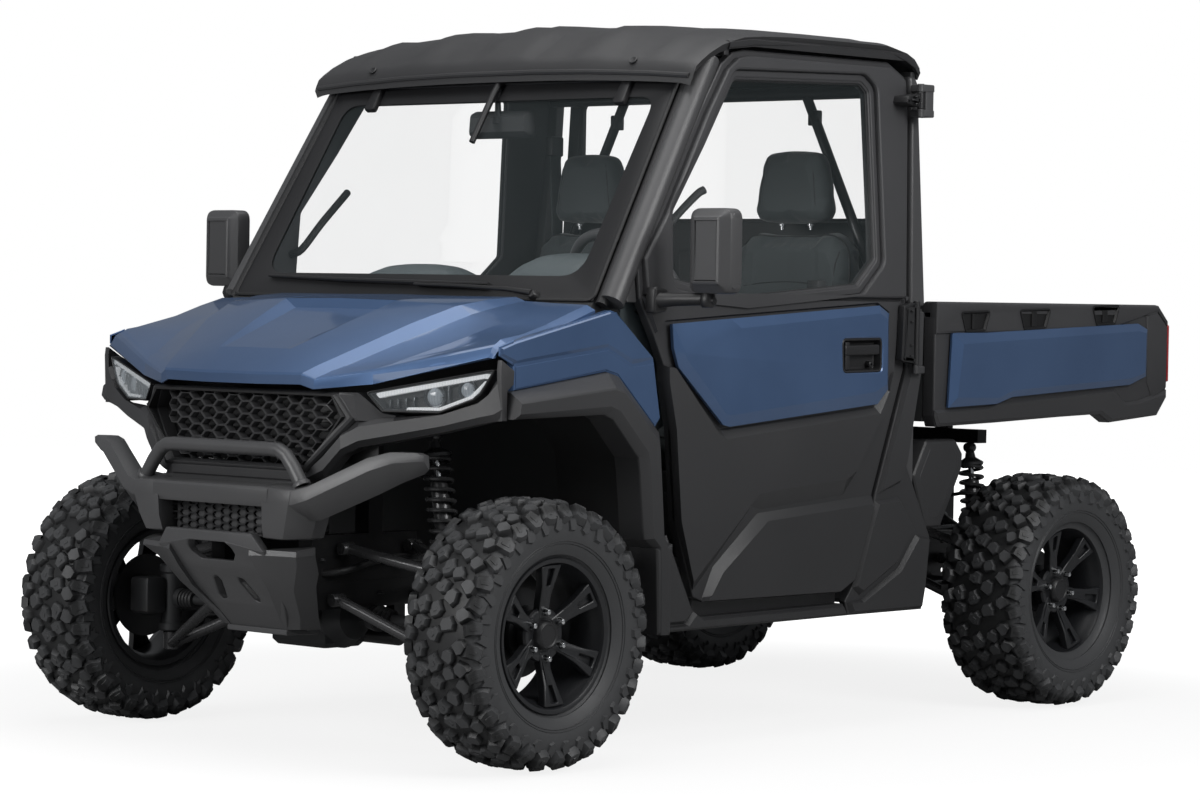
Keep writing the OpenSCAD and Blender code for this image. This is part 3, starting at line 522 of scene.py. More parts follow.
def settle(obj, body, finish, replaces=(), angle=34):
    if obj.modifiers:
        bpy.context.view_layer.update()
        plain = bpy.data.meshes.new_from_object(obj.evaluated_get(bpy.context.evaluated_depsgraph_get()))
        obj.modifiers.clear()
        obj.data = plain
    obj.data.polygons.foreach_set("use_smooth", [True] * len(obj.data.polygons))
    obj.data.set_sharp_from_angle(angle=math.radians(angle))
    obj.data.materials.clear()
    for f in finish if isinstance(finish, list) else [finish]:
        obj.data.materials.append(f)
    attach(obj, body)
    if replaces:
        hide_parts(*replaces)
    return obj


def cadFinish(finish, *names):
    for name in names:
        obj = nodes[name]
        if not obj.material_slots:
            obj.data.materials.append(finish)
        for s in obj.material_slots:
            s.material = finish


# geometry node trees

class Growth:  # a geometry node tree with named inputs, closed by Realize Instances and Set Material
    def __init__(self, name, **sizes):
        self.group = bpy.data.node_groups.new(name, "GeometryNodeTree")
        face = self.group.interface
        face.new_socket("Geometry", in_out="INPUT", socket_type="NodeSocketGeometry")
        for label, value in {**sizes, "Finish": None}.items():
            kind = "Material" if value is None else "Int" if isinstance(value,
                int) else "Vector" if isinstance(value, tuple) else "Float"
            socket = face.new_socket(label, in_out="INPUT", socket_type="NodeSocket" + kind)
            if value is not None:
                socket.default_value = value
        face.new_socket("Geometry", in_out="OUTPUT", socket_type="NodeSocketGeometry")
        self.begin = self.group.nodes.new("NodeGroupInput")
        self.end = self.group.nodes.new("NodeGroupOutput")

    def size(self, name):
        return Wire(self.group, self.begin.outputs[name])

    def node(self, kind, settings=None, inputs=None):
        return makeNode(self.group, kind, settings, inputs)

    def vector(self, x, y, z):
        return self.node("ShaderNodeCombineXYZ", None, {0: x, 1: y, 2: z})

    def vary(self, low, high, seed):
        made = self.node("FunctionNodeRandomValue", {"data_type": "FLOAT"},
            {2: low, 3: high, "Seed": self.size("Seed") + seed})
        return Wire(self.group, made.socket.node.outputs[1])

    def close(self, geometry):
        real = self.node("GeometryNodeRealizeInstances", None, {0: geometry})
        done = self.node("GeometryNodeSetMaterial", None, {"Geometry": real, "Material": self.size("Finish")})
        self.group.links.new(done.socket, self.end.inputs[0])
        return self

    def grown(self, shape, finish, **values):  # runs the tree on a shape and gives the result back as a shape
        mesh = bpy.data.meshes.new("seedShape")
        mesh.from_pydata(shape.verts, [], shape.faces)
        obj = bpy.data.objects.new("seedShape", mesh)
        bpy.context.scene.collection.objects.link(obj)
        modifier = obj.modifiers.new("grow", "NODES")
        modifier.node_group = self.group
        for item in self.group.interface.items_tree:
            if item.in_out == "INPUT" and item.name in values:
                modifier[item.identifier] = values[item.name]
            if item.in_out == "INPUT" and item.name == "Finish":
                modifier[item.identifier] = finish
        bpy.context.view_layer.update()
        plain = bpy.data.meshes.new_from_object(obj.evaluated_get(bpy.context.evaluated_depsgraph_get()))
        made = Shape().add([tuple(v.co) for v in plain.vertices], [tuple(p.vertices) for p in plain.polygons])
        bpy.data.objects.remove(obj)
        bpy.data.meshes.remove(plain)
        return made


def aroundTree():  # copies of a small shape round the x axis: blocks, nuts and bolts
    t = Growth("copies round an axle", Count=6, Radius=0.3, Across=0.0, Phase=0.0, Tilt=0.0, Twist=0.0,
        Loose=0.0, Swell=0.0, Seed=1)
    count = t.size("Count")
    index = t.node("GeometryNodeInputIndex")
    angle = index / count * (2 * math.pi) + t.size("Phase") + t.vary(-1.0, 1.0, 3) * t.size("Loose") * 0.25
    radius, across = t.size("Radius"), t.size("Across") + t.vary(-1.0, 1.0, 5) * t.size("Loose") * 0.02
    place = t.vector(across, angle.maths("SINE") * radius * -1.0, angle.maths("COSINE") * radius)
    points = t.node("GeometryNodePoints", None, {"Count": count, "Position": place})
    copies = t.node("GeometryNodeInstanceOnPoints", None,
        {"Points": points, "Instance": t.size("Geometry"), "Rotation": t.vector(angle, 0.0, 0.0),
        "Scale": t.vector(1.0 + t.vary(-1.0, 1.0, 7) * t.size("Swell"), 1.0 + t.vary(-1.0, 1.0,
        9) * t.size("Swell"), 1.0)})
    twist = t.size("Twist") * (index.maths("MODULO", 2.0) * 2.0 - 1.0) + t.vary(-1.0, 1.0,
        11) * t.size("Loose")
    tipped = t.node("GeometryNodeRotateInstances", None, {"Instances": copies, "Rotation": t.vector(0.0,
        t.size("Tilt"), 0.0), "Local Space": True})
    turned = t.node("GeometryNodeRotateInstances", None, {"Instances": tipped, "Rotation": t.vector(0.0,
        0.0, twist), "Local Space": True})
    return t.close(turned)


def springTree():  # a coil along z with closed ends
    t = Growth("coil spring", Turns=9.0, Radius=0.04, Height=0.3, Wire=0.005, Seed=1)
    coil = t.node("GeometryNodeCurveSpiral", None, {"Resolution": 20, "Rotations": t.size("Turns"),
        "Start Radius": t.size("Radius"), "End Radius": t.size("Radius"), "Height": t.size("Height")})
    ring = t.node("GeometryNodeCurvePrimitiveCircle", None, {"Resolution": 8, "Radius": t.size("Wire")})
    return t.close(t.node("GeometryNodeCurveToMesh", None, {"Curve": coil, "Profile Curve": ring,
        "Fill Caps": True}))


def latticeTree():  # cells on a staggered grid in the x z plane, kept inside a tapered outline
    t = Growth("staggered mesh", Columns=20, Rows=6, StepX=0.03, StepZ=0.02, Low=0.0, High=0.1,
        HalfLow=0.3, HalfHigh=0.3, Seed=1)
    columns, rows = t.size("Columns"), t.size("Rows")
    index = t.node("GeometryNodeInputIndex")
    row = (index / columns).maths("FLOOR")
    column = index - row * columns
    odd = row.maths("MODULO", 2.0)
    x = (column - (columns - 1.0) * 0.5 + odd * 0.5) * t.size("StepX")
    z = t.size("Low") + row * t.size("StepZ")
    points = t.node("GeometryNodePoints", None, {"Count": rows * columns, "Position": t.vector(x, 0.0, z)})
    share = (z - t.size("Low")) / (t.size("High") - t.size("Low"))
    half = t.size("HalfLow") + share * (t.size("HalfHigh") - t.size("HalfLow"))
    kept = t.node("GeometryNodeDeleteGeometry", {"domain": "POINT"},
        {"Geometry": points, "Selection": x.maths("ABSOLUTE") > half})
    return t.close(t.node("GeometryNodeInstanceOnPoints", None,
        {"Points": kept, "Instance": t.size("Geometry")}))


def boltTree():  # the seed shape copied onto listed points, each point carried as a vertex of the seed
    t = Growth("bolt heads", Radius=0.008, Height=0.005, Sides=6, Seed=1)
    head = t.node("GeometryNodeMeshCylinder", {"fill_type": "NGON"}, {"Vertices": t.size("Sides"),
        "Radius": t.size("Radius"), "Depth": t.size("Height")})
    washer = t.node("GeometryNodeMeshCylinder", {"fill_type": "NGON"},
        {"Vertices": 16, "Radius": t.size("Radius") * 1.35, "Depth": t.size("Height") * 0.4})
    lowered = t.node("GeometryNodeTransform", None, {"Geometry": washer, "Translation": t.vector(0.0, 0.0,
        t.size("Height") * -0.4)})
    joined = t.node("GeometryNodeJoinGeometry", None, {})
    for part in (head, lowered):
        t.group.links.new(part.socket, joined.socket.node.inputs[0])
    normal = t.node("GeometryNodeInputNormal")
    facing = t.node("FunctionNodeAlignRotationToVector", {"axis": "Z"}, {"Vector": normal})
    points = t.node("GeometryNodeMeshToPoints", {"mode": "FACES"}, {"Mesh": t.size("Geometry")})
    return t.close(t.node("GeometryNodeInstanceOnPoints", None, {"Points": points, "Instance": joined,
        "Rotation": facing}))


around, coilSpring, lattice, boltHeads = aroundTree(), springTree(), latticeTree(), boltTree()


def boltSeed(places):  # tiny triangles whose normals say which way each bolt head faces
    made = Shape()
    for place, facing in places:
        n = Vector(facing).normalized()
        a = n.orthogonal().normalized() * 0.001
        b = n.cross(a)
        p = Vector(place)
        made.add([p + a, p - a * 0.5 + b * 0.87, p - a * 0.5 - b * 0.87], [(0, 1, 2)])
    return made


def bolts(name, places, body, finish, radius=0.008, height=0.005, sides=6):
    made = boltHeads.grown(boltSeed(places), finish, Radius=radius, Height=height, Sides=sides)
    return piece(name, made, body, finish, angle=30)


print("node trees made")

# wheels: x runs along the axle, outwards

treadSizes = {"top": 0.0155, "pitches": 34, "seed": 11}
rimSizes = {"lip": 0.0955, "radius": 0.195, "hubRadius": 0.066, "nutCircle": 0.0585, "capRadius": 0.037,
    "spokes": 6}


def treadBlock(points, height, taper=0.0035, notch=None):
    made, outline = Shape(), anticlockwise(points)
    rings = [[(u, v, -0.006) for u, v in inset(outline, -0.003)],
        [(u, v, height - 0.003) for u, v in inset(outline, taper * 0.5)],
        [(u, v, height) for u, v in inset(outline, taper)]]
    made.loft(rings)
    if notch:
        made.loft([[(u, v, height - 0.001) for u, v in notch],
            [(u, v, height + 0.0016) for u, v in inset(notch, 0.0012)]])
    return made


def treadBlocks():
    return {"arrow": treadBlock([(-.020, -.017), (.004, -.021), (.021, -.012), (.017, .009), (.019, .019),
        (-.006, .021), (-.014, .007), (-.022, .003)], treadSizes["top"], notch=[(-.008, -.006),
        (.006, -.008), (.008, .004), (-.005, .005)]), "wedge": treadBlock([(-.019, -.015), (.013, -.019),
        (.020, -.004), (.012, .018), (-.010, .019), (-.021, .006)], treadSizes["top"]),
        "shoulder": treadBlock([(-.024, -.016), (.016, -.020), (.024, -.008), (.022, .014), (.004, .020),
        (-.022, .015)], 0.014, notch=[(-.012, -.005), (.008, -.006), (.008, .004), (-.012, .005)]),
        "side": treadBlock([(-.020, -.010), (.016, -.015), (.020, .002), (.010, .013), (-.018, .012),
        (-.012, .001)], 0.0055, 0.002),}


def tyreShape(width):
    half, blocks, n = width / 2, treadBlocks(), treadSizes["pitches"]
    wall = [(-.72, .183), (-.76, .199), (-.80, .2035), (-.84, .203), (-.93, .222), (-.985, .245),
        (-.995, .262), (-.985, .280), (-.945, .297), (-.86, .311), (-.70, .3185), (-.45, .3225),
        (-.2, .324)]
    profile = [(a * half, r) for a, r in wall] + [(-a * half, r)
        for a, r in reversed(wall)] + [(.5 * half, .186), (-.5 * half, .186)]
    made = Shape().lathe(profile, (0, 0, 0), sides=112, closed=True)
    for x, r in ((-.952, .2295), (.952, .2295), (-.965, .236), (.965, .236)):
        made.lathe([(x * half - .002, r - .001), (x * half, r - .0028 if x < 0 else r + .0028),
            (x * half + .002, r + .001)], (0, 0, 0), sides=64, closed=True)
    rows = [("arrow", 0, .3228, 0, 0, .5), ("wedge", .37, .3222, .10, .5, .35),
        ("arrow", -.37, .3222, -.10, .5, 2.6), ("wedge", .70, .3185, .30, .1, .9),
        ("wedge", -.70, .3185, -.30, .1, 2.2), ("shoulder", .905, .3045, .92, .6, .25),
        ("shoulder", -.905, .3045, -.92, .6, .25), ("side", .978, .2800, 1.38, .1, .3),
        ("side", -.978, .2800, -1.38, .1, .3)]
    for k, (kind, across, radius, tilt, phase, twist) in enumerate(rows):
        row = around.grown(blocks[kind], tyreRubber, Count=n, Radius=radius, Across=across * half,
            Tilt=tilt, Phase=phase * 2 * math.pi / n, Twist=twist,
            Loose=0.0 if kind in ("shoulder", "side") else 0.22, Swell=0.12, Seed=treadSizes["seed"] + k)
        made.merge(row)
    return made


def spokeShape(turn):
    dish = lambda r: -0.036 + 0.030 * min(1.0, max(0.0, (r - 0.055) / 0.10)) ** 1.4
    outline = rounded([(.040, -.019), (.085, -.0175), (.125, -.0225), (.1755, -.036), (.1765, 0),
        (.1755, .036), (.125, .0225), (.085, .0175), (.040, .019)], .004, 3)
    slot = rounded([(.124, -.0065), (.167, -.0125), (.167, .0125), (.124, .0065)], .003, 2)
    made = Shape().slab(outline, -.024, 0, [slot], edge=.004, back=.002, steps=3,
        bend=lambda p: (p[0] + dish(p[1]), p[1], p[2]))
    made.slab(inset(slot, -.001), -.024, -.013, edge=.001, bend=lambda p: (p[0] + dish(p[1]), p[1], p[2]))
    c, s = math.cos(turn), math.sin(turn)
    return made.bent(lambda p: (p[0] + rimSizes["lip"] - .002, p[1] * c - p[2] * s, p[1] * s + p[2] * c))


def rimShape():
    lip, R = rimSizes["lip"], rimSizes["radius"]
    barrel = [(lip, R - .006), (lip, R - .002), (lip - .004, R), (lip - .008, R - .002),
        (lip - .010, R - .011), (lip - .030, R - .013), (lip - .045, R - .026), (-lip + .03, R - .026),
        (-lip + .012, R - .012), (-lip + .008, R - .003), (-lip + .003, R - .002), (-lip, R - .006),
        (-lip + .002, R - .020), (-lip + .03, R - .034), (lip - .050, R - .034), (lip - .030, R - .022),
        (lip - .012, R - .017), (lip - .003, R - .013)]
    made = Shape().lathe(barrel, (0, 0, 0), sides=96, closed=True)
    for k in range(rimSizes["spokes"]):
        made.merge(spokeShape(math.pi / 2 + k * 2 * math.pi / rimSizes["spokes"]))
    hub, face = rimSizes["hubRadius"], lip - .040
    made.lathe([(face - .034, .02), (face - .034, hub - .004), (face - .006, hub + .004), (face, hub),
        (face + .002, hub - .006), (face + .001, .052), (face, .03), (face, .001)], (0, 0, 0), sides=48)
    return made


def capShape():
    face, r = rimSizes["lip"] - .040, rimSizes["capRadius"]
    ring = [(face - .004, r + .002), (face + .006, r + .001), (face + .016, r - .003),
        (face + .019, r - .007), (face + .0185, r - .010), (face + .0165, r - .012), (face + .017, .010),
        (face + .017, .0006)]
    return Shape().lathe([(face - .004, .0006)] + ring, (0, 0, 0), sides=40)


def nutShapes():
    nut = Shape().lathe([(-.004, .0105), (.010, .0105), (.016, .0085), (.021, .0065), (.0225, .003),
        (.0226, .0003)], (0, 0, 0), axis=(1, 0, 0), sides=12)
    return around.grown(nut, chrome, Count=6, Radius=rimSizes["nutCircle"], Across=rimSizes["lip"] - .040,
        Phase=0.0)


def brakeShape():
    disc = Shape().lathe([(-.030, .050), (-.030, .112), (-.0255, .113), (-.0255, .049)], (0, 0, 0),
        sides=64, closed=True)
    disc.lathe([(-.075, .012), (-.075, .052), (-.020, .055), (-.012, .045), (-.012, .012)], (0, 0, 0),
        sides=32, closed=True)
    return disc


tyreShapes = {"front": tyreShape(0.235), "rear": tyreShape(0.265)}
rim, cap, nuts, brake = rimShape(), capShape(), nutShapes(), brakeShape()
for end in ("front", "rear"):
    for side in ("left", "right"):
        where = end + "_" + side
        body = "wheel_" + where
        low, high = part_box("rim_" + where)
        centre = Vector(((low[0] + high[0]) / 2, middle("tyre_" + where, 1) - axleY, tyreRadius))
        flip = Matrix.Diagonal((-1 if side == "right" else 1, 1, 1, 1))
        turn = Matrix.Rotation({"front_left": 0.05, "front_right": 0.4, "rear_left": 0.32,
            "rear_right": 0.2}[where], 4, "X")
        place = Matrix.Translation(centre) @ flip @ turn
        piece("tyre_tread_" + where, Shape().merge(tyreShapes[end], place), body, tyreRubber,
            ["tyre_" + where], angle=40)
        piece("alloy_rim_" + where, Shape().merge(rim, place), body, rimBlack, ["rim_" + where],
            angle=32)
        piece("hub_cap_" + where, Shape().merge(cap, place), body, blackPlastic, angle=40)
        piece("lug_nuts_" + where, Shape().merge(nuts, place), body, chrome, angle=40)
        piece("brake_disc_" + where, Shape().merge(brake, place), body, castSteel, angle=40)
print("wheels made")


# doors, drawn for the left and mirrored for the right

doorSizes = {"inner": cabHalf - 0.046, "skin": cabHalf - 0.018, "face": cabHalf - 0.0015,
    "insertRim": 0.0015, "insertCrest": 0.0118}
doorLower = [(cabFront + .139, beltZ + .004), (cabFront + .198, 1.082), (cabFront + .238, 1.007),
    (cabFront + .239, .963), (cabFront + .271, .838), (cabFront + .296, .599), (cabFront + .369, .399),
    (cabFront + .407, .385), (cabBack - .366, .382), (cabBack - .304, .413), (cabBack - .222, .609),
    (cabBack - .213, .650), (doorBack - .006, .990), (doorBack, beltZ + .004)]
doorUpper = [(cabFront + .139, beltZ), (cabFront + .133, 1.286), (cabFront + .225, 1.406),
    (cabFront + .400, 1.678), (cabFront + .489, 1.801), (cabFront + .541, 1.836),
    (cabFront + .590, 1.845), (cabBack - .126, 1.848), (doorBack + .028, 1.808), (doorBack + .032, 1.700),
    (doorBack, beltZ)]
doorWindow = [(cabFront + .540, 1.768, .03), (cabBack - .250, 1.785, .03), (cabBack - .217, 1.761, .02),
    (cabBack - .208, 1.293, .025), (cabBack - .294, 1.220, .02), (cabFront + .555, 1.182, .01),
    (cabFront + .271, 1.225, .02), (cabFront + .276, 1.408, .03), (cabFront + .410, 1.584, .02)]
insertRim = [(.513, 1.113), (.745, 1.128), (1.380, 1.168), (1.424, 1.146), (1.426, .937), (1.380, .896),
    (.749, .843), (.724, .848), (.540, 1.001), (.520, 1.050)]
insertCrest = [(.556, 1.040), (.778, 1.103), (1.372, 1.146), (1.406, 1.130), (1.408, .952), (1.352, .930),
    (.740, .874), (.722, .878), (.562, 1.022), (.556, 1.032)]
handleHole = rounded([(1.212, .982), (1.384, .985), (1.384, 1.080), (1.206, 1.077)], .018, 5)


def doorSkin():
    d = doorSizes
    made = Shape()
    made.slab(rounded(doorLower, .006, 2), d["inner"], d["skin"], [handleHole], edge=.004, back=.003)
    face, low = d["face"], d["skin"] - .001
    upperTop = [(.508, 1.000), (.509, .964), (.540, .839), (.565, .601), (.618, .440), (.882, .662),
        (.938, .669), (1.254, .692), (1.297, .714), (1.420, .880), (1.452, .985), (1.436, .930),
        (1.397, .869), (.740, .811), (.708, .828), (.534, .998)]
    upperLow = [(.503, 1.006), (.504, .963), (.536, .838), (.561, .599), (.632, .415), (.865, .627),
        (.902, .617), (1.255, .645), (1.308, .702), (1.436, .872), (1.470, .985), (1.424, .945),
        (1.385, .890), (.730, .838), (.696, .850), (.520, 1.006)]
    made.plate([[(low - .01, upperLow), (low, upperLow), (face, upperTop)]])
    lowerTop = [(.690, .400), (.736, .460), (.917, .589), (1.362, .620), (1.376, .612), (1.294, .415),
        (1.234, .386), (.676, .388)]
    lowerLow = [(.668, .396), (.710, .476), (.890, .611), (1.362, .645), (1.385, .642), (1.299, .411),
        (1.235, .381), (.672, .384)]
    made.plate([[(low - .01, lowerLow), (low, lowerLow), (face + .001, lowerTop)]])
    belt = [(.412, 1.1835), (.466, 1.086), (.500, 1.117), (.740, 1.132), (1.384, 1.1712), (1.432, 1.148),
        (1.434, .94), (1.468, .99), (1.492, 1.1835)]
    made.plate([[(low - .008, belt), (low, belt), (low + .010, inset(belt, .005))]])
    return made


def doorFrame():
    d = doorSizes
    window = rounded([p for p in doorWindow], .02, 4)
    made = Shape().slab(rounded(doorUpper, .012, 3), d["inner"], d["skin"], [inset(window, .006)],
        edge=.005, back=.003, bend=lean)
    raisedOuter = inset(rounded(doorUpper, .02, 4), .017)
    raisedOuter = [(y, max(z, beltZ + .012)) for y, z in raisedOuter]
    made.slab(raisedOuter, d["skin"] - .006, d["face"] + .001, [inset(window, -.020)], edge=.006, back=0,
        bend=lean)
    made.slab(inset(window, -.019), d["skin"] - .008, d["skin"] + .0035, [window], edge=.0015, back=0,
        bend=lean, holeEdge=.005)
    return made


def doorHinges():
    x, y = cabHalf + .012, cabBack - .066
    made = Shape()
    for low, high in ((1.003, 1.182), (1.716, 1.762)):
        mid = (low + high) / 2
        shift = (lean((cabHalf, 0, mid))[0] - cabHalf) if mid > beltZ else 0
        made.lathe([(0, .0002), (0, .0085), (.002, .0098), (high - low - .002, .0098),
            (high - low, .0085), (high - low, .0002)], (x, y, low), axis=(0, 0, 1), sides=20)
        leaf = rounded([(y - .066, low + .012), (y - .004, low + .004), (y - .004, high - .004),
            (y - .058, high - .012)], .008, 3)
        made.slab(leaf, cabHalf + shift - .006, x + .002, edge=.003, back=0)
        made.slab(inset(leaf, .010), x, x + .0065, edge=.003, back=0)
    return made


def hingeBolts():
    y, x = cabBack - .066, cabHalf + .0195
    return [((x, y - .030, z), (1, 0, 0))
        for z in (1.030, 1.060, 1.125, 1.155, 1.729, 1.749)] + [((x, y - .046, 1.739), (1, 0, 0))]


def mirrorParts():
    head, arm, pane = Shape(), Shape(), Shape()
    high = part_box("mirror_left")[1]
    x0, x1, z0, z1 = cabHalf + .104, high.x, beltZ + .020, high.z
    y = cabFront + .187
    box = rounded([(x0, z0), (x1, z0), (x1, z1), (x0, z1)], .030, 6)
    rings = [(y + .046, inset(box, .006)), (y + .049, inset(box, .002)), (y + .046, box), (y + .010, box),
        (y + .004, inset(box, .002)), (y - .008, inset(box, .016)), (y - .012, inset(box, .021)),
        (y - .016, inset(box, .024)), (y - .0175, inset(box, .028)), (y - .0178, inset(box, .031)),
        (y - .0145, inset(box, .033)), (y - .0145, inset(box, .035))]
    head.plate([rings], axis="y")
    band = rounded([(y + .012, z0 + .012), (y + .042, z0 + .012), (y + .042, z1 - .012),
        (y + .012, z1 - .012)], .010, 3)
    head.slab(band, x1 - .006, x1 - .0005, edge=.002, back=0)
    pane.slab(inset(box, .012), y + .046, y + .0515, edge=.002, back=0, axis="y")
    base = rounded([(cabFront + .146, beltZ - .034), (cabFront + .200, beltZ - .028),
        (cabFront + .204, beltZ + .030), (cabFront + .150, beltZ + .038)], .010, 3)
    arm.slab(base, cabHalf - .004, cabHalf + .026, edge=.008, back=0, steps=3)
    arm.tube([(cabHalf + .018, cabFront + .168, beltZ + .002),
        (cabHalf + .060, cabFront + .186, beltZ + .004), (x0 + .048, y + .018, beltZ + .006)],
        [.0165, .0140, .0125], sides=14, flat=1.25)
    arm.lathe([(-.018, .004), (-.017, .015), (-.010, .0195), (.004, .021), (.016, .018), (.022, .013),
        (.030, .012), (.040, .012)], (x0 + .050, y + .020, beltZ + .002), axis=(0, 0, 1), sides=20)
    arm.lathe([(-.024, .002), (-.023, .009), (.023, .009), (.024, .002)],
        (x0 + .050, y + .020, beltZ + .002), axis=(1, 0, 0), sides=14)
    return head, arm, pane


def makeDoors():
    d = doorSizes
    skin, window = doorSkin().merge(doorFrame()), rounded(doorWindow, .02, 4)
    rimX, crestX = cabHalf + d["insertRim"], cabHalf + d["insertCrest"]
    insert = Shape().plate([[(cabHalf - .010, inset(anticlockwise(insertRim), .001)),
        (rimX - .001, anticlockwise(insertRim)), (rimX, inset(anticlockwise(insertRim), .001)),
        (crestX, anticlockwise(insertCrest))], [(cabHalf - .010, handleHole), (rimX - .001, handleHole),
        (crestX - .002, handleHole), (crestX, inset(handleHole, -.003))]])
    cup = Shape().plate([[(cabHalf - .022, inset(handleHole, -.002)),
        (cabHalf - .008, inset(handleHole, -.002)), (crestX - .003, inset(handleHole, .0005)),
        (crestX - .001, inset(handleHole, .003)), (crestX - .002, inset(handleHole, .006)),
        (cabHalf - .012, inset(handleHole, .010)), (cabHalf - .014, inset(handleHole, .014))]])
    paddle = rounded([(1.222, 1.030), (1.374, 1.033), (1.374, 1.061), (1.222, 1.058)], .006, 3)
    cup.slab(paddle, cabHalf - .014, crestX - .0015, edge=.005, back=0, steps=3)
    cup.brick(cabHalf - .014, crestX - .005, 1.226, 1.246, .990, 1.068, .004)
    cup.lathe([(0, .0002), (0, .009), (.016, .009), (.018, .007), (.018, .0035), (.012, .0028),
        (.012, .0002)], (cabHalf - .014, 1.345, 1.006), sides=20)
    pane = Shape().slab(inset(window, -.006), d["inner"] + .018, d["inner"] + .023, edge=.0005,
        back=.0005, bend=lean)
    seal = Shape().slab(inset(window, -.007), d["inner"] + .010, d["skin"] - .006, [inset(window, .010)],
        edge=.003, back=.002, bend=lean, steps=2)
    lining = Shape().slab(inset(rounded(doorLower, .01, 2), .03), d["inner"] - .007, d["inner"] + .002,
        edge=.001, back=.004)
    lining.brick(d["inner"] - .040, d["inner"] - .004, .95, 1.30, .955, 1.000, .010)
    lining.tube([(d["inner"] - .006, .515, 1.285), (d["inner"] - .036, .530, 1.300),
        (d["inner"] - .042, .60, 1.375), (d["inner"] - .034, .690, 1.450),
        (d["inner"] - .026, .715, 1.466)], .011, sides=10, smooth=4)
    lining.brick(d["inner"] - .052, d["inner"] - .012, 1.180, 1.222, 1.20, 1.235, .006)
    hinges = doorHinges()
    head, arm, mirrorPane = mirrorParts()
    for side in ("left", "right"):
        body = "door_" + side
        turn = (lambda s: s) if side == "left" else (lambda s: s.flipped())
        piece("door_shell_" + side, turn(skin), body, greyPlastic, ["door_" + side], angle=20)
        piece("door_insert_" + side, turn(insert), body, paint, ["door_panel_" + side],
            angle=12)
        piece("door_handle_" + side, turn(cup), body, blackPlastic, angle=30)
        piece("door_window_" + side, turn(pane), body, glassClear, ["door_glass_" + side])
        piece("door_seal_" + side, turn(seal), body, softBlack, angle=30)
        piece("door_lining_" + side, turn(lining), body, softBlack, angle=30)
        piece("door_hinges_" + side, turn(hinges), body, blackPlastic, angle=30)
        sign = 1 if side == "left" else -1
        bolts("hinge_bolts_" + side, [((sign * x, y, z), (sign * a, b, c))
            for (x, y, z), (a, b, c) in hingeBolts()], body, blackPlastic, .0055, .003)
        piece("mirror_head_" + side, turn(head), body, satinGrey, ["mirror_" + side],
            angle=28)
        piece("mirror_arm_" + side, turn(arm), body, blackPlastic, angle=35)
        piece("mirror_pane_" + side, turn(mirrorPane), body, mirrorGlass, angle=30)


makeDoors()
print("doors made")


# hood, fenders and flares

hoodSizes = {"thick": 0.007, "side": 0.7235, "corner": 0.711}


def hoodSkin():
    side, corner = hoodSizes["side"], hoodSizes["corner"]
    rows = [[(0, -.344, .946), (.06, -.344, .946), (.10, -.3435, .946), (.250, -.331, .948),
        (.286, -.321, .937), (.43, -.256, .953), (corner, -.134, 1.026), (side, -.128, 1.024)],
        [(0, -.348, .970), (.06, -.348, .970), (.10, -.3475, .970), (.2575, -.335, .972),
        (.289, -.320, .961), (.43, -.253, .985), (corner, -.117, 1.052), (side, -.112, 1.042)],
        [(0, -.342, .977), (.06, -.342, .977), (.10, -.3415, .977), (.2595, -.331, .978),
        (.2905, -.314, .966), (.432, -.244, .992), (.708, -.108, 1.058), (side, -.103, 1.046)],
        [(0, -.300, 1.006), (.06, -.300, 1.006), (.115, -.299, 1.006), (.280, -.294, .999),
        (.311, -.280, .984), (.455, -.215, 1.003), (.706, -.096, 1.063), (side, -.092, 1.051)],
        [(0, -.257, 1.036), (.118, -.257, 1.0355), (.135, -.257, 1.0355), (.301, -.250, 1.020),
        (.331, -.240, 1.000), (.465, -.18, 1.016), (.704, -.082, 1.071), (side, -.078, 1.059)],
        [(0, -.074, 1.100), (.142, -.074, 1.100), (.182, -.074, 1.114), (.386, -.074, 1.106),
        (.420, -.070, 1.080), (.53, -.045, 1.068), (.701, .000, 1.084), (side, .0, 1.074)],
        [(0, .034, 1.139), (.160, .034, 1.138), (.209, .040, 1.160), (.424, .045, 1.150),
        (.458, .050, 1.124), (.56, .062, 1.108), (.698, .085, 1.107), (side, .085, 1.095)],
        [(0, .047, 1.165), (.212, .047, 1.162), (.219, .055, 1.164), (.427, .058, 1.153),
        (.461, .062, 1.129), (.562, .076, 1.113), (.697, .10, 1.112), (side, .10, 1.099)],
        [(0, .150, 1.173), (.215, .150, 1.171), (.230, .150, 1.171), (.436, .150, 1.168),
        (.470, .150, 1.150), (.57, .16, 1.140), (.694, .175, 1.137), (.7215, .175, 1.123)],
        [(0, .250, 1.178), (.215, .250, 1.176), (.235, .250, 1.176), (.440, .250, 1.176),
        (.472, .250, 1.166), (.57, .25, 1.162), (.688, .250, 1.159), (.7165, .250, 1.146)]]
    full = [[(-x, y, z) for x, y, z in reversed(r[1:])] + r for r in rows]
    t = hoodSizes["thick"]
    rings = [row + [(x, y + (t if k < 2 else 0), z - (t if k > 1 else 0)) for x, y, z in reversed(row)]
        for k, row in enumerate(full)]
    made = Shape().loft(rings)
    for s in (-1, 1):
        x0, x1 = (.300, .340) if s > 0 else (-.340, -.300)
        made.lathe([(0, .0002), (0, .006), (.040, .006), (.040, .0002)], (x0, cabFront + .002, 1.164),
            sides=16)
        made.brick(x0, x1, .245, cabFront + .002, 1.159, 1.172, .002)
    return made


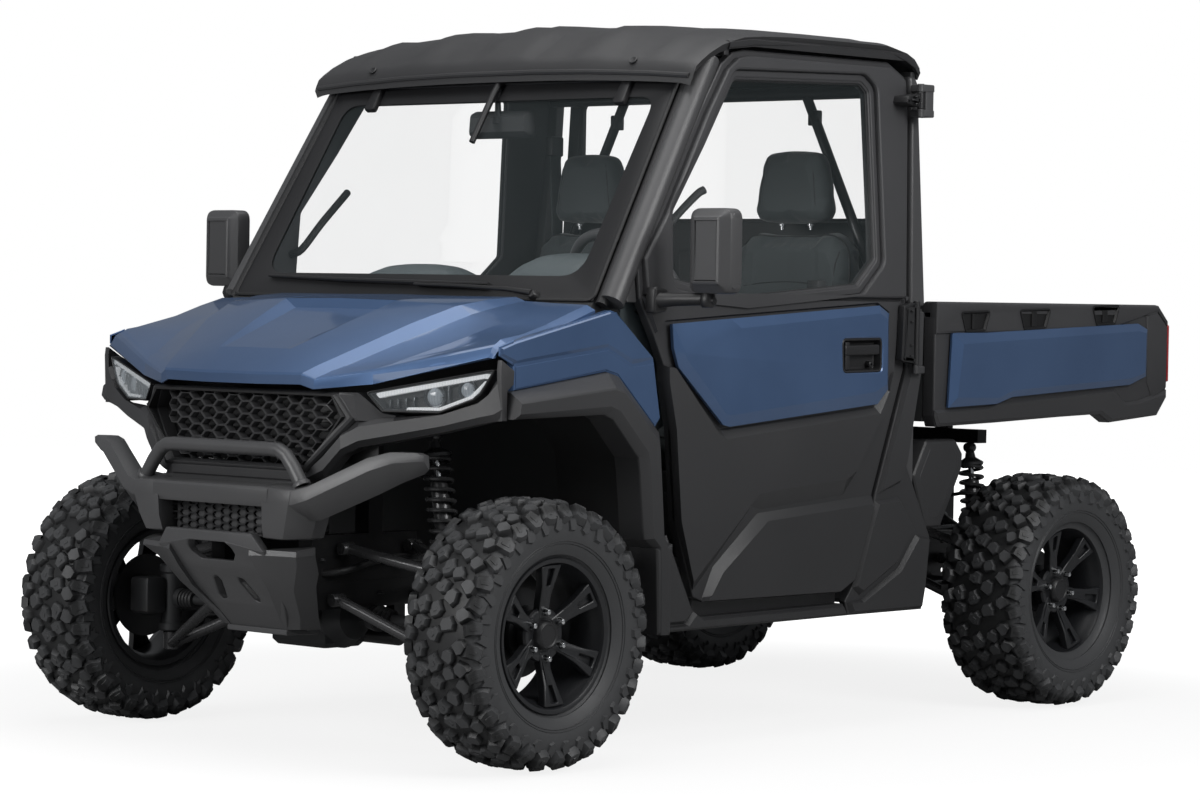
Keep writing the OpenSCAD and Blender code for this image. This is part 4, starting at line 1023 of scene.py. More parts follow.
def fenderSkin():
    x = cabHalf - .008
    base = [(-.066, .944), (.274, .9895), (.3145, .9795), (.464, .844), (cabFront + .221, .868),
        (cabFront + .191, 1.024), (cabFront + .048, 1.140), (cabFront + .026, 1.146), (-.062, 1.067),
        (-.066, 1.01)]
    made = Shape().slab(base, x - .030, x - .0045, edge=.003, back=.002)
    front = [(-.066, 1.006), (-.066, 1.070), (-.118, 1.054), (-.118, 1.030)]
    made.slab(front, x - .009, x - .0045, edge=.003, back=.001)
    low = x - .006
    upperTop = [(-.060, 1.019), (-.020, 1.025), (.277, 1.061), (.372, 1.022), (.448, 1.026),
        (.306, 1.137), (.285, 1.138), (-.062, 1.061), (-.108, 1.047), (-.108, 1.036)]
    upperLow = [(-.062, 1.009), (-.018, 1.014), (.278, 1.050), (.372, 1.006), (.455, 1.022),
        (.312, 1.141), (.286, 1.143), (-.062, 1.066), (-.114, 1.051), (-.114, 1.031)]
    made.plate([[(low - .003, upperLow), (low, upperLow), (x, upperTop)]])
    lowTop = [(-.060, .950), (.272, .996), (.318, .985), (.462, .853), (.482, .871), (.455, 1.008),
        (.376, 1.000), (.279, 1.043), (-.018, 1.007), (-.060, 1.002)]
    lowLow = [(-.063, .947), (.273, .9925), (.3165, .982), (.463, .848), (.486, .869), (.459, 1.012),
        (.374, 1.004), (.2785, 1.047), (-.018, 1.011), (-.063, 1.006)]
    made.plate([[(low - .003, lowLow), (low, lowLow), (x - .0025, lowTop)]])
    return made


def flareRing(outer, inner, crest=.40, knee=.82):
    blend = lambda t: (outer[0] + (inner[0] - outer[0]) * t, outer[1] + (inner[1] - outer[1]) * t)
    low, top = cabHalf - .0575, cabHalf + .0415
    return [(low, *outer), (cabHalf - .006, *outer), (cabHalf - .002, *blend(.015)),
        (top - .003, *blend(crest - .03)), (top, *blend(crest + .02)), (top + .0005, *blend(knee - .03)),
        (top - .002, *blend(knee + .01)), (top - .016, *blend(.985)), (top - .020, *inner), (low, *inner)]


def flareShape():
    stations = [((-.086, .9405), (-.1, .8745), .40), ((-.050, .9455), (-.062, .8755), .40),
        ((.273, .9885), (.228, .882), .38), ((.313, .978), (.262, .869), .38),
        ((.4615, .843), (.361, .770), .40), ((.472, .834), (.368, .735), .42),
        ((.492, .600), (.3845, .585), .42), ((.4925, .575), (.3885, .561), .42),
        ((.484, .545), (.4245, .5375), .30), ((.484, .500), (.427, .480), .30),
        ((.484, .3125), (.4318, .3145), .30)]
    made = Shape().loft([flareRing(a, b, c) for a, b, c in stations])
    toe = [(.4235, .5365), (.489, .548), (.4845, .3115), (.432, .3145)]
    made.slab(toe, cabHalf - .05, cabHalf + .041, edge=.012, back=.002, steps=3)
    return made


def linerShape():
    path = [(-.060, .894), (.230, .899), (.275, .884), (.379, .775), (.405, .570), (.440, .542), (.441, .462)]
    made = Shape()
    n = len(path)
    normals = []
    for i in range(n):
        a, b = Vector(path[max(i - 1, 0)]), Vector(path[min(i + 1, n - 1)])
        d = (b - a).normalized()
        normals.append(Vector((d.y, -d.x)))
    rings = []
    for i in range(n):
        y, z = path[i]
        ny, nz = normals[i]
        ring = []
        for k in range(9):
            x = .4705 + k * (cabHalf - .0585 - .4705) / 8
            rib = .004 if k % 2 else .0
            ring.append((x, y - ny * (.004 - rib), z - nz * (.004 - rib)))
        ring += [(x, y + ny * .004, z + nz * .004) for x, y, z in [(r[0], path[i][0], path[i][1])
            for r in reversed(ring)]]
        rings.append(ring)
    return made.loft(rings)


def makeFront():
    piece("hood_skin", hoodSkin(), "hood", paint, ["hood"], angle=11, soften=.0016)
    piece("fender_skins", fenderSkin().both(), "chassis", paint, ["front_fenders"], angle=12)
    piece("flare_arches", flareShape().both(), "chassis", greyPlastic, ["fender_flares"],
        angle=18)
    # wheel liners in near-black painted shade
    piece("wheel_liners", linerShape().both(), "chassis", shadeBlack, ["fender_liners"],
        angle=40)


makeFront()
print("hood and fenders made")


# fascia, grille and lamps

grilleOutline = [(-.248, .744), (.248, .744), (.360, .871), (.329, .919), (-.329, .919), (-.360, .871)]
lampOutline = [(.402, .934), (.446, .884), (.588, .884), (.672, .919), (.690, .935), (.727, .998),
    (.700, .994)]


def lampDepth(x):  # the lamp's front plane runs back as it runs out
    return -.258 + (abs(x) - .395) * .413


def fasciaFacets():
    made = Shape()
    # frame round the grille: rings from the outside to the hole
    frameOut = [(-.262, .728), (.262, .728), (.392, .868), (.352, .931), (-.352, .931), (-.392, .868)]
    frameMid = [(-.252, .739), (.252, .739), (.366, .871), (.333, .923), (-.333, .923), (-.366, .871)]
    face = lambda x: -.3295 + max(0, abs(x) - .27) * .44
    ring = lambda outline, dy: [(x, face(x) + dy, z) for x, z in outline]
    made.loft([ring(frameOut, .060), ring(frameOut, .010), ring(inset(frameOut, .004), .002),
        ring(inset(frameOut, .010), -.0005), ring(inset(frameMid, -.003), -.0005), ring(frameMid, .006),
        ring(grilleOutline, .022), ring(grilleOutline, .060)], caps=False, closed=True)
    made.brick(-.262, .262, -.322, -.300, .700, .741, .006)
    made.brick(-.236, .236, -.3275, -.318, .706, .731, .004)
    for s in (1, -1):
        wing = Shape()
        # the cheek between the grille and the lamp
        wing.loft([[(.352, -.292, .931), (.388, -.262, .931), (.442, -.229, .881), (.470, -.212, .876),
            (.470, -.205, .858), (.392, -.276, .862)], [(.352, -.245, .931), (.388, -.215, .931),
            (.442, -.190, .881), (.470, -.180, .876), (.470, -.175, .858), (.392, -.230, .862)]])
        wing.loft([[(.352, -.2925, .930), (.392, -.2765, .866), (.400, -.260, .866), (.384, -.264, .928)],
            [(.352, -.296, .926), (.390, -.281, .869), (.394, -.272, .869), (.378, -.274, .924)]])
        # the band that runs from under the grille out to the flare
        band = [[(.250, -.290, .735), (.262, -.314, .731), (.262, -.322, .712), (.258, -.308, .702),
            (.246, -.270, .702), (.244, -.262, .73)], [(.300, -.286, .775), (.312, -.308, .770),
            (.315, -.313, .735), (.306, -.296, .716), (.294, -.256, .712), (.290, -.255, .76)],
            [(.352, -.278, .832), (.360, -.296, .822), (.366, -.300, .790), (.358, -.284, .774),
            (.346, -.240, .772), (.342, -.240, .82)], [(.392, -.262, .864), (.398, -.272, .846),
            (.404, -.276, .812), (.396, -.262, .795), (.388, -.216, .793), (.384, -.216, .85)],
            [(.470, -.214, .872), (.478, -.228, .862), (.482, -.230, .829), (.475, -.218, .812),
            (.466, -.175, .811), (.464, -.176, .86)], [(.588, -.166, .876), (.598, -.178, .882),
            (.602, -.180, .854), (.595, -.170, .838), (.590, -.130, .837), (.588, -.132, .865)],
            [(.672, -.129, .908), (.684, -.140, .912), (.689, -.142, .878), (.682, -.132, .860),
            (.678, -.104, .859), (.674, -.106, .880)], [(.700, -.119, .934), (.712, -.129, .935),
            (.729, -.131, .886), (.722, -.120, .868), (.714, -.101, .867), (.700, -.103, .890)],
            [(.724, -.1165, .968), (.736, -.122, .966), (.7495, -.119, .900), (.7495, -.112, .872),
            (.738, -.101, .870), (.722, -.1025, .92)]]
        wing.loft(band)
        rear = [(-.119, .870), (-.1005, .870), (-.1005, .944), (-.078, .960), (-.076, .994),
            (-.121, 1.020), (-.124, .998)]
        wing.slab(rear, .7325, .7495, edge=.004, back=.001, steps=3)
        made.merge(wing if s > 0 else wing.flipped())
    return made


def grilleMesh():
    cell = Shape()
    outer = [(-.0316, 0), (-.0150, -.0162), (.0150, -.0162), (.0316, 0), (.0150, .0162), (-.0150, .0162)]
    hole = [(-.0272, 0), (-.0128, -.0136), (.0128, -.0136), (.0272, 0), (.0128, .0136), (-.0128, .0136)]
    rings = [[(x, dy, z) for x, z in outline]
        for dy, outline in ((.020, outer), (0, outer), (-.0015, inset(outer, .0008)), (-.0015, inset(hole,
        -.0008)), (0, hole), (.020, inset(hole, .0010)))]
    cell.loft(rings, caps=False, closed=True)
    made = lattice.grown(cell, blackPlastic, Columns=11, Rows=11, StepX=.0930, StepZ=.0161, Low=.753,
        High=.914, HalfLow=.232, HalfHigh=.330)
    return made.bent(lambda p: (p[0], p[1] - .2835 + max(0, abs(p[0]) - .27) * .30, p[2]))


# a near-black sheet with slats that fills the view behind the grille mesh: painted shade
def grilleShadeSheet():
    made = Shape().slab(inset(anticlockwise(grilleOutline), -.007), -.2360, -.3000,
        [inset(anticlockwise(grilleOutline), -.001)], edge=.001, back=.001, axis="y")
    made.brick(-.424, .424, -.2245, -.2205, .750, .930, .001)
    made.slab(inset(anticlockwise(grilleOutline), -.001), -.2335, -.2365, edge=.001, back=0, axis="y")
    for k in range(7):
        z = .765 + k * .0225
        half = min(.352, .250 + (z - .744) * .88) if z < .871 else .335
        made.brick(-half, half, -.2425, -.2355, z - .0035, z + .0035, .001)
    return made


def bezel(outline, depthOf, low, high, wall, edge=.002):  # a thin rim that follows a slanted outline
    ring = lambda loop, dy: [(x, depthOf(x) + dy, z) for x, z in loop]
    return Shape().loft([ring(outline, low), ring(outline, high + edge), ring(inset(outline, edge), high),
        ring(inset(outline, wall - edge), high), ring(inset(outline, wall), high + edge),
        ring(inset(outline, wall), low)], caps=False, closed=True)


def headlampParts():
    outline = anticlockwise([(x, z) for x, z in lampOutline])
    outline = rounded(outline, .006, 2)
    rim = bezel(outline, lampDepth, .030, .000, .005)
    bowl = Shape()
    ring = lambda loop, dy: [(x, lampDepth(x) + dy, z) for x, z in loop]
    bowl.loft([ring(inset(outline, .0045), .0285), ring(inset(outline, .0045), .0060),
        ring(inset(outline, .0075), .0060), ring(inset(outline, .012), .0240)], caps=True)
    cover = Shape().loft([ring(inset(outline, .0045), .0012), ring(inset(outline, .0045), .0045)])
    strip = Shape()
    top = [(.424, .930), (.440, .934), (.700, .986), (.716, .984), (.708, .972), (.694, .974),
        (.448, .922), (.436, .918)]
    low = [(.500, .8885), (.590, .890), (.668, .922), (.704, .966), (.696, .968), (.660, .930),
        (.586, .8995), (.506, .8975)]
    for loop in (top, low):
        loop = rounded(loop, .004, 2)
        strip.loft([ring(loop, .0215), ring(loop, .0075), ring(inset(loop, .0015), .0060)])
    projectors, cups = Shape(), Shape()
    for x, z, r in ((.566, .925, .0245), (.646, .944, .0205)):
        y = lampDepth(x)
        axis = Vector((.38, -.92, 0)).normalized()
        c = Vector((x, y + .022, z))
        cups.lathe([(0, .001), (.000, r * 1.22), (.006, r * 1.26), (.0105, r * 1.22), (.009, r * 1.08),
            (.004, r * 1.02), (.002, .001)], c, axis=axis, sides=32)
        projectors.lathe([(.002, .0004), (.002, r * .92), (.006, r * .88), (.0095, r * .70),
            (.0118, r * .42), (.0126, r * .15), (.0127, .0003)], c, axis=axis, sides=32)
        for k in range(5):
            a = k * 2 * math.pi / 5
            cups.brick(x - .0016 + math.cos(a) * r * 1.12, x + .0016 + math.cos(a) * r * 1.12, y + .016,
                y + .0225, z - .0016 + math.sin(a) * r * 1.12, z + .0016 + math.sin(a) * r * 1.12, .0005)
    fins = Shape()
    for k in range(4):
        x = .456 + k * .020
        fins.brick(x, x + .004, lampDepth(x) + .012, lampDepth(x) + .024, .892 + k * .001,
            .915 + k * .003, .001)
    fins.brick(.600, .606, lampDepth(.603) + .010, lampDepth(.603) + .024, .905, .955, .001)
    return rim, bowl, cover, strip, projectors, cups.merge(fins)


def makeFace():
    piece("fascia_frame", fasciaFacets(), "chassis", greyPlastic, ["front_fascia"], angle=16)
    piece("grille_mesh", grilleMesh(), "chassis", satinGrey, ["grille"], angle=30)
    # the sheet behind the grille, in near-black painted shade
    piece("grille_shade_sheet", grilleShadeSheet(), "chassis", shadeBlack, angle=30)
    rim, bowl, cover, strip, projectors, cups = headlampParts()
    piece("lamp_bezels", rim.both(), "chassis", blackPlastic, ["headlights"], angle=30)
    piece("lamp_bowls", bowl.both(), "chassis", blackPlastic, angle=30)
    piece("lamp_covers", cover.both(), "chassis", lampGlass, angle=30)
    piece("lamp_strips", strip.both(), "chassis", whiteStrip, angle=30)
    piece("lamp_projectors", projectors.both(), "chassis", bulbGlass, angle=40)
    piece("lamp_reflectors", cups.both(), "chassis", darkMetal, angle=30)


makeFace()
print("front face made")


# bumper and skid plate

def bumperShape():
    made = Shape()
    y = -.405
    # the middle beam between the two lobes
    made.loft([[(x, y + .002, .690), (x, y + .050, .698), (x, y + .056, .640), (x, y + .004, .641),
        (x, y - .002, .655), (x, y - .002, .684)] for x in (-.215, .215)])
    arm = [[(.205, -.404, .690), (.205, -.352, .699), (.205, -.348, .648), (.205, -.380, .640),
        (.205, -.407, .652)], [(.300, -.398, .686), (.322, -.345, .702), (.318, -.325, .625),
        (.300, -.355, .610), (.300, -.404, .650)], [(.338, -.388, .696), (.352, -.330, .716),
        (.350, -.310, .632), (.346, -.345, .612), (.346, -.394, .664)],
        [(.486, -.324, .773), (.488, -.272, .782), (.486, -.262, .706), (.494, -.288, .682),
        (.499, -.330, .742)], [(.540, -.300, .789), (.538, -.250, .789), (.534, -.242, .728),
        (.548, -.262, .712), (.552, -.302, .762)], [(.600, -.268, .789), (.590, -.234, .788),
        (.590, -.230, .748), (.602, -.238, .736), (.608, -.266, .768)], [(.6205, -.262, .783),
        (.616, -.238, .782), (.616, -.236, .756), (.6205, -.242, .748), (.6215, -.260, .768)]]
    lobe = [[(.198, -.404, .688), (.292, -.400, .684), (.334, -.352, .668), (.330, -.300, .668),
        (.212, -.300, .668)], [(.196, -.407, .655), (.292, -.405, .656), (.338, -.350, .650),
        (.332, -.296, .650), (.208, -.296, .650)], [(.194, -.404, .600), (.276, -.400, .604),
        (.320, -.338, .604), (.318, -.292, .604), (.206, -.292, .604)],
        [(.190, -.395, .564), (.258, -.391, .562), (.298, -.330, .564), (.296, -.286, .564),
        (.202, -.286, .564)], [(.196, -.386, .5595), (.252, -.382, .5595), (.288, -.330, .5595),
        (.286, -.292, .5595), (.206, -.292, .5595)]]
    for s in (1, -1):
        part = Shape().loft(arm).loft(lobe)
        made.merge(part if s > 0 else part.flipped())
    made.brick(-.19, .19, -.345, -.338, .560, .645, .002)
    # the step that closes the space between the beam and the grille frame
    made.loft([[(x, y, z)
        for y, z in ((-.358, .690), (-.352, .698), (-.322, .704), (-.306, .742), (-.292, .742),
        (-.292, .690))] for x in (-.262, .262)])
    for s in (1, -1):
        x0, x1 = (.145, .185) if s > 0 else (-.185, -.145)
        made.brick(x0, x1, -.360, -.2255, .646, .694, .003)
    return made


def hoopShape():
    made = Shape()
    path = [(-.292, -.362, .700), (-.262, -.362, .742), (-.236, -.362, .770), (-.212, -.362, .782),
        (-.180, -.362, .784), (.180, -.362, .784), (.212, -.362, .782), (.236, -.362, .770),
        (.262, -.362, .742), (.292, -.362, .700)]
    made.tube(path, .0185, sides=18, smooth=0)
    for s in (1, -1):
        made.lathe([(-.004, .024), (.006, .024), (.009, .021), (.009, .018), (-.004, .018)],
            (s * .294, -.362, .697), axis=(-s * .5, 0, .8), sides=20, closed=True)
    return made


def lowerMesh():
    cell = Shape()
    outer = [(-.0200, 0), (-.0110, -.0100), (.0110, -.0100), (.0200, 0), (.0110, .0100), (-.0110, .0100)]
    hole = inset(outer, .0022)
    rings = [[(x, dy, z) for x, z in outline]
        for dy, outline in ((.008, outer), (0, outer), (0, hole), (.008, hole))]
    cell.loft(rings, caps=False, closed=True)
    made = lattice.grown(cell, blackPlastic, Columns=14, Rows=9, StepX=.0310 * 2, StepZ=.0100, Low=.568,
        High=.640, HalfLow=.185, HalfHigh=.190)
    return made.bent(lambda p: (p[0], p[1] - .352, p[2]))


def skidShape():
    made = Shape()
    slot = rounded([(-.060, .496), (.060, .496), (.082, .514), (.082, .530), (.068, .545), (-.068, .545),
        (-.082, .530), (-.082, .514)], .012, 3)
    slants = [rounded([(s * .058, .446), (s * .040, .452), (s * .034, .438), (s * .052, .392),
        (s * .070, .386), (s * .076, .400)], .008, 3) for s in (1, -1)]
    slants = [anticlockwise(s) for s in slants]
    outline = rounded([(-.112, .313, .008), (.112, .313, .008), (.150, .372, .004), (.190, .470, .006),
        (.198, .528, .004), (.160, .572, .006), (-.160, .572, .006), (-.198, .528, .004),
        (-.190, .470, .006), (-.150, .372, .004)], .006, 2)
    faceY = lambda z: -.4165 + max(0, .545 - z) * .80 if z < .545 else -.4165 + (z - .545) * .25
    warp = lambda p: (p[0], p[1] + faceY(p[2]), p[2])
    made.slab(outline, .026, .0, [slot] + slants, edge=.004, back=.002, axis="y", bend=warp, steps=3,
        holeEdge=.005)
    for s in (1, -1):
        flank = [[(.150, -.405, .529), (.196, -.388, .531), (.288, -.372, .531), (.281, -.300, .540),
            (.262, -.290, .540), (.150, -.380, .529)], [(.150, -.406, .516), (.196, -.393, .518),
            (.290, -.374, .518), (.282, -.300, .520), (.262, -.290, .520), (.150, -.380, .516)],
            [(.150, -.372, .470), (.182, -.362, .470), (.262, -.345, .490), (.268, -.285, .490),
            (.250, -.275, .490), (.150, -.340, .470)], [(.145, -.330, .420), (.160, -.322, .420),
            (.215, -.310, .425), (.240, -.255, .425), (.224, -.245, .425), (.145, -.300, .420)],
            [(.110, -.262, .350), (.122, -.258, .350), (.168, -.242, .350), (.192, -.200, .350),
            (.176, -.190, .350), (.110, -.235, .350)], [(.100, -.236, .316), (.112, -.233, .316),
            (.148, -.222, .318), (.170, -.170, .318), (.158, -.160, .318), (.100, -.210, .316)]]
        part = Shape().loft(flank)
        web = [(.205, .508), (.268, .512), (.258, .470), (.190, .380), (.170, .362), (.176, .420)]
        part.loft([[(x, -.300 + (.54 - z) * .5, z) for x, z in web],
            [(x, -.330 + (.54 - z) * .55, z) for x, z in web]])
        made.merge(part if s > 0 else part.flipped())
    made.slab([(-.112, -.236), (.112, -.236), (.140, -.150), (-.140, -.150)], .3015, .3165, edge=.004,
        back=.002, axis="z")
    made.brick(-.060, .060, -.222, -.190, .316, .3695, .003)
    return made


def makeBumper():
    piece("bumper_beam", bumperShape(), "chassis", satinGrey, ["front_bumper"], angle=24,
        soften=.0025)
    piece("bumper_hoop", hoopShape(), "chassis", satinGrey, angle=45)
    piece("bumper_mesh", lowerMesh(), "chassis", blackPlastic, angle=30)
    piece("skid_guard", skidShape(), "chassis", satinGrey, ["skid_plate"], angle=24)
    bolts("bumper_bolts", [((s * .150, -.318, .7065), (0, -1, 0)) for s in (1, -1)]
        + [((s * .10, -.318, .7065), (0, -1, 0)) for s in (1, -1)], "chassis",
        blackPlastic, .005, .003)


makeBumper()
print("bumper made")


# roof and cab

# the dash's own grey-teal, made lighter than its plastic to make up for the dim light in the cab: partly
# painted light
dashGreyPaintedLight = mouldedPlastic("dash grey plastic", (0.075, 0.092, 0.097), 0.5, 900, 0.0004, 1.2)

roofSizes = {"half": 0.7135, "eaves": 1.872, "crown": 0.0375, "skin": 0.020}
roofLine = [(.352, -.112, 0), (.356, -.100, 0), (.366, -.080, .2), (.384, -.066, .6), (.420, -.043, 1),
    (.470, -.019, 1), (.520, -.004, 1), (.560, .006, 1), (.640, .013, .7), (.760, .018, .5),
    (.980, .020, .5), (1.185, .020, .5), (1.265, .005, .5), (1.300, -.010, .3), (1.318, -.028, 0),
    (1.327, -.046, 0)]


def roofSkin():
    half, eaves = roofSizes["half"], roofSizes["eaves"]
    cross = [0, .06, .12, .17, .20, .30, .36, .40, .50, .56, .60, .70, .76, .80, .86, .90, .94, .965,
        .985, 1.0]
    rings = []
    for y, rise, rib in roofLine:
        top = []
        for u in cross:
            bump = rib * .0105 * max(0.0, math.sin(u * math.pi * 5.1 + .6)) * (1 if u < .84 else 0)
            z = eaves + rise + roofSizes["crown"] * (1 - u ** 2.4) * (.55 if rise < -.05
                else .55 + .45 * min(1, (rise + .05) / .045)) + bump
            if u > .93:
                z -= .006 * ((u - .93) / .07) ** 2
            top.append((u * half, z))
        full = [(-x, z) for x, z in reversed(top[1:])] + top
        low = [(x * .985, z - roofSizes["skin"]) for x, z in reversed(full)]
        rings.append([(x, cabFront + y, z) for x, z in full + low])
    made = Shape().loft(rings)
    lip = [(x * half * .98, cabFront + .3535, 1.7605 + .024 * (1 - abs(x) ** 2.4))
        for x in (-1, -.8, -.5, -.2, .2, .5, .8, 1)]
    made.tube(lip, .0075, sides=8)
    for s in (1, -1):
        rail = Shape().loft([[(half - .030, cabFront + y, roofSizes["eaves"] + min(0, rise) + dz - .020),
            (half - .002, cabFront + y, roofSizes["eaves"] + min(0, rise) + dz - .022),
            (half + .001, cabFront + y, roofSizes["eaves"] + min(0, rise) + dz - .004),
            (half - .006, cabFront + y, roofSizes["eaves"] + min(0, rise) + dz + .002),
            (half - .030, cabFront + y, roofSizes["eaves"] + min(0, rise) + dz)]
            for y, rise, dz in ((.50, -.012, 0), (.60, .005, 0), (.9, .02, 0), (1.19, .02, 0),
            (1.26, 0, 0), (1.305, -.018, 0), (1.322, -.036, 0))])
        made.merge(rail if s > 0 else rail.flipped())
        made.brick(*sorted((s * (half - .056), s * (half - .012))), cabFront + .490, cabFront + .510,
            1.8225, 1.852, .002)
        made.brick(*sorted((s * (half - .052), s * (half - .014))), cabBack - .034, cabBack - .014,
            1.7905, 1.822, .002)
    return made


def roofTrim():
    half = roofSizes["half"]
    made = Shape()
    for s in (1, -1):
        made.lathe([(.0, .012), (.003, .0125), (.0045, .010), (.0035, .006), (.0035, .0004)],
            (s * .492, cabFront + .3665, 1.806), axis=(0, -.72, .69), sides=20)
        groove = [(s * (half - .0015), cabFront + y, roofSizes["eaves"] + z)
            for y, z in ((.505, -.030), (.60, -.0165), (.9, -.0035), (1.19, -.0035), (1.262, -.0215),
            (1.306, -.040))]
        made.tube(groove, .0022, sides=6)
    return made


def windshieldParts():
    tilt = windshieldTilt  # from upright
    base = (cabFront + .018, glassFoot)
    run = (glassTop - glassFoot) / math.cos(tilt)
    half0, half1 = cabHalf - .0686, cabHalf - .0686 - math.tan(sideLean) * .59
    place = lambda u, v, w: (u, base[0] + v * math.sin(tilt) - w * math.cos(tilt),
        base[1] + v * math.cos(tilt) + w * math.sin(tilt))
    outline = [(-half0, .001), (half0, .001), (half1, run - .001), (-half1, run - .001)]
    inner = rounded([(-half0 + .085, .078, .07), (half0 - .085, .078, .07),
        (half1 - .060, run - .062, .055), (-half1 + .060, run - .062, .055)], .05, 7)
    warp = lambda p: place(p[0], p[2], p[1])
    glass = Shape().slab(inset(outline, .004), -.0066, -.0010, edge=.0005, back=.0005, axis="y", bend=warp)
    frit = Shape().slab(inset(outline, .0035), -.0009, -.0002, [inner], edge=.0002, back=0, axis="y",
        bend=warp)
    frit.slab(inset(outline, .0035), -.0068, -.0075, [inner], edge=.0002, back=0, axis="y", bend=warp)
    rim = Shape()
    corners = rounded([(-half0 + .004, .005), (half0 - .004, .005), (half1 - .004, run - .005),
        (-half1 + .004, run - .005)], .022, 5)
    rim.tube([place(u, v, .0) for u, v in corners], .0052, sides=8, closed=True)
    for s in (1, -1):  # the moulding between the glass and the pillar tube
        for off, deep, radius in ((.0135, .016, .0150), (-.004, .0225, .0138)):
            rim.tube([place(s * (half0 + off), .002, -deep), place(s * (half1 + off), run - .002, -deep)],
                radius, sides=10)
    clips = Shape()
    for s in (1, -1):
        clips.slab(rounded([(s * .470 - .020, run - .088), (s * .470 + .020, run - .088),
            (s * .470 + .016, run - .004), (s * .470 - .016, run - .004)], .007, 3), 0, .016, edge=.005,
            back=0, axis="y", bend=warp)
        clips.tube([place(s * .470 - .026, run - .010, .010), place(s * .470 + .026, run - .010, .010)],
            .0075, sides=10)
    return glass, frit, rim, clips, place


def wiperShape(place):
    made = Shape()
    made.lathe([(0, .0004), (0, .014), (.012, .014), (.020, .010), (.022, .004), (.022, .0004)],
        place(.470, .012, -.001), axis=(0, -.85, .53), sides=20)
    made.tube([place(.470, .014, .018), place(.38, .022, .022), place(.20, .030, .021),
        place(.03, .036, .017)], [.0085, .0065, .0055, .0045], sides=10)
    made.tube([place(.30, .0405, .015), place(.03, .044, .014), place(-.25, .050, .012),
        place(-.56, .062, .009)], [.005, .0065, .006, .004], sides=8)
    made.tube([place(.300, .0435, .0065), place(-.1, .050, .005), place(-.56, .065, .0045)], .0030, sides=6)
    top = (glassTop - glassFoot) / math.cos(windshieldTilt)
    made.tube([place(.004, top - .018, .016), place(.002, top - .050, .018), place(-.004, top - .205,
        .012)], [.0105, .0100, .0090], sides=10)
    for x in (.18, .03, -.16, -.36):
        made.tube([place(x, .040 + (.3 - x) * .02, .014), place(x, .0435 + (.3 - x) * .024, .0065)],
            .0042, sides=6)
    return made


def cabinMirror():
    made, pane = Shape(), Shape()
    y, z = cabFront + .395, 1.648
    outline = rounded([(-.122, z - .040), (.122, z - .040), (.116, z + .036), (-.116, z + .036)], .022, 5)
    made.plate([[(y - .002, inset(outline, .004)), (y - .004, inset(outline, .001)), (y - .010, outline),
        (y - .024, inset(outline, .006)), (y - .034, inset(outline, .018))]], axis="y")
    pane.slab(inset(outline, .007), y - .003, y - .0005, edge=.0008, back=0, axis="y")
    made.tube([(0, y - .028, z + .006), (0, y - .030, z + .06), (0, cabFront + .372, 1.755)],
        [.010, .008, .008], sides=10)
    made.lathe([(-.010, .003), (-.009, .014), (.009, .014), (.010, .003)], (0, y - .030, z + .010),
        axis=(0, 0, 1), sides=16)
    return made, pane


def pillarShape():
    t = math.tan(sideLean)
    left = Shape()
    # the thick round tube in front of the door
    path = [(.7065 - max(0, z - beltZ) * t, cabFront + .058 + (z - 1.168) * .628, z)
        for z in (1.166, 1.25, 1.40, 1.55, 1.70, 1.79, 1.812)]
    left.tube(path, .0335, sides=24, caps=True)
    jamb = [(cabFront + .092, 1.167), (cabFront + .130, 1.167), (cabFront + .124, 1.290),
        (cabFront + .215, 1.411), (cabFront + .390, 1.682), (cabFront + .481, 1.806),
        (cabFront + .470, 1.812), (cabFront + .380, 1.690), (cabFront + .200, 1.420),
        (cabFront + .105, 1.285)]
    left.slab(jamb, cabHalf - .066, cabHalf - .020, edge=.004, back=.002, bend=lean)
    rear = [(doorBack + .008, 1.167), (doorBack + .040, 1.700), (doorBack + .036, 1.812),
        (cabBack - .014, 1.812), (cabBack - .001, 1.790), (cabBack - .001, 1.167)]
    left.slab(rounded(rear, .010, 3), cabHalf - .067, cabHalf - .0065, edge=.010, back=.003, steps=4,
        bend=lean)
    left.slab([(doorBack + .021, .4645), (cabBack - .001, .4645), (cabBack - .001, 1.170),
        (doorBack + .021, 1.170)], cabHalf - .067, cabHalf - .0405, edge=.003, back=.002)
    for low, high in ((1.6925, 1.7155), (1.7625, 1.7855)):
        left.lathe([(0, .0002), (0, .0085), (.002, .0098), (high - low - .002, .0098),
            (high - low, .0085), (high - low, .0002)], (cabHalf + .012, cabBack - .066, low),
            axis=(0, 0, 1), sides=20)
        left.brick(cabHalf - .025, cabHalf + .021, cabBack - .066, cabBack - .013, low + .001,
            high - .001, .004)
        left.brick(cabHalf - .061, cabHalf - .021, cabBack - .035, cabBack - .021, low + .001,
            high - .001, .003)
    left.brick(cabHalf + .006, cabHalf + .0195, cabBack - .052, cabBack - .014, 1.700, 1.780, .005)
    return left.both()


def cageShape():
    half = cabHalf - .0685 - math.tan(sideLean) * .62
    made = Shape()
    z = 1.770
    for y in (cabFront + .018 + (1.770 - 1.166) * math.tan(windshieldTilt) + .046, cabBack - .054):
        made.tube([(-half, y, z), (half, y, z)], .0198, sides=20)
    for s in (1, -1):
        made.tube([(s * (cabHalf - .113), cabBack - .062, 1.181), (s * .350, cabBack - .060, 1.756)],
            .0148, sides=16)
        for t in (.08, .9):
            p = Vector((s * (cabHalf - .113), cabBack - .062, 1.181)).lerp(Vector((s * .350,
                cabBack - .060, 1.756)), t)
            made.brick(p.x - .016, p.x + .016, p.y - .012, p.y + .016, p.z - .022, p.z + .022, .004)
    return made


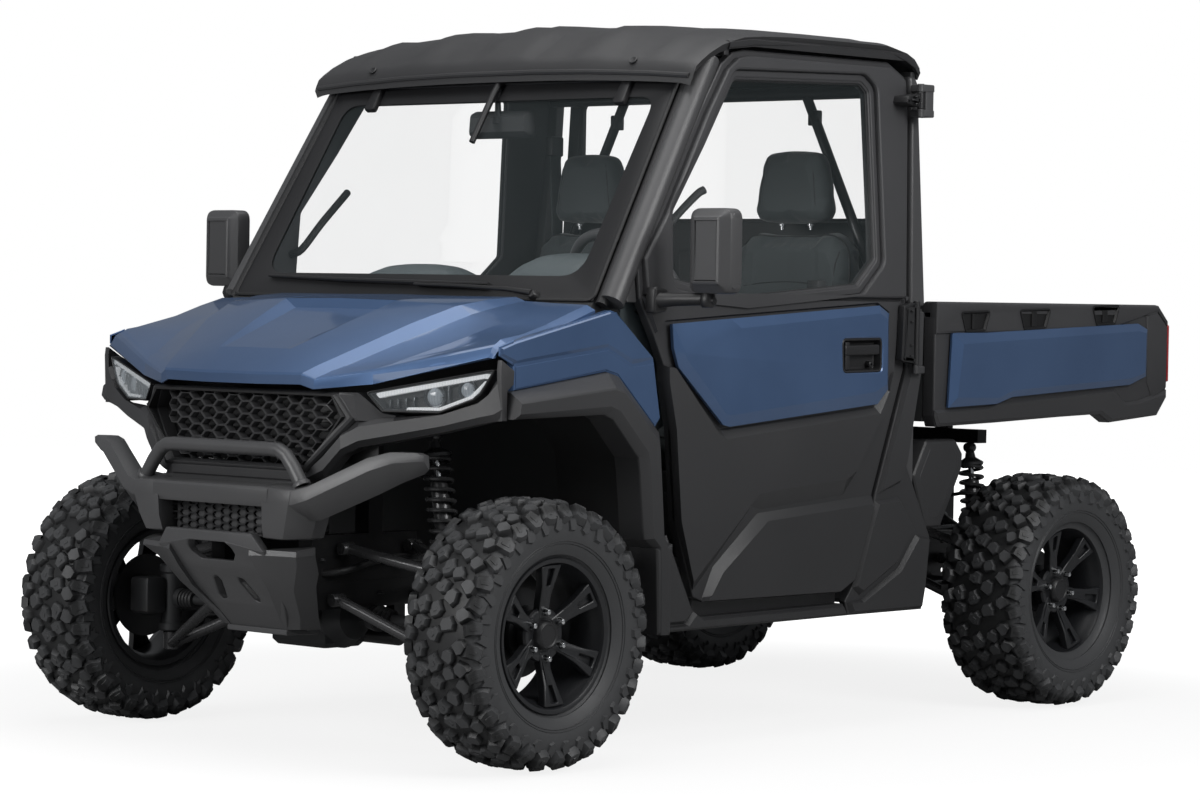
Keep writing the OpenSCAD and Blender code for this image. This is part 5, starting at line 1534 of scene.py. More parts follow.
def rearWallShape():
    wall, inner = cabHalf - .114, .560
    outline = [(-wall, .4645), (wall, .4645), (wall, 1.172), (wall - .037, 1.793), (-wall + .037, 1.793),
        (-wall, 1.172)]
    window = rounded([(-inner, 1.405), (inner, 1.405), (inner, 1.765), (-inner, 1.765)], .030, 5)
    made = Shape().slab(outline, cabBack - .029, cabBack - .0045, [window], edge=.006, back=.004,
        axis="y", holeEdge=.004)
    for s in (1, -1):
        made.slab([(s * (wall + .0005), .4645), (s * (cabHalf - .0685), .4645),
            (s * (cabHalf - .0685), 1.151), (s * (wall + .0005), 1.151)], cabBack - .029, cabBack - .0045,
            edge=.003, back=.002, axis="y")
    for x0, x1 in ((-.52, -.20), (-.16, .16), (.20, .52)):
        panel = rounded([(x0, .60), (x1, .60), (x1, 1.33), (x0, 1.33)], .03, 4)
        rib = Shape().slab(panel, cabBack - .006, cabBack - .0005, [inset(panel, .012)], edge=.002,
            back=0, axis="y")
        made.merge(rib)
        front = Shape().slab(inset(panel, .004), cabBack - .028, cabBack - .0295, [inset(panel, .014)],
            edge=.001, back=0, axis="y")
        made.merge(front)
    header = [(-.62, 1.785), (.62, 1.785), (.62, 1.822), (.31, 1.838), (-.31, 1.838), (-.62, 1.822)]
    made.slab(header, cabBack - .028, cabBack - .012, edge=.002, back=.002, axis="y")
    seal = Shape().slab(inset(window, -.004), cabBack - .0235, cabBack - .0035, [inset(window, .008)],
        edge=.003, back=.003, axis="y")
    pane = Shape().slab(inset(window, .001), cabBack - .0215, cabBack - .0145, edge=.0008, back=.0008,
        axis="y")
    return made, seal, pane


def cowlShape():
    half = cabHalf - .0690
    made = Shape()
    rows = [(cabFront + .0105, 1.1125), (cabFront + .0105, 1.150), (cabFront + .013, 1.158),
        (cabFront + .018, 1.1645), (cabFront + .117, 1.1645), (cabFront + .1175, 1.1125)]
    made.loft([[(x, y, z) for y, z in rows] for x in (-half, half)])
    for k in range(22):
        x = -.60 + k * .030
        made.brick(x, x + .012, cabFront + .026, cabFront + .055, 1.163, 1.1657, .001)
    for s in (1, -1):
        made.lathe([(0, .0002), (0, .0059), (.0315, .0059), (.0315, .0002)],
            (.3405 if s > 0 else -.372, cabFront + .002, 1.164), sides=14)
        made.brick(*sorted((s * .3405, s * .3715)), cabFront + .002, cabFront + .0118, 1.1445, 1.1635, .002)
    return made


def dashShape():
    half = cabHalf - .0745
    profile = [(cabFront + .1265, .902), (cabFront + .1265, 1.180), (cabFront + .140, 1.192),
        (cabFront + .196, 1.220), (cabFront + .300, 1.2225), (cabFront + .330, 1.218),
        (cabFront + .342, 1.200), (cabFront + .352, 1.150), (cabFront + .380, 1.100),
        (cabFront + .384, 1.080), (cabFront + .344, .862), (cabFront + .250, .822)]
    rings = []
    for x in (-half, -half + .02, -.46, -.30, -.10, .10, .18, .24, .32, .40, .48, .54, .60, half - .02, half):
        hoodUp = .024 * math.exp(-((x - .36) / .13) ** 4) - .006
        rings.append([(x, y, z + (hoodUp - .012 if z > 1.19 else 0) * min(1, (z - 1.19) / .02))
            if z > 1.19 else (x, y, z) for y, z in profile])
    made = Shape().loft(rings)
    trim = Shape()
    glove = rounded([(-.60, .93), (-.22, .93), (-.22, 1.06), (-.60, 1.06)], .02, 4)
    tilt = lambda p: (p[0], p[1] + (p[2] - .862) * .18, p[2])
    trim.slab(glove, cabFront + .340, cabFront + .350, edge=.004, back=0, axis="y", bend=tilt)
    trim.slab(rounded([(-.10, .92), (.12, .92), (.12, 1.07), (-.10, 1.07)], .015, 4), cabFront + .340,
        cabFront + .348, edge=.003, back=0, axis="y", bend=tilt)
    for k in range(3):
        for j in range(2):
            trim.slab(rounded([(-.07 + k * .055, .94 + j * .05), (-.03 + k * .055, .94 + j * .05),
                (-.03 + k * .055, .975 + j * .05), (-.07 + k * .055, .975 + j * .05)], .004, 2),
                cabFront + .346, cabFront + .352, edge=.002, back=0, axis="y", bend=tilt)
    cluster = rounded([(.27, 1.112), (.49, 1.112), (.47, 1.190), (.29, 1.190)], .015, 4)
    trim.slab(cluster, cabFront + .336, cabFront + .368, edge=.004, back=0, axis="y",
        bend=lambda p: (p[0], p[1] - (p[2] - 1.112) * .40, p[2]))
    a, b = Vector((.380, cabFront + .330, 1.095)), Vector((.380, cabFront + .455, 1.180))
    trim.tube([a, b], [.0275, .0265], sides=20)
    trim.tube([(.380 + .03, cabFront + .42, 1.155), (.380 + .11, cabFront + .425, 1.175)], [.006, .005],
        sides=8)
    vents = Shape()
    for x in (-.52, -.02, .60):
        ring = rounded([(x - .048, 1.150), (x + .048, 1.150), (x + .044, 1.192), (x - .044, 1.192)], .008, 3)
        vents.slab(ring, cabFront + .340, cabFront + .3600, [inset(ring, .006)], edge=.002, back=0,
            axis="y", bend=lambda p: (p[0], p[1] - (p[2] - 1.15) * .28, p[2]))
        for k in range(4):
            vents.brick(x - .042, x + .042, cabFront + .335, cabFront + .346, 1.158 + k * .008,
                1.1605 + k * .008, .0008)
    return made, trim.merge(vents)


def dashHoods():  # the instrument hood and the pad beside it
    made = Shape()
    for x0, x1, y0, y1, top in ((.190, .585, cabFront + .140, cabFront + .345, 1.296),
            (-.400, .010, cabFront + .170, cabFront + .340, 1.264)):
        rings = []
        for k in range(25):
            u = k / 12 - 1
            h = (top - 1.180) * (1 - abs(u) ** 3.2) ** .55
            x = (x0 + x1) / 2 + (x1 - x0) / 2 * u
            rings.append([(x, y0 + (y1 - y0) * t, 1.178 + h * g)
                for t, g in ((0, 0), (.04, .34), (.14, .62), (.30, .85), (.48, .97), (.66, 1), (.84, .97),
                (.96, .88), (1, .76), (.985, 0))])
        made.loft(rings)
    return made


def steeringWheelShape():
    lean2 = math.atan2(1.180 - 1.095, .455 - .330)
    tilt = math.pi / 2 - lean2
    matrix = Matrix.Translation((.380, cabFront + .455, 1.180)) @ Matrix.Rotation(-tilt, 4,
        "X") @ Matrix.Translation((0, 0, .0003))
    R = .178
    rim, hub = Shape(), Shape()
    path = [(R * math.cos(a), R * math.sin(a), .040) for a in (2 * math.pi * k / 48 for k in range(48))]
    rim.tube(path, .0148, sides=14, closed=True)
    for k in range(24):
        a = 2 * math.pi * k / 24
        rim.tube([((R + dr) * math.cos(a), (R + dr) * math.sin(a), .040 + dz)
            for dr, dz in ((-.0135, -.0070), (-.0150, 0), (-.0135, .0070))], .0012, sides=5)
    hub.lathe([(.0005, .034), (.006, .0395), (.030, .0395), (.040, .0365), (.044, .031), (.0448, .020),
        (.0440, .0004)], (0, 0, 0), axis=(0, 0, 1), sides=32)
    for a in (-90, 30, 150):
        c, s = math.cos(math.radians(a)), math.sin(math.radians(a))
        spoke = Shape().loft([[(r, -w, z), (r, w, z), (r, w * .8, z + h), (r, -w * .8, z + h)]
            for r, w, z, h in ((.030, .019, .026, .016), (.08, .014, .029, .012),
            (.130, .0125, .032, .011), (R - .006, .016, .034, .011))])
        hub.merge(spoke.bent(lambda p: (p[0] * c - p[1] * s, p[0] * s + p[1] * c, p[2])))
    hub.lathe([(.0445, .020), (.0465, .019), (.0470, .0005)], (0, 0, 0), axis=(0, 0, 1), sides=24)
    return Shape().merge(rim, matrix), Shape().merge(hub, matrix)


def floorShape():
    half = cabHalf - .0585
    made = Shape().slab([(-half, .470), (half, .470), (half, cabBack), (-half, cabBack)], .4405, .4638,
        edge=.003, back=.002, axis="z")
    wall = [(.470, .460), (.486, .460), (cabFront + .150, .800), (cabFront + .076, 1.100),
        (cabFront + .060, 1.100), (cabFront + .134, .796)]
    made.slab(wall, -half, half, edge=.002, back=.002)
    y = cabBack - .560
    made.slab(rounded([(-half, .460), (half, .460), (half, .7), (-half, .7)], .006, 2), y + .0155,
        y + .0005, edge=.003, back=.002, axis="y")
    made.slab(rounded([(-half, y + .010), (half, y + .010), (half, cabBack - .060),
        (-half, cabBack - .060)], .006, 2), .6845, .6996, edge=.003, back=.002, axis="z")
    for x in (-.5, -.28, .28, .5):
        made.slab(rounded([(x - .09, .50), (x + .09, .50), (x + .09, .64), (x - .09, .64)], .02, 3),
            y + .001, y - .0015, edge=.001, back=0, axis="y")
    for k in range(18):
        for s in (1, -1):
            x = s * .39
            made.brick(x - .20, x + .20, .56 + k * .024, .568 + k * .024, .463, .4650, .0008)
    made.brick(.30, .345, .555, .575, .55, .66, .006)
    made.brick(.42, .465, .560, .580, .54, .62, .006)
    made.tube([(.322, .548, .62), (.322, .520, .80)], .007, sides=8)
    made.tube([(.442, .553, .60), (.442, .522, .78)], .007, sides=8)
    return made


def makeCab():
    piece("roof_skin", roofSkin(), "chassis", roofGrey, ["roof"], angle=30)
    piece("roof_trim", roofTrim(), "chassis", blackPlastic, angle=35)
    glass, frit, rim, clips, place = windshieldParts()
    piece("windshield_pane", glass, "chassis", glassClear, ["windshield"])
    piece("windshield_border", frit, "chassis", blackPlastic)
    piece("windshield_bead", rim, "chassis", gripRubber, angle=40)
    piece("windshield_clips", clips, "chassis", blackPlastic, angle=35)
    piece("wiper", wiperShape(place), "chassis", blackPlastic, angle=40)
    shell, pane = cabinMirror()
    piece("cabin_mirror", shell, "chassis", softBlack, angle=35)
    piece("cabin_mirror_pane", pane, "chassis", mirrorGlass)
    piece("pillar_tubes", pillarShape(), "chassis", satinGrey, ["cage_pillars"], angle=30)
    piece("cage_tubes", cageShape(), "chassis", steel, ["cage_bars"], angle=35)
    wall, seal, back = rearWallShape()
    piece("rear_bulkhead", wall, "chassis", softBlack, ["rear_wall"], angle=30)
    piece("rear_window_seal", seal, "chassis", gripRubber, angle=40)
    piece("rear_window_pane", back, "chassis", glassClear, ["rear_window"])
    piece("cowl_panel", cowlShape(), "chassis", softBlack, ["cowl"], angle=30)
    dash, trim = dashShape()
    # dash pad and hoods in the lightened dash grey, which carries painted light
    piece("dash_pad", dash, "chassis", dashGreyPaintedLight, ["dashboard"], angle=28)
    piece("dash_hoods", dashHoods(), "chassis", dashGreyPaintedLight, angle=50)
    piece("dash_trim", trim, "chassis", blackPlastic, angle=30)
    ring, hub = steeringWheelShape()
    piece("wheel_grip_ring", ring, "steering_wheel", satinGrey, ["steering_wheel"], angle=50)
    piece("wheel_spokes", hub, "steering_wheel", blackPlastic, angle=32)
    piece("floor_pan", floorShape(), "chassis", softBlack, ["cab_floor"], angle=30)


makeCab()
print("cab made")


# seats

seatSizes = {"x": 0.390, "half": 0.25, "voxel": 0.0066}


def paddedBlock(rings, name):  # a closed block with its faces pointing out
    made = Shape().loft(rings)
    mesh = bpy.data.meshes.new(name)
    mesh.from_pydata([(v[0], v[1] + axleY, v[2]) for v in made.verts], [], made.faces)
    obj = bpy.data.objects.new(name, mesh)
    bpy.context.scene.collection.objects.link(obj)
    work = bmesh.new()
    work.from_mesh(mesh)
    bmesh.ops.recalc_face_normals(work, faces=work.faces)
    work.to_mesh(mesh)
    work.free()
    return obj


def bakeShape(obj):
    bpy.context.view_layer.update()
    plain = bpy.data.meshes.new_from_object(obj.evaluated_get(bpy.context.evaluated_depsgraph_get()))
    obj.modifiers.clear()
    obj.data = plain


def swell(obj, cap):  # the cloth solver fills the block by no more than the cap, then it is smoothed
    remesh = obj.modifiers.new("remesh", "REMESH")
    remesh.mode, remesh.voxel_size = "VOXEL", seatSizes["voxel"] * 1
    bakeShape(obj)
    start = [v.co.copy() for v in obj.data.vertices]
    cloth = obj.modifiers.new("cloth", "CLOTH")
    cloth.settings.quality = 4
    cloth.settings.use_pressure = True
    cloth.settings.uniform_pressure_force = 4.0
    cloth.settings.effector_weights.gravity = 0
    cloth.settings.tension_stiffness = cloth.settings.compression_stiffness = 22
    cloth.point_cache.frame_start, cloth.point_cache.frame_end = 1, 20
    for f in range(1, 21):
        bpy.context.scene.frame_set(f)
    bakeShape(obj)
    bpy.context.scene.frame_set(1)
    for v, s in zip(obj.data.vertices, start):
        d = v.co - s
        if d.length > cap:
            v.co = s + d * (cap / d.length)
    smooth = obj.modifiers.new("smooth", "SMOOTH")
    smooth.factor, smooth.iterations = 0.5, 6
    sub = obj.modifiers.new("finer", "SUBSURF")
    sub.levels = sub.render_levels = 1
    bakeShape(obj)
    return obj


def clampBox(obj, low, high):
    for v in obj.data.vertices:
        for k in range(3):
            v.co[k] = min(max(v.co[k], low[k]), high[k])


def cushionRings(cx):
    y0, y1, z = cabBack - .595, cabBack - .200, .700
    sections = [(0, .60), (.02, .86), (.06, .97), (.5, 1), (.94, .97), (.98, .86), (1, .60)]
    rings = []
    for t, fill in sections:
        x = cx - .238 + t * .476
        bolster = .016 * math.exp(-((abs(t - .5) - .40) / .09) ** 2)
        m = (1 - fill) * .09
        rings.append([(x, y0 + .008 + m, z + .040), (x, y0 + .008 + m, z + .095 - m),
            (x, y0 + .045 + m, z + .126 - m * .5 + bolster),
            (x, (y0 + y1) / 2, z + .122 + bolster - m * .4), (x, y1 - .01 - m, z + .112 + bolster - m),
            (x, y1 + .010 - m, z + .030), (x, y1 + .004 - m, z + .006), (x, y0 + .05 + m, z + .006)])
    return rings


def backRings(cx):
    y1 = cabBack - .200
    spine = [(0.0, y1 + .030, y1 + .088, .220), (.05, y1 + .026, y1 + .094, .232),
        (.30, y1 + .022, y1 + .098, .236), (.60, y1 + .018, y1 + .104, .236),
        (.80, y1 + .013, y1 + .110, .232), (.92, y1 + .015, y1 + .108, .214),
        (.975, y1 + .026, y1 + .100, .180), (1, y1 + .044, y1 + .090, .150)]
    rings = []
    for t, front, back, half in spine:
        z = .712 + t * .672
        ring = []
        for x, share in ((-1, .55), (-.90, .10), (-.72, .04), (-.5, .16), (0, .22), (.5, .16), (.72, .04),
                (.90, .10), (1, .55)):
            ring.append((cx + x * half, front + (back - front) * share, z))
        ring += [(cx + x * half, back - (back - front) * share, z)
            for x, share in ((.96, .12), (.6, .0), (0, 0), (-.6, .0), (-.96, .12))]
        rings.append(ring)
    return rings


def headrestRings(cx):
    y0, y1 = cabBack - .194, cabBack - .098
    rings = []
    for z, half, grow in ((1.400, .108, .55), (1.406, .122, .8), (1.43, .132, 1), (1.50, .122, 1),
            (1.56, .108, .95), (1.585, .098, .8), (1.596, .082, .55)):
        mid, deep = (y0 + y1) / 2, (y1 - y0) / 2 * grow * .9
        ring = [(cx + half * math.copysign(abs(math.cos(a)) ** .42,
            math.cos(a)), mid + deep * math.copysign(abs(math.sin(a)) ** .55, math.sin(a)) - .004, z)
            for a in (2 * math.pi * k / 20 for k in range(20))]
        rings.append(ring)
    return rings


def seamTube(points, radius=.0028, closed=False):
    return Shape().tube(points, radius, sides=6, closed=closed, smooth=4)


def nearest(obj, points, lift=.0005):  # lays a line on a cushion's face
    laid = []
    for p in points:
        world = Vector((p[0], p[1] + axleY, p[2]))
        hit, place, normal = obj.closest_point_on_mesh(world)[:3]
        q = place + normal * lift if hit else world
        laid.append((q.x, q.y - axleY, q.z))
    return laid


def makeSeats():
    groups = {"seat_cushion_pads": (cushionRings, "seat_cushions", .024),
        "seat_back_pads": (backRings, "seat_backs", .022),
        "headrest_pads": (headrestRings, "headrests", .012)}
    pads = {}
    for name, (maker, node, cap) in groups.items():
        low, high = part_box(node)
        objs = []
        for s in (1, -1):
            obj = paddedBlock(maker(s * seatSizes["x"]), name + ("_left" if s > 0 else "_right"))
            swell(obj, cap)
            half = {"seat_cushions": .250, "seat_backs": .240, "headrests": .148}[node]
            clampBox(obj, (s * seatSizes["x"] - half, low[1] + .001, low[2] + .001),
                (s * seatSizes["x"] + half, high[1] - .001, high[2] - .001))
            objs.append(obj)
        for k, obj in enumerate(objs):
            settle(obj, "chassis", cloth, [node] if k == 0 else [], 60)
        pads[name] = objs
    seams, posts = Shape(), Shape()
    for k, s in enumerate((1, -1)):
        cx = s * seatSizes["x"]
        back, head, base = pads["seat_back_pads"][k], pads["headrest_pads"][k], pads["seat_cushion_pads"][k]
        fy = cabBack - .20 - .02
        outer = [(cx + x * .232, fy + .05, z)
            for x, z in ((-.98, .80), (-1.0, 1.0), (-1.0, 1.2), (-.97, 1.30), (-.86, 1.365), (-.6, 1.384),
            (-.3, 1.388), (.3, 1.388), (.6, 1.384), (.86, 1.365), (.97, 1.30), (1, 1.2), (1, 1.0),
            (.98, .80))]
        seams.merge(seamTube(nearest(back, outer, .001), .0030))
        for side in (-1, 1):
            bolster = [(cx + side * x, fy - .01, z)
                for x, z in ((.150, .86), (.155, .98), (.165, 1.10), (.178, 1.20), (.198, 1.28),
                (.216, 1.33))]
            seams.merge(seamTube(nearest(back, bolster, -.0004), .0020))
            rim = [(cx + side * x, cabBack - .210, z)
                for x, z in ((.112, 1.412), (.110, 1.46), (.100, 1.53), (.090, 1.58))]
            seams.merge(seamTube(nearest(head, rim, -.0003), .0018))
            posts.lathe([(0, .0065), (.028, .0065)], (cx + side * .052, cabBack - .146, 1.378),
                axis=(0, 0, 1), sides=14)
            posts.lathe([(0, .011), (.006, .011), (.008, .008), (.008, .0066)],
                (cx + side * .052, cabBack - .146, 1.389), axis=(0, 0, 1), sides=16)
            line = [(cx + side * x, y, .85)
                for x, y in ((.160, cabBack - .575), (.168, cabBack - .50), (.172, cabBack - .40),
                (.170, cabBack - .25))]
            seams.merge(seamTube(nearest(base, line, -.0004), .0020))
        for z in (.98, 1.10, 1.22):
            seams.merge(seamTube(nearest(back, [(cx + x, fy - .01, z + .01 * math.cos(x * 12))
                for x in (-.15, -.08, 0, .08, .15)], -.0005), .0017))
        piping = [(cx + x * .236, cabBack - .585, .80) for x in (-.95, -.5, 0, .5, .95)]
        seams.merge(seamTube(nearest(base, piping, .0006), .0028))
    piece("seat_seams", seams, "chassis", softBlack, angle=60)
    piece("headrest_posts", posts, "chassis", chrome, angle=40)
    belts, buckles = Shape(), Shape()
    for s in (1, -1):
        x = s * (cabHalf - .122)
        strap = [(x - s * .02, cabBack - .085, 1.62), (x - s * .025, cabBack - .075, 1.40),
            (x - s * .02, cabBack - .070, 1.10), (x - s * .012, cabBack - .080, .80),
            (x - s * .006, cabBack - .09, .715)]
        belts.merge(Shape().loft([[(px - .003, py - .022, pz), (px + .003, py - .022, pz),
            (px + .003, py + .022, pz), (px - .003, py + .022, pz)] for px, py, pz in strap]))
        buckles.brick(x - s * .02 - .014, x - s * .02 + .014, cabBack - .112, cabBack - .060, 1.60, 1.66,
            .006)
        buckles.brick(x - .016, x + .012, cabBack - .120, cabBack - .066, .702, .76, .006)
        inner = s * .12
        buckles.brick(inner - .012, inner + .012, cabBack - .27, cabBack - .235, .702, .86, .006)
    piece("seat_belts", belts, "chassis", cloth, angle=40)
    piece("belt_buckles", buckles, "chassis", blackPlastic, angle=35)


makeSeats()
print("seats made")


# bed, tailgate and lower sides

bedSizes = {"out": 0.7615, "in": 0.710, "low": 0.828, "rail": 1.182}


def bedSide():
    out, inn = bedSizes["out"], bedSizes["in"]
    base = [(bedFront, 1.138), (bedFront, .860), (bedFront + .012, .829), (wheelBase - .360, .837),
        (wheelBase - .040, .849), (wheelBase + .170, .855), (wheelBase + .225, .829),
        (bedBack - .062, .847), (bedBack - .0125, .901), (bedBack - .0125, 1.131),
        (bedBack - .040, 1.150)]
    made = Shape().slab(rounded(base, .004, 2), inn + .001, out - .010, edge=.004, back=.003)
    # rail cap, flared out over the side, with three stake pockets
    cap = [(bedFront + .0005, 1.180), (bedBack - .066, 1.1795), (bedBack - .014, 1.133),
        (bedBack - .014, 1.118), (bedBack - .070, 1.162), (bedBack - .30, 1.112), (bedBack - .65, 1.098),
        (bedFront + .0005, 1.090)]
    holes = []
    for y0, y1, z in ((1.746, 1.878, 1.129), (2.028, 2.174, 1.137), (2.392, 2.527, 1.151)):
        y0, y1 = y0 + bedFront - 1.632, y1 + bedFront - 1.632
        holes.append(rounded([(y0 + .022, z - .030), (y1 - .022, z - .026), (y1, z + .026),
            (y0, z + .022)], .007, 3))
    made.slab(cap, out - .030, out - .003, holes, edge=.007, back=.002, steps=3, holeEdge=.004)
    cups = Shape()
    for hole in holes:
        cup = inset(hole, -.001)
        cups.plate([[(out - .028, cup), (out - .008, cup), (out - .0005, inset(hole, -.004)),
            (out - .0002, inset(hole, .000)), (out - .006, inset(hole, .004)),
            (out - .024, inset(hole, .007))]])
        cups.slab(inset(hole, .0005), out - .014, out - .0088, edge=.0005, back=.0005)
        ys = [p[0] for p in hole]
        zs = [p[1] for p in hole]
        cups.brick(out - .012, out - .0040, sum(ys) / len(ys) - .013, sum(ys) / len(ys) + .013,
            min(zs) + .004, max(zs) - .006, .003)
    top = [(inn + .0005, bedFront + .001), (out - .006, bedFront + .001), (out - .006, bedBack - .070),
        (inn + .0005, bedBack - .070)]
    made.slab(top, 1.150, 1.1815, edge=.007, back=0, axis="z", steps=3)
    # lower trim with the step over the wheel arch
    trim = [(bedFront + .0005, .876), (1.880, .884), (1.935, .897), (1.982, .899), (2.518, .930),
        (2.575, .889), (2.640, .893), (bedBack - .0135, .925), (bedBack - .0135, .902),
        (bedBack - .063, .848), (wheelBase + .226, .830), (wheelBase + .171, .8555),
        (wheelBase - .040, .8495), (wheelBase - .360, .8375), (bedFront + .014, .830),
        (bedFront + .0005, .858)]
    crest = [(bedFront + .006, .868), (1.878, .876), (1.934, .889), (1.983, .891), (2.514, .921),
        (2.574, .880), (2.645, .884), (bedBack - .024, .911), (bedBack - .024, .905),
        (bedBack - .070, .858), (wheelBase + .228, .840), (wheelBase + .173, .8655),
        (wheelBase - .040, .8595), (wheelBase - .360, .8475), (bedFront + .020, .840),
        (bedFront + .006, .862)]
    made.plate([[(out - .014, trim), (out - .008, trim), (out - .001, crest)]])
    corner = [(bedBack - .128, 1.150), (bedBack - .068, 1.160), (bedBack - .0145, 1.117),
        (bedBack - .0145, .930), (bedBack - .090, .898), (bedBack - .118, .945)]
    made.slab(corner, out - .014, out - .004, edge=.009, back=0, steps=3)
    return made, cups


def bedTub():
    inn = bedSizes["in"]
    made = Shape()
    made.slab(rounded([(-inn - .001, 1.176), (inn + .001, 1.176), (inn + .001, .843),
        (-inn - .001, .843)], .004, 2), bedFront + .0335, bedFront + .0005, edge=.004, back=.004,
        axis="y")
    made.slab([(-inn - .001, bedFront + .002), (inn + .001, bedFront + .002),
        (inn + .001, bedBack - .0625), (-inn - .001, bedBack - .0625)], .8565, .892, edge=.002, back=.002,
        axis="z")
    for k in range(13):
        x = -.62 + k * .1033
        made.slab(rounded([(x - .020, bedFront + .06), (x + .020, bedFront + .06),
            (x + .020, bedBack - .09), (x - .020, bedBack - .09)], .012, 3), .890, .8958, edge=.004,
            back=0, axis="z")
    for x0, x1 in ((-.60, -.24), (-.20, .20), (.24, .60)):
        panel = rounded([(x0, .93), (x1, .93), (x1, 1.13), (x0, 1.13)], .02, 3)
        made.slab(panel, bedFront + .0015, bedFront - .000, [inset(panel, .012)], edge=.001, back=0, axis="y")
    for s in (1, -1):
        for k in range(4):
            y = bedFront + .12 + k * .27
            made.brick(*sorted((s * (inn - .002), s * (inn + .006))), y, y + .14, .93, 1.12, .003)
        made.lathe([(0, .0003), (0, .0138), (.0495, .0138), (.0495, .0003)],
            (.1402 if s > 0 else -.1898, wheelBase + .190, bedSizes["low"] - .030), sides=20)
        made.brick(*sorted((s * .1405, s * .1895)), wheelBase + .177, wheelBase + .203, .798, .858, .003)
    for x in (-.45, -.15, .15, .45):
        made.brick(x - .018, x + .018, bedFront + .04, bedBack - .08, .8565 - .012, .8575, .003)
    return made


def bedInsert():
    out = bedSizes["out"] + .0005
    rim = [(bedFront + .052, .883), (bedFront + .283, .891), (bedFront + .357, .910),
        (bedBack - .224, .941), (bedBack - .138, .966), (bedBack - .136, 1.108), (bedBack - .186, 1.125),
        (bedFront + .221, 1.095), (bedFront + .103, 1.0945), (bedFront + .066, 1.093)]
    crest = [(bedFront + .084, .912), (bedFront + .280, .909), (bedFront + .350, .930),
        (bedBack - .228, .961), (bedBack - .156, .978), (bedBack - .154, 1.096), (bedBack - .190, 1.102),
        (bedFront + .230, 1.068), (bedFront + .140, 1.064), (bedFront + .108, 1.062)]
    return Shape().plate([[(out - .006, inset(rim, .001)), (out + .0015, rim),
        (out + .0030, inset(rim, .0012)), (out + .0112, crest)]])


def tailgateShape():
    inn = bedSizes["in"] - .0065
    z0, z1, y0, y1 = bedSizes["low"] + .0405, bedSizes["rail"] - .0105, bedBack - .0415, bedBack - .0005
    outline = rounded([(-inn, z0), (inn, z0), (inn, z1), (-inn, z1)], .010, 3)
    made = Shape().slab(outline, y0, y1 - .006, edge=.004, back=.004, axis="y")
    field = rounded([(-inn + .05, z0 + .05), (inn - .05, z0 + .05), (inn - .05, z1 - .05),
        (-inn + .05, z1 - .05)], .03, 4)
    made.slab(inset(outline, .004), y1 - .010, y1, [field], edge=.005, back=0, axis="y", steps=3,
        holeEdge=.006)
    for x0, x1 in ((-.56, -.20), (.20, .56)):
        rib = rounded([(x0, z0 + .085), (x1, z0 + .085), (x1, z1 - .085), (x0, z1 - .085)], .02, 3)
        made.slab(rib, y1 - .008, y1 - .0035, edge=.003, back=0, axis="y")
    grip = rounded([(-.105, z1 - .135), (.105, z1 - .135), (.105, z1 - .075), (-.105, z1 - .075)], .014, 4)
    made.slab(grip, y1 - .008, y1 - .0005, [inset(grip, .012)], edge=.003, back=0, axis="y", holeEdge=.003)
    made.slab(rounded([(-.085, z1 - .100), (.085, z1 - .100), (.085, z1 - .088), (-.085, z1 - .088)],
        .004, 2), y1 - .010, y1 - .002, edge=.003, back=0, axis="y")
    for k in range(9):
        x = -.60 + k * .15
        made.brick(x - .03, x + .03, y0 - .0004 + .0005, y0 + .004, z0 + .03, z1 - .03, .002)
    for s in (1, -1):
        made.lathe([(0, .0003), (0, .0098), (.0064, .0098), (.0064, .0003)],
            (inn + .0001 if s > 0 else -inn - .0065, bedBack - .016, bedSizes["low"] + .070), sides=18)
    return made


def tailLampShape():
    made = Shape()
    x0, x1 = bedSizes["in"] + .0085, bedSizes["out"] - .0075
    y0, y1, z0, z1 = bedBack - .0117, bedBack - .0022, bedSizes["low"] + .121, bedSizes["rail"] - .061
    outline = rounded([(x0, z0), (x1, z0), (x1, z1), (x0, z1)], .005, 3)
    made.slab(outline, y0, y1, edge=.003, back=.001, axis="y", steps=3)
    for k in range(6):
        z = z0 + .014 + k * .028
        made.brick(x0 + .005, x1 - .005, y1 - .002, y1 + .0003, z, z + .020, .0015)
    return made


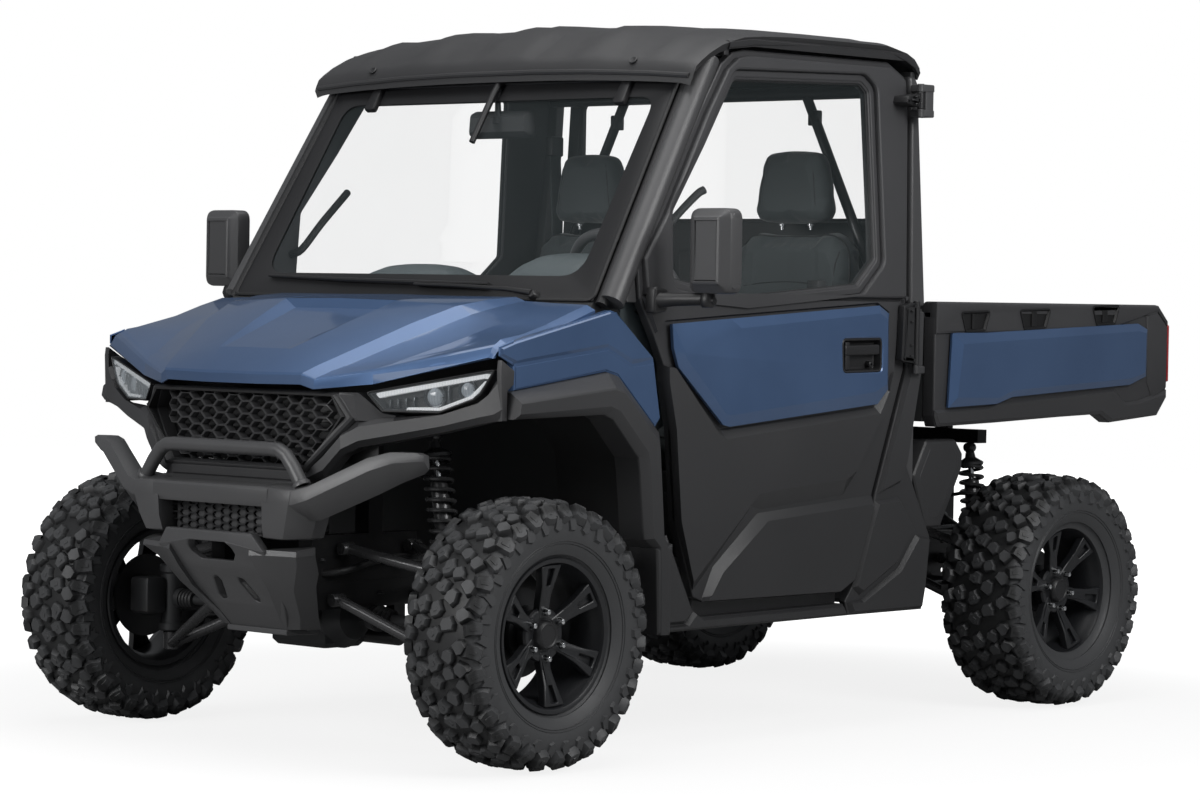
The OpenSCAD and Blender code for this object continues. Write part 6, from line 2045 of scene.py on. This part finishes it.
def coverShape():
    x = cabHalf - .002
    base = [(cabBack - .3155, .3165), (cabBack - .331, .356), (cabBack - .296, .400),
        (cabBack - .214, .600), (cabBack - .204, .645), (cabBack - .072, .985), (cabBack - .068, 1.1595),
        (cabBack - .0045, 1.1595), (cabBack - .0065, 1.003), (cabBack - .060, .720),
        (cabBack + .050, .520), (cabBack + .030, .376), (cabBack + .018, .3165)]
    made = Shape().slab(base, x - .0355, x - .013, edge=.004, back=.003)
    low = x - .014
    upper = [(cabBack - .068, .993), (cabBack - .068, 1.155), (cabBack - .009, 1.155),
        (cabBack - .011, 1.004), (cabBack - .066, .730), (cabBack - .098, .672), (cabBack - .196, .645)]
    upperTop = [(cabBack - .060, .996), (cabBack - .060, 1.150), (cabBack - .014, 1.150),
        (cabBack - .016, 1.006), (cabBack - .075, .735), (cabBack - .102, .684), (cabBack - .184, .658)]
    made.plate([[(low - .003, anticlockwise(upper)), (low, anticlockwise(upper)),
        (x, anticlockwise(upperTop))]])
    mid = [(cabBack - .206, .630), (cabBack - .100, .638), (cabBack - .034, .560), (cabBack - .036, .535),
        (cabBack - .104, .448), (cabBack - .267, .368), (cabBack - .300, .392), (cabBack - .218, .598)]
    midTop = [(cabBack - .198, .618), (cabBack - .107, .624), (cabBack - .048, .555),
        (cabBack - .052, .540), (cabBack - .112, .458), (cabBack - .262, .384), (cabBack - .288, .396),
        (cabBack - .210, .592)]
    made.plate([[(low - .003, anticlockwise(mid)), (low, anticlockwise(mid)), (x, anticlockwise(midTop))]])
    foot = [(cabBack - .262, .358), (cabBack - .096, .438), (cabBack - .018, .528),
        (cabBack + .042, .518), (cabBack + .026, .378), (cabBack + .014, .3205), (cabBack - .310, .3205),
        (cabBack - .324, .352)]
    footTop = [(cabBack - .258, .350), (cabBack - .092, .428), (cabBack - .012, .518),
        (cabBack + .034, .512), (cabBack + .018, .380), (cabBack + .006, .328), (cabBack - .300, .328),
        (cabBack - .312, .350)]
    made.plate([[(low - .003, anticlockwise(foot)), (low, anticlockwise(foot)),
        (x - .001, anticlockwise(footTop))]])
    xo, y = cabHalf + .012, cabBack - .066
    made.lathe([(0, .0002), (0, .0085), (.002, .0098), (.0215, .0098), (.0235, .0085), (.0235, .0002)],
        (xo, y, .9793), axis=(0, 0, 1), sides=20)
    made.brick(cabHalf - .0025, cabHalf + .0205, y, y + .033, .980, 1.0015, .004)
    # the pod behind the cab
    px = cabHalf - .0385
    pod = [(cabBack + .001, .691), (cabBack + .060, .791), (cabBack + .200, .791), (cabBack + .235, .750),
        (cabBack + .232, .705), (cabBack + .135, .542), (cabBack + .060, .542)]
    made.slab(rounded(pod, .012, 3), px - .060, px - .001, edge=.012, back=.004, steps=3)
    made.slab(rounded(inset(anticlockwise(pod), .026), .008, 2), px - .003, px - .0003, edge=.0025, back=0)
    for k in range(4):
        made.brick(px - .058, px - .010, cabBack + .07 + k * .032, cabBack + .082 + k * .032, .789, .7918,
            .001)
    return made


def rockerShape():
    x = cabHalf - .004
    base = [(.4845, .3115), (.4845, .552), (cabFront + .258, .566), (cabFront + .364, .366),
        (cabFront + .398, .3455), (cabBack - .340, .3505), (cabBack - .3165, .3165)]
    made = Shape().slab(base, cabHalf - .0575, x - .010, edge=.004, back=.003)
    low = x - .011
    column = [(.487, .548), (cabFront + .256, .561), (cabFront + .361, .364), (cabFront + .330, .330),
        (.487, .330)]
    top = [(.495, .538), (cabFront + .250, .549), (cabFront + .348, .362), (cabFront + .322, .340),
        (.495, .340)]
    made.plate([[(low - .003, anticlockwise(column)), (low, anticlockwise(column)), (x, anticlockwise(top))]])
    sill = [(cabFront + .366, .362), (cabFront + .400, .3435), (cabBack - .342, .3485),
        (cabBack - .322, .318), (.488, .3135), (.488, .326), (cabFront + .336, .330)]
    sillTop = [(cabFront + .372, .353), (cabFront + .402, .336), (cabBack - .346, .341),
        (cabBack - .334, .324), (.494, .319), (.494, .322), (cabFront + .340, .325)]
    made.plate([[(low - .003, anticlockwise(sill)), (low, anticlockwise(sill)), (x, anticlockwise(sillTop))]])
    made.slab([(cabFront + .400, .318), (cabBack - .330, .318), (cabBack - .330, .392),
        (cabFront + .400, .392)], cabHalf - .0575, cabHalf - .0495, edge=.002, back=.002)
    return made


def makeRear():
    sides, cups = bedSide()
    piece("bed_sides", sides.both(), "bed", greyPlastic, ["bed"], angle=22)
    # stake pocket cups in near-black painted shade
    piece("stake_pockets", cups.both(), "bed", shadeBlack, angle=22)
    piece("bed_tub", bedTub(), "bed", softBlack, angle=30)
    piece("bed_inserts", bedInsert().both(), "bed", paint, ["bed_panels"], angle=12)
    piece("tailgate_panel", tailgateShape(), "tailgate", greyPlastic, ["tailgate"], angle=26)
    piece("tail_lamp_lenses", tailLampShape().both(), "bed", redLens, ["tail_lamps"], angle=30)
    piece("side_cover_skins", coverShape().both(), "chassis", greyPlastic,
        ["side_covers"], angle=20)
    piece("rocker_skins", rockerShape().both(), "chassis", greyPlastic, ["rocker_panels"],
        angle=20)


makeRear()
print("bed and sides made")


# running gear

springSizes = {"front": (.450, 0.0, .398), "rear": (.430, 0.0, .405), "wire": .0055}


def shockShape(a, b, r, turns):
    a, b = Vector(a), Vector(b)
    d = (b - a).normalized()
    h = (b - a).length
    made = Shape()
    made.tube([a, a + d * .060], .0105, sides=14)
    made.lathe([(.030, .006), (.030, r * .80), (.038, r * .95), (.044, r * .95), (.050, r * .62),
        (.054, .0225), (h * .62, .0225), (h * .62 + .006, .019), (h * .62 + .006, .0085)], a,
        axis=tuple(d), sides=28)
    made.lathe([(h - .062, .008), (h - .062, r * .62), (h - .052, r * .95), (h - .044, r * .95),
        (h - .038, r * .70), (h - .030, .016), (h - .010, .012), (h - .010, .006)], a, axis=tuple(d),
        sides=28)
    for p in (a, b):
        made.lathe([(-.016, .006), (-.016, .0125), (-.014, .0138), (.014, .0138), (.016, .0125),
            (.016, .006)], p, axis=(0, 1, 0), sides=24)
    rod = Shape().tube([a + d * (h * .60), b - d * .03], .0085, sides=16)
    seed = Shape().add([(0, 0, 0), (.001, 0, 0), (0, .001, 0)], [(0, 1, 2)])
    coil = coilSpring.grown(seed, steel, Turns=turns, Radius=r - .0068, Height=h - .088,
        Wire=springSizes["wire"])
    turn = Vector((0, 0, 1)).rotation_difference(d).to_matrix().to_4x4()
    made.merge(coil, Matrix.Translation(a + d * .042) @ turn)
    return made, rod


def bootShape(x0, x1, y, r0, r1, folds=5):
    profile = [(x0, .0145), (x0, r0)]
    for k in range(folds):
        t = (k + .5) / folds
        x = x0 + (x1 - x0) * t
        r = r0 + (r1 - r0) * t
        profile += [(x - abs(x1 - x0) / folds * .30, r), (x, r + .0015),
            (x + abs(x1 - x0) / folds * .30, r - .0065)]
    profile += [(x1, r1 - .003), (x1, .0145)]
    return Shape().lathe(profile, (0, y, tyreRadius), sides=28)


def shaftShapes():
    half = Shape()
    halfBoots = Shape()
    for y, end in ((0.0, .5657), (wheelBase, .5247)):
        half.tube([(.1400, y, tyreRadius), (end, y, tyreRadius)], .0138, sides=18)
        half.lathe([(.180, .014), (.180, .030), (.198, .034), (.206, .034), (.206, .014)],
            (0, y, tyreRadius), sides=28)
        half.lathe([(end - .018, .014), (end - .018, .027), (end - .0006, .0278), (end - .0004, .014)],
            (0, y, tyreRadius), sides=28)
        halfBoots.merge(bootShape(.206, .262, y, .0345, .024, 4))
        halfBoots.merge(bootShape(end - .066, end - .018, y, .0235, .0265, 4))
    return half.both(), halfBoots.both()


def engineShape():
    y0, y1 = cabBack + .031, wheelBase - .171
    made = Shape()
    made.brick(-.205, .205, y0 + .03, y1 - .02, .4405, .600, .020)
    made.brick(-.165, .165, y0 + .05, y1 - .06, .590, .700, .016)
    made.brick(-.120, .120, y0 + .07, y1 - .09, .690, .775, .012)
    for k in range(7):
        made.brick(-.150, .150, y0 + .055, y1 - .065, .606 + k * .012, .611 + k * .012, .0015)
    made.lathe([(0, .001), (0, .105), (.015, .112), (.050, .112), (.066, .095), (.070, .060),
        (.072, .001)], (.168, (y0 + y1) / 2 - .06, .545), sides=36)
    made.lathe([(0, .001), (0, .085), (.012, .092), (.046, .092), (.060, .075), (.064, .001)],
        (.172, (y0 + y1) / 2 + .12, .560), sides=36)
    made.lathe([(-.17, .02), (-.165, .062), (-.12, .072), (.12, .072), (.165, .062), (.17, .02)],
        (0, y1 - .075, .700), sides=28)
    made.tube([(-.10, y1 - .06, .70), (-.18, y1 - .10, .66), (-.21, y0 + .12, .62),
        (-.19, y0 + .06, .56)], .020, sides=14, smooth=4)
    made.tube([(.10, y0 + .08, .74), (.17, y0 + .07, .72), (.20, y0 + .05, .64)], .016, sides=12, smooth=4)
    made.brick(-.23, -.12, y0 + .01, y0 + .16, .62, .80, .012)
    made.brick(.06, .20, y0 + .02, y0 + .12, .70, .80, .010)
    return made


def caseShape():
    made = Shape()
    for y0, y1 in ((-.104, .069), (wheelBase - .129, wheelBase + .129)):
        mid = (y0 + y1) / 2
        made.brick(-.105, .105, y0 + .01, y1 - .01, .258, .400, .022)
        made.lathe([(-.1395, .020), (-.1395, .058), (-.120, .066), (-.100, .084), (.100, .084),
            (.120, .066), (.1395, .058), (.1395, .020)], (0, mid, .340), sides=32)
        made.lathe([(0, .01), (0, .046), (.02, .052), (.06, .044), (.08, .030), (.085, .01)],
            (0, y1 - .086, .335), axis=(0, 1, 0), sides=24)
        made.brick(-.05, .05, mid - .04, mid + .04, .395, .4295, .006)
    return made


def armTubes(y, xOut, zOut, zIn, spread, drop, far):
    made = Shape()
    bushX = .1903 + .017
    for s in (-1, 1):
        inner = Vector((bushX + .005, y + s * (spread - .002), zIn))
        outer = Vector((xOut - .009, y + s * .005, zOut - drop))
        mid = inner.lerp(outer, .55)
        made.tube([inner, mid, outer], .0146, sides=18)
        made.lathe([(-.022, .008), (-.022, .0150), (-.019, .0168), (.019, .0168), (.022, .0150),
            (.022, .008)], (bushX, y + s * spread, zIn), axis=(0, 1, 0), sides=22)
        made.lathe([(-.0235, .0035), (-.0235, .0075), (.0235, .0075), (.0235, .0035)],
            (bushX, y + s * spread, zIn), axis=(0, 1, 0), sides=12)
    a = Vector((bushX + .005, y - (spread - .002), zIn)).lerp(Vector((xOut - .009, y, zOut - drop)), far)
    b = Vector((bushX + .005, y + (spread - .002), zIn)).lerp(Vector((xOut - .009, y, zOut - drop)), far)
    made.tube([a, b], .010, sides=14)
    low = zOut - .018 - drop
    made.lathe([(0, .010), (0, .018), (.003, .0215), (.033 + drop, .0215), (.036 + drop, .018),
        (.036 + drop, .010)], (xOut, y, low), axis=(0, 0, 1), sides=28)
    return made


def armShapes():
    front, rear = Shape(), Shape()
    bushX = .2073
    onArm = lambda x, xOut, zOut: zOut + (.525 - zOut) * (xOut - x) / (xOut - bushX)
    front.merge(armTubes(0, .600, .2317, .395, .150, .016, .42)).merge(armTubes(0, .600, .4503, .525,
        .120, 0, .30))
    front.tube([(.450, -.052, onArm(.45, .6, .4503)), (.450, .052, onArm(.45, .6, .4503))], .0118, sides=16)
    rear.merge(armTubes(wheelBase, .5027, .250, .395, .150, 0, .42)).merge(armTubes(wheelBase, .5027,
        .430, .525, .120, 0, .30))
    rear.tube([(.430, wheelBase - .040, onArm(.43, .5027, .43)),
        (.430, wheelBase + .040, onArm(.43, .5027, .43))], .0118, sides=16)
    return front.both(), rear.both(), onArm(.45, .6, .4503), onArm(.43, .5027, .43)


def uprightShapes():
    knuckle = Shape()
    knuckle.lathe([(0, .012), (0, .030), (.004, .0335), (.020, .0335), (.026, .029), (.156, .029),
        (.162, .0335), (.178, .0335), (.182, .030), (.182, .012)], (.600, 0, .250), axis=(0, 0, 1),
        sides=28)
    knuckle.lathe([(0, .012), (0, .0325), (.020, .0325), (.06, .030), (.120, .0295), (.1335, .0295),
        (.1335, .012)], (.600, 0, tyreRadius), sides=28)
    knuckle.lathe([(.1205, .020), (.1205, .066), (.124, .0695), (.1345, .0695), (.1345, .020)],
        (.600, 0, tyreRadius), sides=40)
    knuckle.loft([[(.587, .022, .302), (.613, .022, .302), (.613, .022, .325), (.587, .022, .325)],
        [(.588, .090, .302), (.612, .090, .302), (.612, .090, .324), (.588, .090, .324)],
        [(.587, .1355, .302), (.613, .1355, .302), (.613, .1355, .325), (.587, .1355, .325)]])
    knuckle.brick(.585, .660, -.100, -.030, .300, .400, .012)
    carrier = Shape()
    y = wheelBase
    carrier.brick(.5255, .5895, y - .032, y + .032, .233, .447, .012)
    carrier.brick(.5255, .5895, y - .0445, y + .0445, .300, .380, .014)
    carrier.lathe([(.5885, .012), (.5885, .0315), (.6740, .0315), (.6740, .012)], (0, y, tyreRadius),
        sides=28)
    carrier.lathe([(.6612, .020), (.6612, .066), (.6645, .0695), (.6745, .0695), (.6745, .020)],
        (0, y, tyreRadius), sides=40)
    return knuckle, carrier.both()


def makeGear():
    front, rear, frontSeat, rearSeat = armShapes()
    # wishbones in the lightened satin black steel, which carries painted light
    piece("front_wishbones", front, "chassis", armSteelPaintedLight, ["front_arms"], angle=40)
    piece("rear_wishbones", rear, "chassis", armSteelPaintedLight, ["rear_arms"], angle=40)
    bodyShape, rods = Shape(), Shape()
    for a, b, r, turns in (((.450, 0, frontSeat + .0263), (.398, 0, .8177), .042, 8.5),
            ((.430, wheelBase, rearSeat + .0263), (.405, wheelBase, .7457), .040, 6.5)):
        s, rod = shockShape(a, b, r, turns)
        bodyShape.merge(s)
        rods.merge(rod)
    # shock bodies in the same lightened steel, with painted light
    piece("shock_absorbers", bodyShape.both(), "chassis", armSteelPaintedLight, ["shocks"], angle=40)
    piece("shock_rods", rods.both(), "chassis", chrome, angle=40)
    shafts, boots = shaftShapes()
    piece("drive_shafts", shafts, "chassis", castSteel, ["half_shafts"], angle=35)
    piece("shaft_boots", boots, "chassis", gripRubber, angle=30)
    piece("engine_unit", engineShape(), "chassis", steel, ["engine"], angle=30)
    piece("drive_cases", caseShape(), "chassis", castSteel, ["differentials"], angle=30)
    knuckle, carrier = uprightShapes()
    piece("knuckle_cast_left", knuckle, "steer_left", castSteel, ["knuckle_left"], angle=32)
    piece("knuckle_cast_right", knuckle.flipped(), "steer_right", castSteel,
        ["knuckle_right"], angle=32)
    piece("hub_castings", carrier, "chassis", castSteel, ["hub_carriers"], angle=32)
    gaiter = [(.25, .010), (.25, .0155), (.255, .0195), (.262, .0150), (.270, .0195), (.278, .0150),
        (.286, .0190), (.294, .0145), (.302, .0180), (.310, .0140), (.318, .0165), (.3295, .0125),
        (.3295, .0098)]
    rack = Shape()
    rack.tube([(-.5995, .112, .288), (.5995, .112, .288)], .0098, sides=18)
    for s in (1, -1):
        rack.lathe([(0, .004), (0, .0115), (.002, .0128), (.023, .0128), (.025, .0115), (.025, .004)],
            (s * .600, .112, .2755), axis=(0, 0, 1), sides=22)
        rack.lathe([(s * along, r) for along, r in gaiter], (0, .112, .288), sides=22)
    piece("steering_rods", rack, "rack", steel, ["steering_rack"], angle=40)
    cadFinish(steel, "frame", "shock_towers", "hitch_receiver")
    places = [((s * .1905, y, z), (s, 0, 0)) for s in (1, -1)
        for y, z in ((-.19, .50), (-.12, .535), (.10, .50), (.13, .535), (wheelBase - .13, .50),
        (wheelBase + .13, .50), (wheelBase - .10, .535), (wheelBase + .10, .535))]
    places += [((s * .1905, y, .405), (s, 0, 0)) for s in (1, -1)
        for y in (-.16, .02, .30, .9, 1.25, wheelBase - .28, wheelBase, wheelBase + .27)]
    bolts("frame_bolts", places, "chassis", castSteel, .008, .006)
    extras = Shape()
    # radiator, hoses and brake lines behind the grille, all inside the chassis
    for s in (1, -1):
        extras.tube([(s * .165, -.20, .46), (s * .22, -.14, .47), (s * .225, .05, .50),
            (s * .20, .25, .46)], .009, sides=10, smooth=4)
        extras.tube([(s * .42, .03, .60), (s * .38, .07, .66), (s * .30, .09, .70), (s * .20, .08, .72)],
            .0055, sides=8, smooth=4)
        extras.tube([(s * .40, wheelBase + .05, .56), (s * .32, wheelBase + .10, .60),
            (s * .22, wheelBase + .08, .58)], .0055, sides=8, smooth=4)
    piece("brake_hoses", extras, "chassis", gripRubber, angle=45)
    radiator = Shape()
    for k in range(26):
        radiator.brick(-.13 + k * .0102, -.1265 + k * .0102, -.150, -.120, .58, .86, .0005)
    radiator.brick(-.150, -.128, -.155, -.115, .57, .87, .004)
    radiator.brick(.134, .139, -.155, -.115, .57, .87, .002)
    radiator.brick(-.150, .139, -.153, -.117, .565, .585, .003)
    radiator.brick(-.150, .139, -.153, -.117, .858, .875, .003)
    radiator.slab([(-.130, .58), (.135, .58), (.135, .86), (-.130, .86)], -.122, -.1195, edge=.0005,
        back=.0005, axis="y")
    piece("radiator_core", radiator, "chassis", softBlack, angle=30)


makeGear()
print("running gear made")


# stage, light and camera

def areaLamp(name, place, aim, size, power, tall=None):
    data = bpy.data.lights.new(name, "AREA")
    data.shape, data.size, data.size_y, data.energy = "RECTANGLE", size, tall or size, power
    lamp = bpy.data.objects.new(name, data)
    bpy.context.scene.collection.objects.link(lamp)
    lamp.location = place
    lamp.rotation_euler = (Vector(aim) - Vector(place)).to_track_quat("-Z", "Y").to_euler()


def makeStage():
    size = 14.0
    mesh = bpy.data.meshes.new("studioFloor")
    mesh.from_pydata([(-size, -size, 0), (size, -size, 0), (size, size, 0), (-size, size, 0)], [],
        [(0, 1, 2, 3)])
    floor = bpy.data.objects.new("studioFloor", mesh)
    bpy.context.scene.collection.objects.link(floor)
    f = Finish("studio floor", (0.32, 0.32, 0.32), 0.9)
    f.feed("Roughness", 0.82 + f.noise(2) * 0.06)
    # the floor fades to pure white away from the object, so no horizon shows
    far = f.smooth(f.node("ShaderNodeVectorMath", {"operation": "LENGTH"}, {0: f.coords}), 1.6, 4.2)
    rays = f.node("ShaderNodeLightPath")
    glow = f.node("ShaderNodeEmission", None, {"Color": (1, 1, 1, 1), "Strength": 1.42})
    mixed = f.node("ShaderNodeMixShader", None, {"Fac": rays["Is Camera Ray"] * (0.60 + far * 0.40),
        1: Wire(f.tree, f.shader.outputs[0]), 2: glow})
    f.tree.links.new(mixed.socket, f.tree.nodes["Material Output"].inputs["Surface"])
    floor.data.materials.append(f.material)
    world = bpy.data.worlds.new("studio")
    bpy.context.scene.world = world
    world.use_nodes = True
    tree = world.node_tree
    plain = tree.nodes["Background"]
    plain.inputs["Color"].default_value = (0.93, 0.96, 1.0, 1)
    plain.inputs["Strength"].default_value = 0.20
    white = makeNode(tree, "ShaderNodeBackground", None, {"Color": (1, 1, 1, 1), "Strength": 1.0})
    rays = makeNode(tree, "ShaderNodeLightPath")
    mixed = makeNode(tree, "ShaderNodeMixShader", None, {"Fac": rays["Is Camera Ray"],
        1: Wire(tree, plain.outputs[0]), 2: white})
    tree.links.new(mixed.socket, tree.nodes["World Output"].inputs["Surface"])
    areaLamp("overhead softbox", (0.6, -0.8, 5.2), (0, 0, 0.8), 4.6, 178, 5.8)
    areaLamp("side softbox", (5.4, -0.2, 3.6), (0.3, 0, 1.0), 3.0, 165, 2.4)
    areaLamp("front softbox", (-0.6, -6.4, 2.7), (0, -0.8, 0.8), 3.0, 165, 2.0)


def makeCamera():
    turn, rise, roll = math.radians(42.2547), math.radians(1.5377), math.radians(0.9496)
    back = Vector((math.sin(turn) * math.cos(rise), -math.cos(turn) * math.cos(rise), math.sin(rise)))
    right = Vector((math.cos(turn), math.sin(turn), 0))
    up = back.cross(right)
    x = right * math.cos(roll) + up * math.sin(roll)
    y = up * math.cos(roll) - right * math.sin(roll)
    data = bpy.data.cameras.new("camera")
    data.lens, data.sensor_width, data.shift_x, data.shift_y = 111.26, 36.0, 0.0074, -0.00578
    camera = bpy.data.objects.new("camera", data)
    bpy.context.scene.collection.objects.link(camera)
    camera.matrix_world = Matrix.Translation((7.036, axleY - 6.716, 1.188)) @ Matrix((x, y,
        back)).transposed().to_4x4()
    bpy.context.scene.camera = camera


makeStage()
makeCamera()
bpy.context.scene.view_settings.view_transform = "Standard"

print("stage made")
